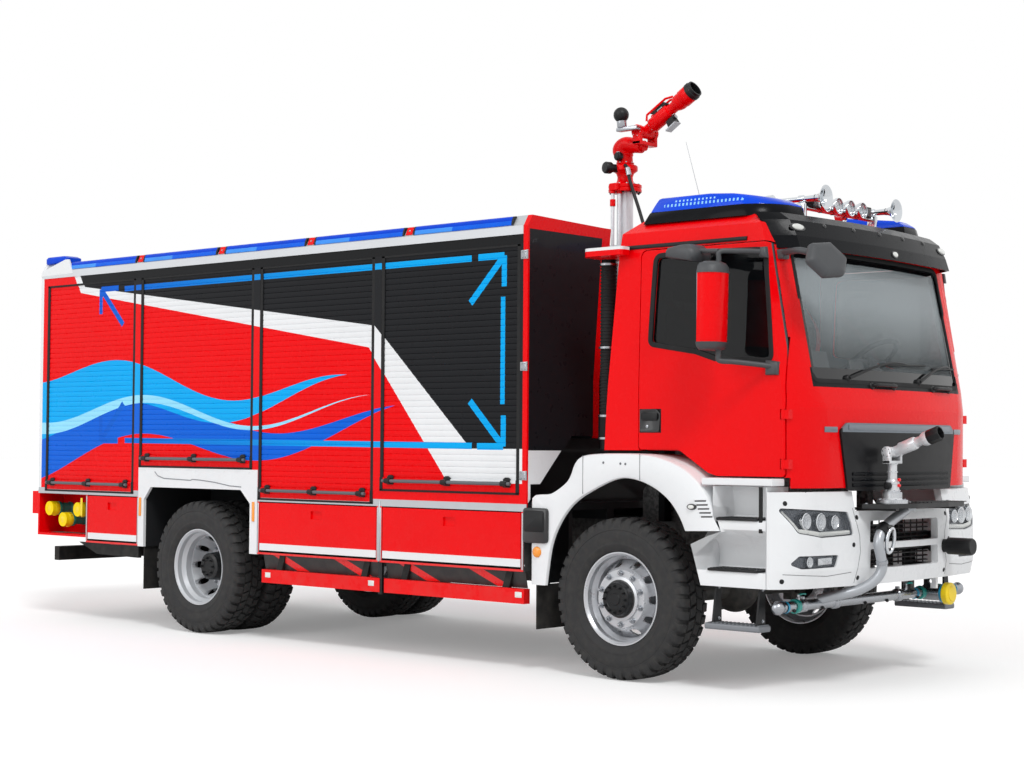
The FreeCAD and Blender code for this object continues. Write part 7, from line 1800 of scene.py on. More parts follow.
def make_bumper_fittings():
    """Bolts, seams, tow link, air-opening bars and the deck's louvres."""
    tree = tree_of("front_bumper")
    bolts, seams, mesh, link = Shape(), Shape(), Shape(), Shape()
    for sign in (-1, 1):
        for y, z in ((-1.155, 1.165), (-1.180, 0.700), (-0.560, 1.072), (-0.545, 0.700), (-0.600, 0.905)):
            for hit, normal in dropped(tree, [(RAYS_FROM, -sign * y, z)], (-1, 0, 0)):
                bolts.turned([(0.0, -0.002), (0.0145, -0.002), (0.0145, 0.002), (0.009, 0.0045),
                              (0.0, 0.005)], hit, normal, 24, 0)
        seam = [(RAYS_FROM, sign * y, z) for y, z in ((0.585, 1.130), (0.575, 1.05), (0.540, 0.96),
                                                      (0.532, 0.86), (0.560, 0.76),
                                                     (0.575, 0.670))]
        hits = dropped(tree, densely(seam, 0.03), (-1, 0, 0))
        if len(hits) > 2:
            laid_bar(seams, hits, 0.0022, 0.0012, 0)
        seam = [(RAYS_FROM, sign * y, z) for y, z in ((0.62, 0.738), (0.85, 0.722), (1.18, 0.742))]
        hits = dropped(tree, densely(seam, 0.03), (-1, 0, 0))
        laid_bar(seams, hits, 0.0020, 0.0012, 0)
    for ahead, half, heights in ((1.310, 0.426, (0.930, 0.958, 0.986, 1.014)),
                                 (1.306, 0.430, (0.772, 0.800, 0.828, 0.856))):
        for z in heights:
            mesh.rows([[Vector((fx(ahead + d), y, z + h)) for d, h in
                        ((0, 0), (0.016, -0.004), (0.018, 0.002), (0.002, 0.006))] for y in (-half, half)],
                      0)
    for y in [-0.40 + 0.08 * i for i in range(11)]:
        mesh.block((fx(1.300), y - 0.003, 0.756), (fx(1.306), y + 0.003, 1.044), 0)
    centre = Vector((fx(1.520), -0.395, 0.925))
    ring = []
    for k in range(28):
        turn = 2 * math.pi * k / 28
        tall = 0.082 if math.sin(turn) > 0 else 0.070
        ring.append(centre + Vector((0.010 * math.sin(turn), 0.044 * math.cos(turn),
                                     tall * math.sin(turn))))
    rows = []
    for k in range(28):
        ahead = (ring[(k + 1) % 28] - ring[k - 1]).normalized()
        side = Vector((1, 0, 0))
        side = (side - ahead * side.dot(ahead)).normalized()
        across = ahead.cross(side)
        turns = [2 * math.pi * j / 12 for j in range(12)]
        rows.append([ring[k] + (side * math.cos(t) + across * math.sin(t)) * 0.0115 for t in turns])
    link.rows(rows, 0, loop=True)
    link.turned([(0.0, -0.030), (0.020, -0.030), (0.026, -0.022), (0.026, 0.020), (0.018, 0.028),
                 (0.0, 0.028)],
                centre + Vector((-0.008, 0, 0.076)), (0, 1, 0), 24, 1)
    link.pipe([centre + Vector((-0.008, 0, 0.076)), centre + Vector((-0.070, 0, 0.076))], 0.016, 18, 1)
    piece("bumper_bolts", bolts, "truck", [PLASTIC], sharp=50)
    piece("bumper_seams", seams, "truck",
          [surface("seam_grey", (rgb(120, 122, 125), 0.6, 0.0), grain=0.1)], sharp=60)
    piece("bumper_mesh", mesh, "truck", [PLASTIC], sharp=40)
    piece("tow_link", link, "truck", [CHROME_MAT, CHASSIS_MAT], sharp=50)
    deck = Shape()
    top = 1.1565
    for i in range(6):
        x0 = fx(1.424 + i * 0.028)
        deck.rows([[Vector((x0 + d, y, top + h)) for d, h in ((0, -0.001), (0.003, 0.0045), (0.009, 0.0045),
                                                              (0.012, -0.001))]
                   for y in (0.03, 0.485)], 0)
    for y in (-0.53, -0.10, 0.0, 0.50):
        bolt(deck, (fx(1.430), y, top - 0.0005), (0, 0, 1), 0.009, 0.006, 1)
    piece("deck_louvres", deck, "truck", [PLASTIC, STEEL_MAT], sharp=40)


# ------------------------------------------------------------------ front fenders and steps
FENDER_TOP = [(-0.697, 0.580), (-0.697, 1.150), (-0.683, 1.176), (-0.560, 1.179), (-0.515, 1.190),
              (-0.395, 1.262), (-0.360, 1.310), (-0.338, 1.372), (-0.305, 1.418), (-0.262, 1.441),
              (-0.107, 1.455), (0.217, 1.455), (0.360, 1.436), (0.530, 1.381), (0.630, 1.316),
              (0.700, 1.246), (0.752, 1.170), (0.796, 1.073), (0.833, 0.989)]
FENDER_FOOT = [(0.560, 0.979), (0.520, 1.062), (0.452, 1.152), (0.352, 1.226), (0.225, 1.280),
               (0.085, 1.303), (-0.020, 1.281), (-0.150, 1.226), (-0.300, 1.152), (-0.400, 1.062),
               (-0.478, 0.948), (-0.520, 0.850), (-0.541, 0.749), (-0.566, 0.580)]


def smoothed(points, passes=2):
    """Corner cutting of an open 2-D line; ends stay."""
    line = [Vector(p) for p in points]
    for _ in range(passes):
        made = [line[0]]
        for a, b in zip(line, line[1:]):
            made += [a.lerp(b, 0.25), a.lerp(b, 0.75)]
        line = made + [line[-1]]
    return line


def facing_wheel(g):
    """Mask of the mudguard's faces that look towards the front wheels' axle."""
    normal = g.node("ShaderNodeTexCoord").outputs["Normal"]
    away = g.node("ShaderNodeVectorMath", g.place, (FRONT_AXLE, 0, AXLE_HEIGHT),
                  operation="SUBTRACT").outputs[0]
    across = g.node("ShaderNodeVectorMath", away, (1, 0, 1), operation="MULTIPLY").outputs[0]
    towards = g.node("ShaderNodeVectorMath", across, normal, operation="DOT_PRODUCT").outputs["Value"]
    return g.both(g.below(towards, -0.06), g.below(g.size(g.y), 1.212))


def make_fenders():
    """White mudguard with rounded edges round the wheel opening, and its fittings."""
    top = smoothed([(fx(x), z) for x, z in FENDER_TOP[1:-1]])
    top = [Vector((fx(-0.697), 0.580))] + top + [Vector((fx(0.833), 0.989))]
    foot = smoothed([(fx(x), z) for x, z in FENDER_FOOT], passes=4)
    count = 72

    def evenly(line):
        lengths = [0.0]
        for a, b in zip(line, line[1:]):
            lengths.append(lengths[-1] + (b - a).length)
        out = []
        for k in range(count + 1):
            want = lengths[-1] * k / count
            i = max(j for j in range(len(lengths)) if lengths[j] <= want + 1e-9)
            if i >= len(line) - 1:
                out.append(line[-1].copy())
                continue
            share = (want - lengths[i]) / max(lengths[i + 1] - lengths[i], 1e-9)
            out.append(line[i].lerp(line[i + 1], share))
        return out

    outer, inner = evenly(top), evenly(foot[::-1])
    rows, shape, fittings = [], Shape(), Shape()
    for a, b in zip(outer, inner):
        across = (b - a).normalized()
        width = (b - a).length
        lip = min(0.022, width * 0.2)
        outline = [(a, 0.855), (a, 1.216), (a + across * 0.006, 1.230),
                   (a + across * lip, 1.2385), (a + across * (width * 0.55), 1.2395),
                   (b - across * lip, 1.2385), (b - across * 0.006, 1.232), (b, 1.222), (b, 1.190),
                   (b - across * 0.010, 1.188), (b - across * 0.010, 1.214),
                   (b - across * (width * 0.5), 1.222), (a + across * 0.012, 1.214),
                   (a + across * 0.012, 0.855)]
        rows.append([Vector((p.x, -y, p.y)) for p, y in outline])
    shape.rows(rows, 0)
    shape.both_sides()
    piece("front_mudguards", shape, "truck", [paint("mudguard_white", WHITE, lambda g: [
        (facing_wheel(g), BLACK)])], ["front_fenders"], sharp=32)
    for i in range(5):
        z = 1.066 + i * 0.024
        x = fx(0.735 - i * 0.012)
        fittings.rows([[Vector((x + a, -1.239 - d, z + b)) for a,
                        b in ((-0.044, 0), (0.040, 0.003), (0.040, 0.011), (-0.044, 0.008))]
                       for d in (-0.003, 0.0012)], 1)
        fittings.rows([[Vector((x + a, -1.240 - d, z + b)) for a,
                        b in ((-0.048, 0.009), (0.042, 0.012), (0.040, 0.019), (-0.048, 0.016))]
                       for d in (-0.002, 0.005)], 0)
    for layers, mark in ((((1.0, 0.0), (1.0, 0.008), (0.8, 0.014)), 1),
                         (((0.66, 0.013), (0.6, 0.018), (0.3, 0.020)), 2)):
        fittings.rows([[Vector((fx(0.622 + math.cos(t) * 0.036 * s), -1.238 - d,
                                1.130 + math.sin(t) * 0.019 * s))
                        for t in [2 * math.pi * k / 24 for k in range(24)]] for s, d in layers], mark)
    for x in (-0.250, 0.215):
        z0, z1 = (1.190, 1.440) if x < 0 else (1.290, 1.454)
        fittings.rows([[Vector((fx(x + a), -1.2375 - d, z)) for a,
                        z in ((-0.0022, z0), (0.0022, z0), (0.0022, z1), (-0.0022, z1))]
                       for d in (0.0, 0.0028)], 3)
    for x, z in ((-0.08, 1.395), (0.06, 1.390), (0.10, 1.388)):
        bolt(fittings, (fx(x), -1.2395, z), (0, -1, 0), 0.006, 0.003, 3)
    rounded_box(fittings, (fx(-0.750), -1.262, 0.856), (fx(-0.538), -1.205, 1.088), 1, 0.030, 1)
    rounded_box(fittings, (fx(-0.735), -1.268, 0.930), (fx(-0.560), -1.258, 1.070), 1, 0.018, 4)
    fittings.turned([(0.0, -0.002), (0.036, -0.002), (0.036, 0.006), (0.030, 0.013), (0.0, 0.016)],
                    (fx(-0.637), -1.239, 0.797), (0, -1, 0), 32, 5)
    fittings.both_sides()
    piece("mudguard_fittings", fittings, "truck",
          [WHITE_PAINT, BLACK_TRIM, PEARL, surface("seam_line", (rgb(110, 112, 116), 0.6, 0.0), grain=0.1),
           PLASTIC, AMBER_MAT],
          bevel=0.0010, sharp=45)


def make_steps():
    """Treads, recess details, the sill under the door and the hanging step."""
    treads, parts, sill = Shape(), Shape(), Shape()
    for x0, x1, z in ((0.805, 1.105, 1.062), (0.742, 1.105, 0.752)):
        rounded_box(treads, (fx(x0), -1.244, z - 0.006), (fx(x1), -1.075, z + 0.010), 1, 0.005, 0)
        count = int((x1 - x0) / 0.028)
        for i in range(count):
            x = fx(x0 + 0.018 + i * 0.028)
            for y in (-1.222, -1.190, -1.158, -1.126, -1.094):
                treads.rows([[Vector((x + a, y + b, z + 0.009 + h)) for a,
                              b in ((-0.008, -0.010), (0.008, -0.010), (0.008, 0.010), (-0.008, 0.010))]
                             for h in (0.0, 0.004)], 0)
    rounded_box(treads, (fx(0.700), -1.216, 0.386), (fx(1.100), -1.084, 0.424), 0, 0.012, 1)
    for i in range(13):
        x = fx(0.720 + i * 0.030)
        treads.rows([[Vector((x + a, y, 0.4235 + h)) for a, h in ((0, 0), (0.003, 0.006), (0.012, 0.006),
                                                                  (0.015, 0))]
                     for y in (-1.205, -1.095)], 1)
    for x in (0.742, 1.062):
        parts.rows([[Vector((fx(x + d), y, z)) for y,
                     z in ((-1.160, 0.655), (-1.112, 0.655), (-1.108, 0.425), (-1.196, 0.425))]
                    for d in (0.0, 0.014)], 0)
        for z in (0.640, 0.450):
            bolt(parts, (fx(x + 0.014), -1.136, z), (1, 0, 0), 0.008, 0.006, 1)
    parts.turned([(0.0, -0.002), (0.034, -0.002), (0.034, 0.003), (0.026, 0.004), (0.022, -0.001),
                  (0.0, -0.001)],
                 (fx(1.055), -1.016, 1.205), (0, -1, 0), 32, 0)
    parts.turned([(0.0, 0.0), (0.016, 0.0), (0.020, 0.008), (0.020, 0.024), (0.014, 0.030), (0.0, 0.031)],
                 (fx(1.060), -1.018, 1.130), (0, -1, 0), 24, 0)
    rounded_box(sill, (fx(0.690), -1.236, 1.268), (fx(1.205), -1.100, 1.312), 0, 0.008, 0)
    rounded_box(sill, (fx(1.110), -1.2345, 0.985), (fx(1.135), -1.225, 1.262), 1, 0.004, 1)
    for shape in (treads, parts, sill):
        shape.both_sides()
    grey = surface("tread_alloy", (rgb(128, 131, 136), 0.5, 0.6), grain=0.2, grain_scale=200)
    piece("step_treads", treads, "truck", [PLASTIC, grey], sharp=40)
    piece("step_parts", parts, "truck", [PLASTIC, STEEL_MAT], bevel=0.001, sharp=40)
    piece("door_sills", sill, "truck", [WHITE_PAINT, RUBBER_MAT], sharp=40)


# ------------------------------------------------------------------ superstructure fittings
def make_body_fittings():
    """Locker trims, hinge plates, reflectors, guard panels and the rear corner fairings."""
    trims, plates, panels, reflectors = Shape(), Shape(), Shape(), Shape()
    for z in (2.780, 2.030, 1.300):
        rounded_box(plates, (1.545, -1.2555, z - 0.030), (1.602, -1.2492, z + 0.030), 1, 0.004, 0)
        plates.turned([(0.0, -0.031), (0.008, -0.031), (0.008, 0.031), (0.0, 0.031)], (1.603, -1.2545, z),
                      (0, 0, 1), 16, 0)
        for dx, dz in ((0.014, 0.018), (0.014, -0.018), (0.040, 0.018), (0.040, -0.018)):
            bolt(plates, (1.545 + dx, -1.2553, z + dz), (0, -1, 0), 0.0045, 0.003, 0)
    for a, b in ((-3.326, -2.608), (-1.121, 0.200), (0.215, 1.580)):
        for x0, x1, z0, z1 in ((a, a + 0.014, 0.672, 1.050), (b - 0.014, b, 0.672, 1.050)):
            rounded_box(trims, (x0, -1.2525, z0), (x1, -1.2500, z1), 1, 0.001, 0)
    rounded_box(trims, (0.199, -1.2540, 0.665), (0.216, -1.2495, 1.100), 1, 0.002, 0)
    for x in (REAR_AXLE - 0.708, REAR_AXLE + 0.706):
        rounded_box(reflectors, (x - 0.014, -1.2625, 0.905), (x + 0.014, -1.2548, 1.055), 1, 0.006, 0)
    rounded_box(reflectors, (-3.405, -1.2545, 0.880), (-3.378, -1.2490, 1.030), 1, 0.004, 1)
    for x in (-1.035, 0.090, 1.500):
        rounded_box(reflectors, (x, -1.2415, 0.486), (x + 0.060, -1.2398, 0.486 + 0.038), 1, 0.003, 2)
    for x0, x1 in ((-1.080, 0.195), (0.250, 1.575)):
        panels.rows([[Vector((x, y, z)) for y, z in ((-1.222, 0.665), (-1.196, 0.548), (-1.192, 0.548),
                                                     (-1.218, 0.665))]
                     for x in densely_range(x0, x1, 24)], 0)
    panels.rows([[Vector((x, y, z)) for y, z in ((-1.2405, 0.657), (-1.2405, 0.655), (-1.240, 0.657))]
                 for x in (-3.30, -2.62)], 0)
    rounded_box(panels, (0.188, -1.236, 0.430), (0.226, -1.214, 0.655), 1, 0.004, 1)
    fairing = Shape()
    fairing.rows([[Vector((x, y, z)) for x, z in ((BODY_REAR + 0.004, 2.966), (BODY_REAR + 0.030, 2.990),
                                                  (BODY_REAR + 0.350, 3.072), (BODY_REAR + 0.398, 3.072),
                                                  (BODY_REAR + 0.470, 2.948), (BODY_REAR + 0.004, 2.940))]
                  for y in (-1.257, -1.2535, -1.236)], 0)
    for shape in (trims, plates, reflectors, panels, fairing):
        shape.both_sides()
    striped = surface("guard_panels", BLACK, lambda g: [
        (g.both(g.above(g.math("FRACT", g.math("ADD", g.math("MULTIPLY", g.x, 1.48),
                                               g.math("MULTIPLY", g.z, 3.4))), 0.80)),
         RED)], grain=0.15, dust=0.15)
    piece("locker_trims", trims, "truck", [SILVER_MAT], sharp=40)
    piece("corner_hinge_plates", plates, "truck", [STEEL_MAT], bevel=0.0008, sharp=40)
    piece("side_reflectors", reflectors, "truck", [AMBER_MAT, YELLOW_MAT, PEARL], sharp=40)
    piece("guard_panels", panels, "truck", [striped, PLASTIC], sharp=40)
    piece("rear_corner_fairings", fairing, "truck", [WHITE_PAINT], bevel=0.003, sharp=40)


def densely_range(a, b, count):
    """Numbers from a to b in count even steps."""
    return [a + (b - a) * i / count for i in range(count + 1)]


def make_couplings():
    """Capped couplings in the rear bays: teal bodies, yellow caps with lugs."""
    for_truck = Shape()
    y0 = -1.000
    for dx, z, mark in ((0.130, 0.930, 1), (0.330, 0.840, 1), (0.540, 0.930, 1)):
        x = BODY_REAR + dx
        for_truck.turned([(0.046, 0.0), (0.052, 0.004), (0.052, 0.020), (0.0465, 0.026), (0.0465, 0.110),
                          (0.058, 0.118), (0.060, 0.124), (0.060, 0.150), (0.056, 0.156)], (x, y0, z),
                         (0, -1, 0), 36, 0, caps=False)
        for_truck.turned([(0.050, 0.156), (0.0605, 0.158), (0.0605, 0.196), (0.056, 0.204), (0.036, 0.208),
                          (0.033, 0.220), (0.026, 0.2255), (0.0, 0.226)], (x, y0, z), (0, -1, 0), 40, mark)
        for k in range(3):
            turn = 2 * math.pi * (k / 3 + 0.1)
            out = Vector((math.cos(turn), 0, math.sin(turn)))
            side = Vector((-math.sin(turn), 0, math.cos(turn)))
            base = Vector((x, y0 - 0.172, z)) + out * 0.055
            for_truck.rows([[base + side * s + out * h + Vector((0, d, 0)) for s,
                             h in ((-0.012, 0), (-0.008, 0.011), (0.008, 0.011), (0.012, 0))]
                            for d in (-0.012, 0.012)], mark)
        for_truck.pipe(curve_through([(x - 0.05, y0 - 0.12, z + 0.02), (x - 0.075, y0 - 0.14, z - 0.03),
                                      (x - 0.045, y0 - 0.17, z - 0.065), (x - 0.01, y0 - 0.19, z - 0.055)],
                                     5), 0.003, 8, 2)
    for_truck.both_sides()
    piece("coupling_caps", for_truck, "truck", [TEAL_MAT, YELLOW_MAT, STEEL_MAT], sharp=40)


def make_rear_fittings():
    """Number plate blank, reflectors, step tread, bolts and ladder clamps at the rear."""
    shape = Shape()
    rounded_box(shape, (BODY_REAR - 0.1065, -0.260, 0.900), (BODY_REAR - 0.1005, 0.260, 1.012), 0, 0.008, 0)
    for y in (-0.62, 0.62):
        shape.turned([(0.0, 0.0), (0.040, 0.0), (0.040, 0.006), (0.034, 0.008), (0.0, 0.008)],
                     (BODY_REAR - 0.100, y, 0.978), (-1, 0, 0), 32, 1)
    for i in range(44):
        y = -1.18 + i * 0.055
        shape.rows([[Vector((BODY_REAR - 0.092 + a, y + b, 1.0745 + h)) for a,
                     b in ((0, -0.016), (0.050, -0.016), (0.050, 0.016), (0, 0.016))]
                    for h in (0.0, 0.003)], 2)
    for y in (-1.105, -0.805, 0.805, 1.105):
        for z in (1.35, 2.05, 2.70):
            bolt(shape, (BODY_REAR - 0.0005, y, z), (-1, 0, 0), 0.008, 0.004, 3)
    for y in (-0.945, 0.475):
        shape.turned([(0.0, 0.0), (0.030, 0.0), (0.030, 0.012), (0.022, 0.018), (0.0, 0.018)],
                     (BODY_REAR, y, 2.86), (-1, 0, 0), 28, 1)
    for x, y in ((BODY_REAR, 0.725), (BODY_REAR, 1.030)):
        for z in (1.180, 2.100, 2.880):
            shape.turned([(0.015, 0.0), (0.034, 0.0), (0.034, 0.005), (0.020, 0.009), (0.015, 0.012)],
                         (x, y, z), (-1, 0, 0), 24, 3, caps=False)
    for z in (1.810, 2.490):
        shape.turned([(0.0125, 0.0), (0.030, 0.0), (0.030, 0.005), (0.018, 0.009), (0.0125, 0.012)],
                     (BODY_REAR, -1.080, z), (-1, 0, 0), 24, 3, caps=False)
    piece("rear_fittings", shape, "truck", [PEARL, RED_LENS, SILVER_MAT, STEEL_MAT],
          bevel=0.0006, sharp=40)


def make_intake():
    """Corrugated intake pipe with clamps behind the cab."""
    shape = Shape()
    x, y = fx(-0.250), -0.980
    rings = [(0.050, 1.560)]
    z = 1.560
    while z < 2.700:
        rings += [(0.0508, z + 0.004), (0.0560, z + 0.009), (0.0560, z + 0.014), (0.0508, z + 0.019)]
        z += 0.023
    shape.turned(rings, (x, y, 0), (0, 0, 1), 28, 0, caps=False)
    for h in (1.552, 1.700, 2.150, 2.700):
        shape.turned([(0.0565, h - 0.008), (0.066, h - 0.007), (0.066, h + 0.007), (0.0565, h + 0.008)],
                     (x, y, 0), (0, 0, 1), 32, 1, caps=False)
    piece("intake_bellows", shape, "truck", [RUBBER_MAT, STEEL_MAT], sharp=40)


# ------------------------------------------------------------------ cab interior
SEAT_MIDDLE = 0.630           # seats' middle planes, each side
SWELL_CAP = 0.024             # how far the cloth may move a point
PAD_VOXEL = 0.014
SEAT_CLOTH = surface("seat_cloth", (rgb(40, 41, 45), 0.88, 0.0), lambda g: [
    (g.within(g.size(g.math("SUBTRACT", g.size(g.y), SEAT_MIDDLE)), 0.0, 0.150),
     (rgb(52, 53, 58), 0.92, 0.0)),
    (g.above(g.math("SINE", g.math("MULTIPLY", g.math("ADD", g.x, g.z), 900.0)), 0.55),
     (rgb(28, 29, 32), 0.95, 0.0))],
    grain=0.6, grain_scale=900, mottle=0.2)
RED_WEBBING = surface("red_webbing", (rgb(206, 20, 26), 0.8, 0.0), grain=0.7, grain_scale=700,
                      stretch=(1, 1, 6))


def pad_form(name, outline, y0, y1, rim):
    """Closed pad from a side outline: its edges are rounded towards both flanks."""
    shape = Shape()
    middle = sum((Vector(p) for p in outline), Vector((0, 0))) / len(outline)
    rows = []
    for t in (0.0, 0.35, 0.75, 1.0):
        rows.append((y0 + rim * t, 1.0 - 0.16 * (1 - t) ** 2))
    for t in (1.0, 0.75, 0.35, 0.0):
        rows.append((y1 - rim * t, 1.0 - 0.16 * (1 - t) ** 2))
    shape.rows([[Vector((middle.x + (p[0] - middle.x) * share, y, middle.y + (p[1] - middle.y) * share))
                 for p in outline]
                for y, share in rows], 0)
    made = piece(name, shape, "truck", [SEAT_CLOTH], sharp=60)
    remesh = made.modifiers.new("remesh", "REMESH")
    remesh.mode = "VOXEL"
    remesh.voxel_size = PAD_VOXEL
    remesh.use_smooth_shade = True
    apply_modifiers(made)
    return made


def apply_modifiers(made):
    """Replaces the mesh by its evaluated copy and drops the modifiers."""
    graph = bpy.context.evaluated_depsgraph_get()
    graph.update()
    mesh = bpy.data.meshes.new_from_object(made.evaluated_get(graph))
    old = made.data
    made.modifiers.clear()
    made.data = mesh
    bpy.data.meshes.remove(old)


def swell(made):
    """Cloth pressure with a cap on how far each point may go."""
    start = [v.co.copy() for v in made.data.vertices]
    cloth = made.modifiers.new("cloth", "CLOTH")
    cloth.settings.use_pressure = True
    cloth.settings.uniform_pressure_force = 4.0
    cloth.settings.effector_weights.gravity = 0.0
    cloth.settings.quality = 5
    cloth.point_cache.frame_start = 1
    cloth.point_cache.frame_end = 20
    for frame_number in range(1, 21):
        bpy.context.scene.frame_set(frame_number)
    apply_modifiers(made)
    bpy.context.scene.frame_set(1)
    for vertex, before in zip(made.data.vertices, start):
        move = vertex.co - before
        if move.length > SWELL_CAP:
            vertex.co = before + move.normalized() * SWELL_CAP


def sew(made, seams):
    """Presses sewn channels into a pad: each seam is (axis, place, reach, depth)."""
    mesh = made.data
    normals = [v.normal.copy() for v in mesh.vertices]
    for vertex, normal in zip(mesh.vertices, normals):
        for axis, place, reach, depth in seams:
            away = abs(vertex.co[axis] - place)
            if away < reach:
                vertex.co -= normal * depth * (0.5 + 0.5 * math.cos(math.pi * away / reach))


def make_seats():
    """Driver's and crew's seats: cushions, backs and headrests, swollen and sewn."""
    arcs = 4
    forms = (("cushion", [(0.215, 1.770), (0.665, 1.785), (0.700, 1.835), (0.660, 1.860), (0.300, 1.862),
                          (0.225, 1.850)],
              0.285, 0.060, [(1, 0.150, 0.016, 0.010), (0, fx(0.47), 0.016, 0.008)]),
             ("back", [(0.175, 1.862), (0.300, 1.880), (0.200, 2.395), (0.160, 2.420), (0.128, 2.400),
                       (0.150, 2.10)],
              0.270, 0.055, [(1, 0.140, 0.016, 0.010), (2, 2.06, 0.018, 0.008), (2, 2.24, 0.018, 0.008)]),
             ("headrest", [(0.110, 2.455), (0.178, 2.455), (0.186, 2.520), (0.170, 2.600), (0.120, 2.604),
                           (0.100, 2.530)],
              0.130, 0.035, [(1, 0.085, 0.012, 0.004)]))
    for name, side, half, rim, seams in forms:
        outline = outline_path([(fx(x), z) for x, z in side], 0.030, arcs)
        first = pad_form("seat_%s_right" % name, outline, -SEAT_MIDDLE - half, -SEAT_MIDDLE + half, rim)
        swell(first)
        sides = [(axis, -SEAT_MIDDLE + sign * place if axis == 1 else place, reach, depth)
                 for axis, place, reach, depth in seams for sign in ((-1, 1) if axis == 1 else (1,))]
        sew(first, sides)
        mesh = first.data.copy()
        for vertex in mesh.vertices:
            vertex.co.y *= -1
        mesh.flip_normals()
        second = bpy.data.objects.new("seat_%s_left" % name, mesh)
        bpy.context.scene.collection.objects.link(second)
        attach(second, "truck")
        for made in (first, second):
            modifier = made.modifiers.new("subdivide", "SUBSURF")
            modifier.levels = modifier.render_levels = 1
    shape = Shape()
    for sign in (-1, 1):
        y = sign * SEAT_MIDDLE
        rounded_box(shape, (fx(0.255), y - 0.20, 1.532), (fx(0.635), y + 0.20, 1.742), 2, 0.035, 0)
        for i in range(5):
            z = 1.575 + i * 0.034
            rounded_box(shape, (fx(0.248), y - 0.207, z), (fx(0.642), y + 0.207, z + 0.014), 2, 0.040, 0)
        rounded_box(shape, (fx(0.225), y - 0.255, 1.738), (fx(0.665), y + 0.255, 1.768), 2, 0.030, 0)
        for post in (-0.065, 0.065):
            shape.pipe([(fx(0.150), y + post, 2.38), (fx(0.144), y + post, 2.50)], 0.007, 12, 1)
        strap = curve_through([(fx(0.050), y + sign * 0.330, 2.500), (fx(0.150), y + sign * 0.235, 2.445),
                               (fx(0.262), y + sign * 0.150, 2.300), (fx(0.332), y, 2.090),
                               (fx(0.385), y - sign * 0.190, 1.925), (fx(0.370), y - sign * 0.300, 1.810)],
                              6)
        rows = []
        for i, p in enumerate(strap):
            ahead = (strap[min(i + 1, len(strap) - 1)] - strap[max(i - 1, 0)]).normalized()
            across = ahead.cross(Vector((1, 0, 0.2))).normalized() * 0.024
            up = ahead.cross(across).normalized() * 0.0012
            rows.append([p - across - up, p + across - up, p + across + up, p - across + up])
        shape.rows(rows, 2)
        rounded_box(shape, (fx(0.350), y - sign * 0.300 - 0.020, 1.770),
                    (fx(0.385), y - sign * 0.300 + 0.020, 1.850), 2, 0.008, 0)
    piece("seat_frames", shape, "truck", [PLASTIC, STEEL_MAT, RED_WEBBING], ["cab_seats"],
          bevel=0.0015, sharp=40)


def make_cab_interior():
    """Things that show through the windscreen: screens, radio, clipboard, cup holder and wheel grip."""
    shape = Shape()
    for y, x, z, wide, tall, lean in ((-0.380, 1.010, 1.975, 0.120, 0.150, 0.25),
                                      (0.080, 1.020, 1.960, 0.090, 0.120, 0.30),
                                      (0.330, 0.990, 1.960, 0.045, 0.100, 0.25)):
        base = Vector((fx(x), y, z))
        up = Vector((-math.sin(lean), 0, math.cos(lean)))
        out = Vector((-up.z, 0, up.x))
        side = Vector((0, 1, 0))
        for depth, grow, mark in ((0.0, 1.0, 0), (0.009, 0.92, 1)):
            outline = outline_path([(-wide * grow, 0.0), (wide * grow, 0.0), (wide * grow, tall),
                                    (-wide * grow, tall)], 0.012, 4)
            shape.rows([[base + side * p[0] + up * (p[1] + (1 - grow) * 0.02) + out * (depth + d)
                         for p in outline]
                        for d in (0.0, 0.009 if mark == 0 else 0.001)], mark)
        shape.pipe([base - out * 0.004 + up * 0.02,
                    base - out * 0.015 - up * 0.03 + Vector((0.0, 0, -0.01))], 0.009, 12, 0)
    for y in (-0.80, -0.42, 0.16, 0.86):
        shape.rows([[Vector((fx(0.853), y + 0.062 * math.cos(t) * s,
                             1.895 + 0.030 * math.sin(t) * s)) + Vector((-d, 0, 0))
                     for t in [2 * math.pi * k / 20 for k in range(20)]] for s,
                    d in ((1.0, 0.0), (1.0, 0.006), (0.85, 0.008))], 0)
        for h in (-0.014, 0.0, 0.014):
            shape.block((fx(0.842), y - 0.050, 1.8935 + h), (fx(0.8455), y + 0.050, 1.8965 + h), 3)
    hub = Vector((fx(0.775), 0.62, 2.10))
    axis = Vector((-115, 0, 145)).normalized()
    side = axis.orthogonal().normalized()
    across = axis.cross(side)
    rows = []
    count = 40
    for i in range(count):
        turn = 2 * math.pi * i / count
        out = side * math.cos(turn) + across * math.sin(turn)
        thick = 0.0172 + (0.0018 if i % 5 == 0 else 0.0)
        rows.append([hub + out * (0.215 + thick * math.cos(a)) + axis * thick * math.sin(a)
                     for a in [2 * math.pi * k / 12 for k in range(12)]])
    shape.rows(rows, 2, loop=True)
    piece("cab_screens", shape, "truck",
          [PLASTIC, surface("dark_screen", (rgb(14, 20, 28), 0.12, 0.0), coat=0.8, mottle=0.25,
                            mottle_scale=8), RUBBER_MAT, SILVER_MAT],
          sharp=40)


# ------------------------------------------------------------------ step bodies, apron and arch trim
STEP_LEVELS = ((0.652, 0.0), (0.735, 0.0), (0.746, 0.004), (0.752, 0.150), (0.772, 0.168), (0.830, 0.168),
               (0.900, 0.140), (0.955, 0.080), (0.985, 0.026), (1.000, 0.002), (1.012, 0.0), (1.048, 0.0),
               (1.058, 0.006), (1.062, 0.150), (1.085, 0.168), (1.150, 0.166), (1.262, 0.150))


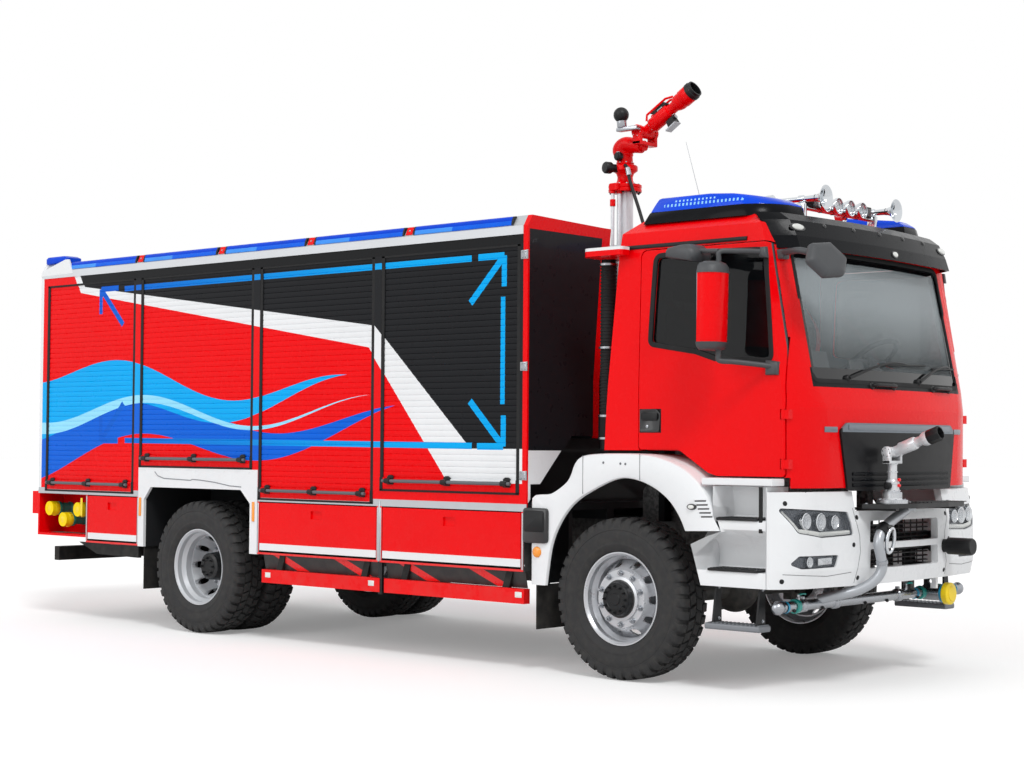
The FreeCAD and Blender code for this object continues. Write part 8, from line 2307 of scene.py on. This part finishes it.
def make_step_bodies():
    """Entrance steps as one moulded shell with two hollow treads each side."""
    shape = Shape()
    across = 36
    rows = []
    for i in range(across + 1):
        u = i / across
        start, end = min(u / 0.10, 1.0), min((1.0 - u) / 0.05, 1.0)
        hollow = (start * start * (3 - 2 * start)) * (end * end * (3 - 2 * end))
        row = []
        for z, depth in STEP_LEVELS + ((1.262, 0.245), (0.652, 0.245)):
            if z < 0.985:
                left = 0.686 - 0.077 * (z - 0.652) / 0.249 if z < 0.901 else 0.609 + 0.20 * (z - 0.901) / 0.084
            else:
                left = 0.836 - 0.060 * min((z - 0.985) / 0.09, 1.0)
            inward = depth if depth > 0.2 else depth * hollow
            row.append(Vector((fx(left + (1.161 - left) * u), -1.2348 + inward, z)))
        rows.append(row)
    shape.rows(rows, 0)
    shape.both_sides()
    piece("step_bodies", shape, "truck", [WHITE_PAINT], ["entrance_steps"], sharp=34)


def make_apron():
    """Lower edge of the cab's front corners, under the lit panel."""
    tree = tree_of("cab_shell")
    shape = Shape()
    centre = Vector((fx(0.90), 0, 1.330))
    rows = []
    for i in range(25):
        turn = math.radians(-49.0 - 26.0 * i / 24)
        out = Vector((math.cos(turn), math.sin(turn), 0))
        hit = tree.ray_cast(centre + out * 2.0, -out)[0]
        if hit is None:
            continue
        rows.append([hit - out * back + Vector((0, 0, z - hit.z))
                     for back, z in ((0.016, 1.322), (0.0, 1.322), (0.0006, 1.262), (0.004, 1.254),
                                     (0.016, 1.254))])
    shape.rows(rows, 0)
    shape.both_sides()
    piece("cab_aprons", shape, "truck", [RED_PAINT], sharp=40)


def make_arch_trim():
    """Pressed scoop line on the rear arch frame and its small rivets."""
    shape = Shape()
    line = [(-0.520, 1.268), (-0.480, 1.236), (-0.400, 1.216), (-0.060, 1.206), (-0.040, 1.214),
            (0.060, 1.210), (0.240, 1.196), (0.420, 1.172), (0.560, 1.166)]
    path = [Vector((REAR_AXLE + x, -1.2555, z)) for x, z in line]
    normal = Vector((0, -1, 0))
    laid_bar(shape, [(p, normal) for p in densely(path, 0.03)], 0.0038, 0.0022, 0)
    for x in (-0.65, -0.35, 0.0, 0.35, 0.65):
        bolt(shape, (REAR_AXLE + x, -1.2550, 1.280), (0, -1, 0), 0.005, 0.002, 1)
    shape.both_sides()
    piece("arch_frame_trims", shape, "truck",
          [surface("pressed_line", (rgb(134, 137, 142), 0.5, 0.0), grain=0.1), WHITE_PAINT], sharp=50)


dress_frame()
make_tyres()
make_wheel_fittings()
make_shutters()
make_roof_lights()
make_cab_lights()
make_road_lamps()
make_mirrors()
make_window_seals()
make_pillar_skins()
make_cab_strips()
make_screen_fittings()
make_visor_fittings()
make_antenna()
make_grille_fittings()
make_roof_monitor()
make_front_monitor()
make_mast()
make_front_pipework()
make_bumper_fittings()
make_fenders()
make_steps()
make_body_fittings()
make_couplings()
make_rear_fittings()
make_intake()
make_seats()
make_cab_interior()
make_step_bodies()
make_apron()
make_arch_trim()
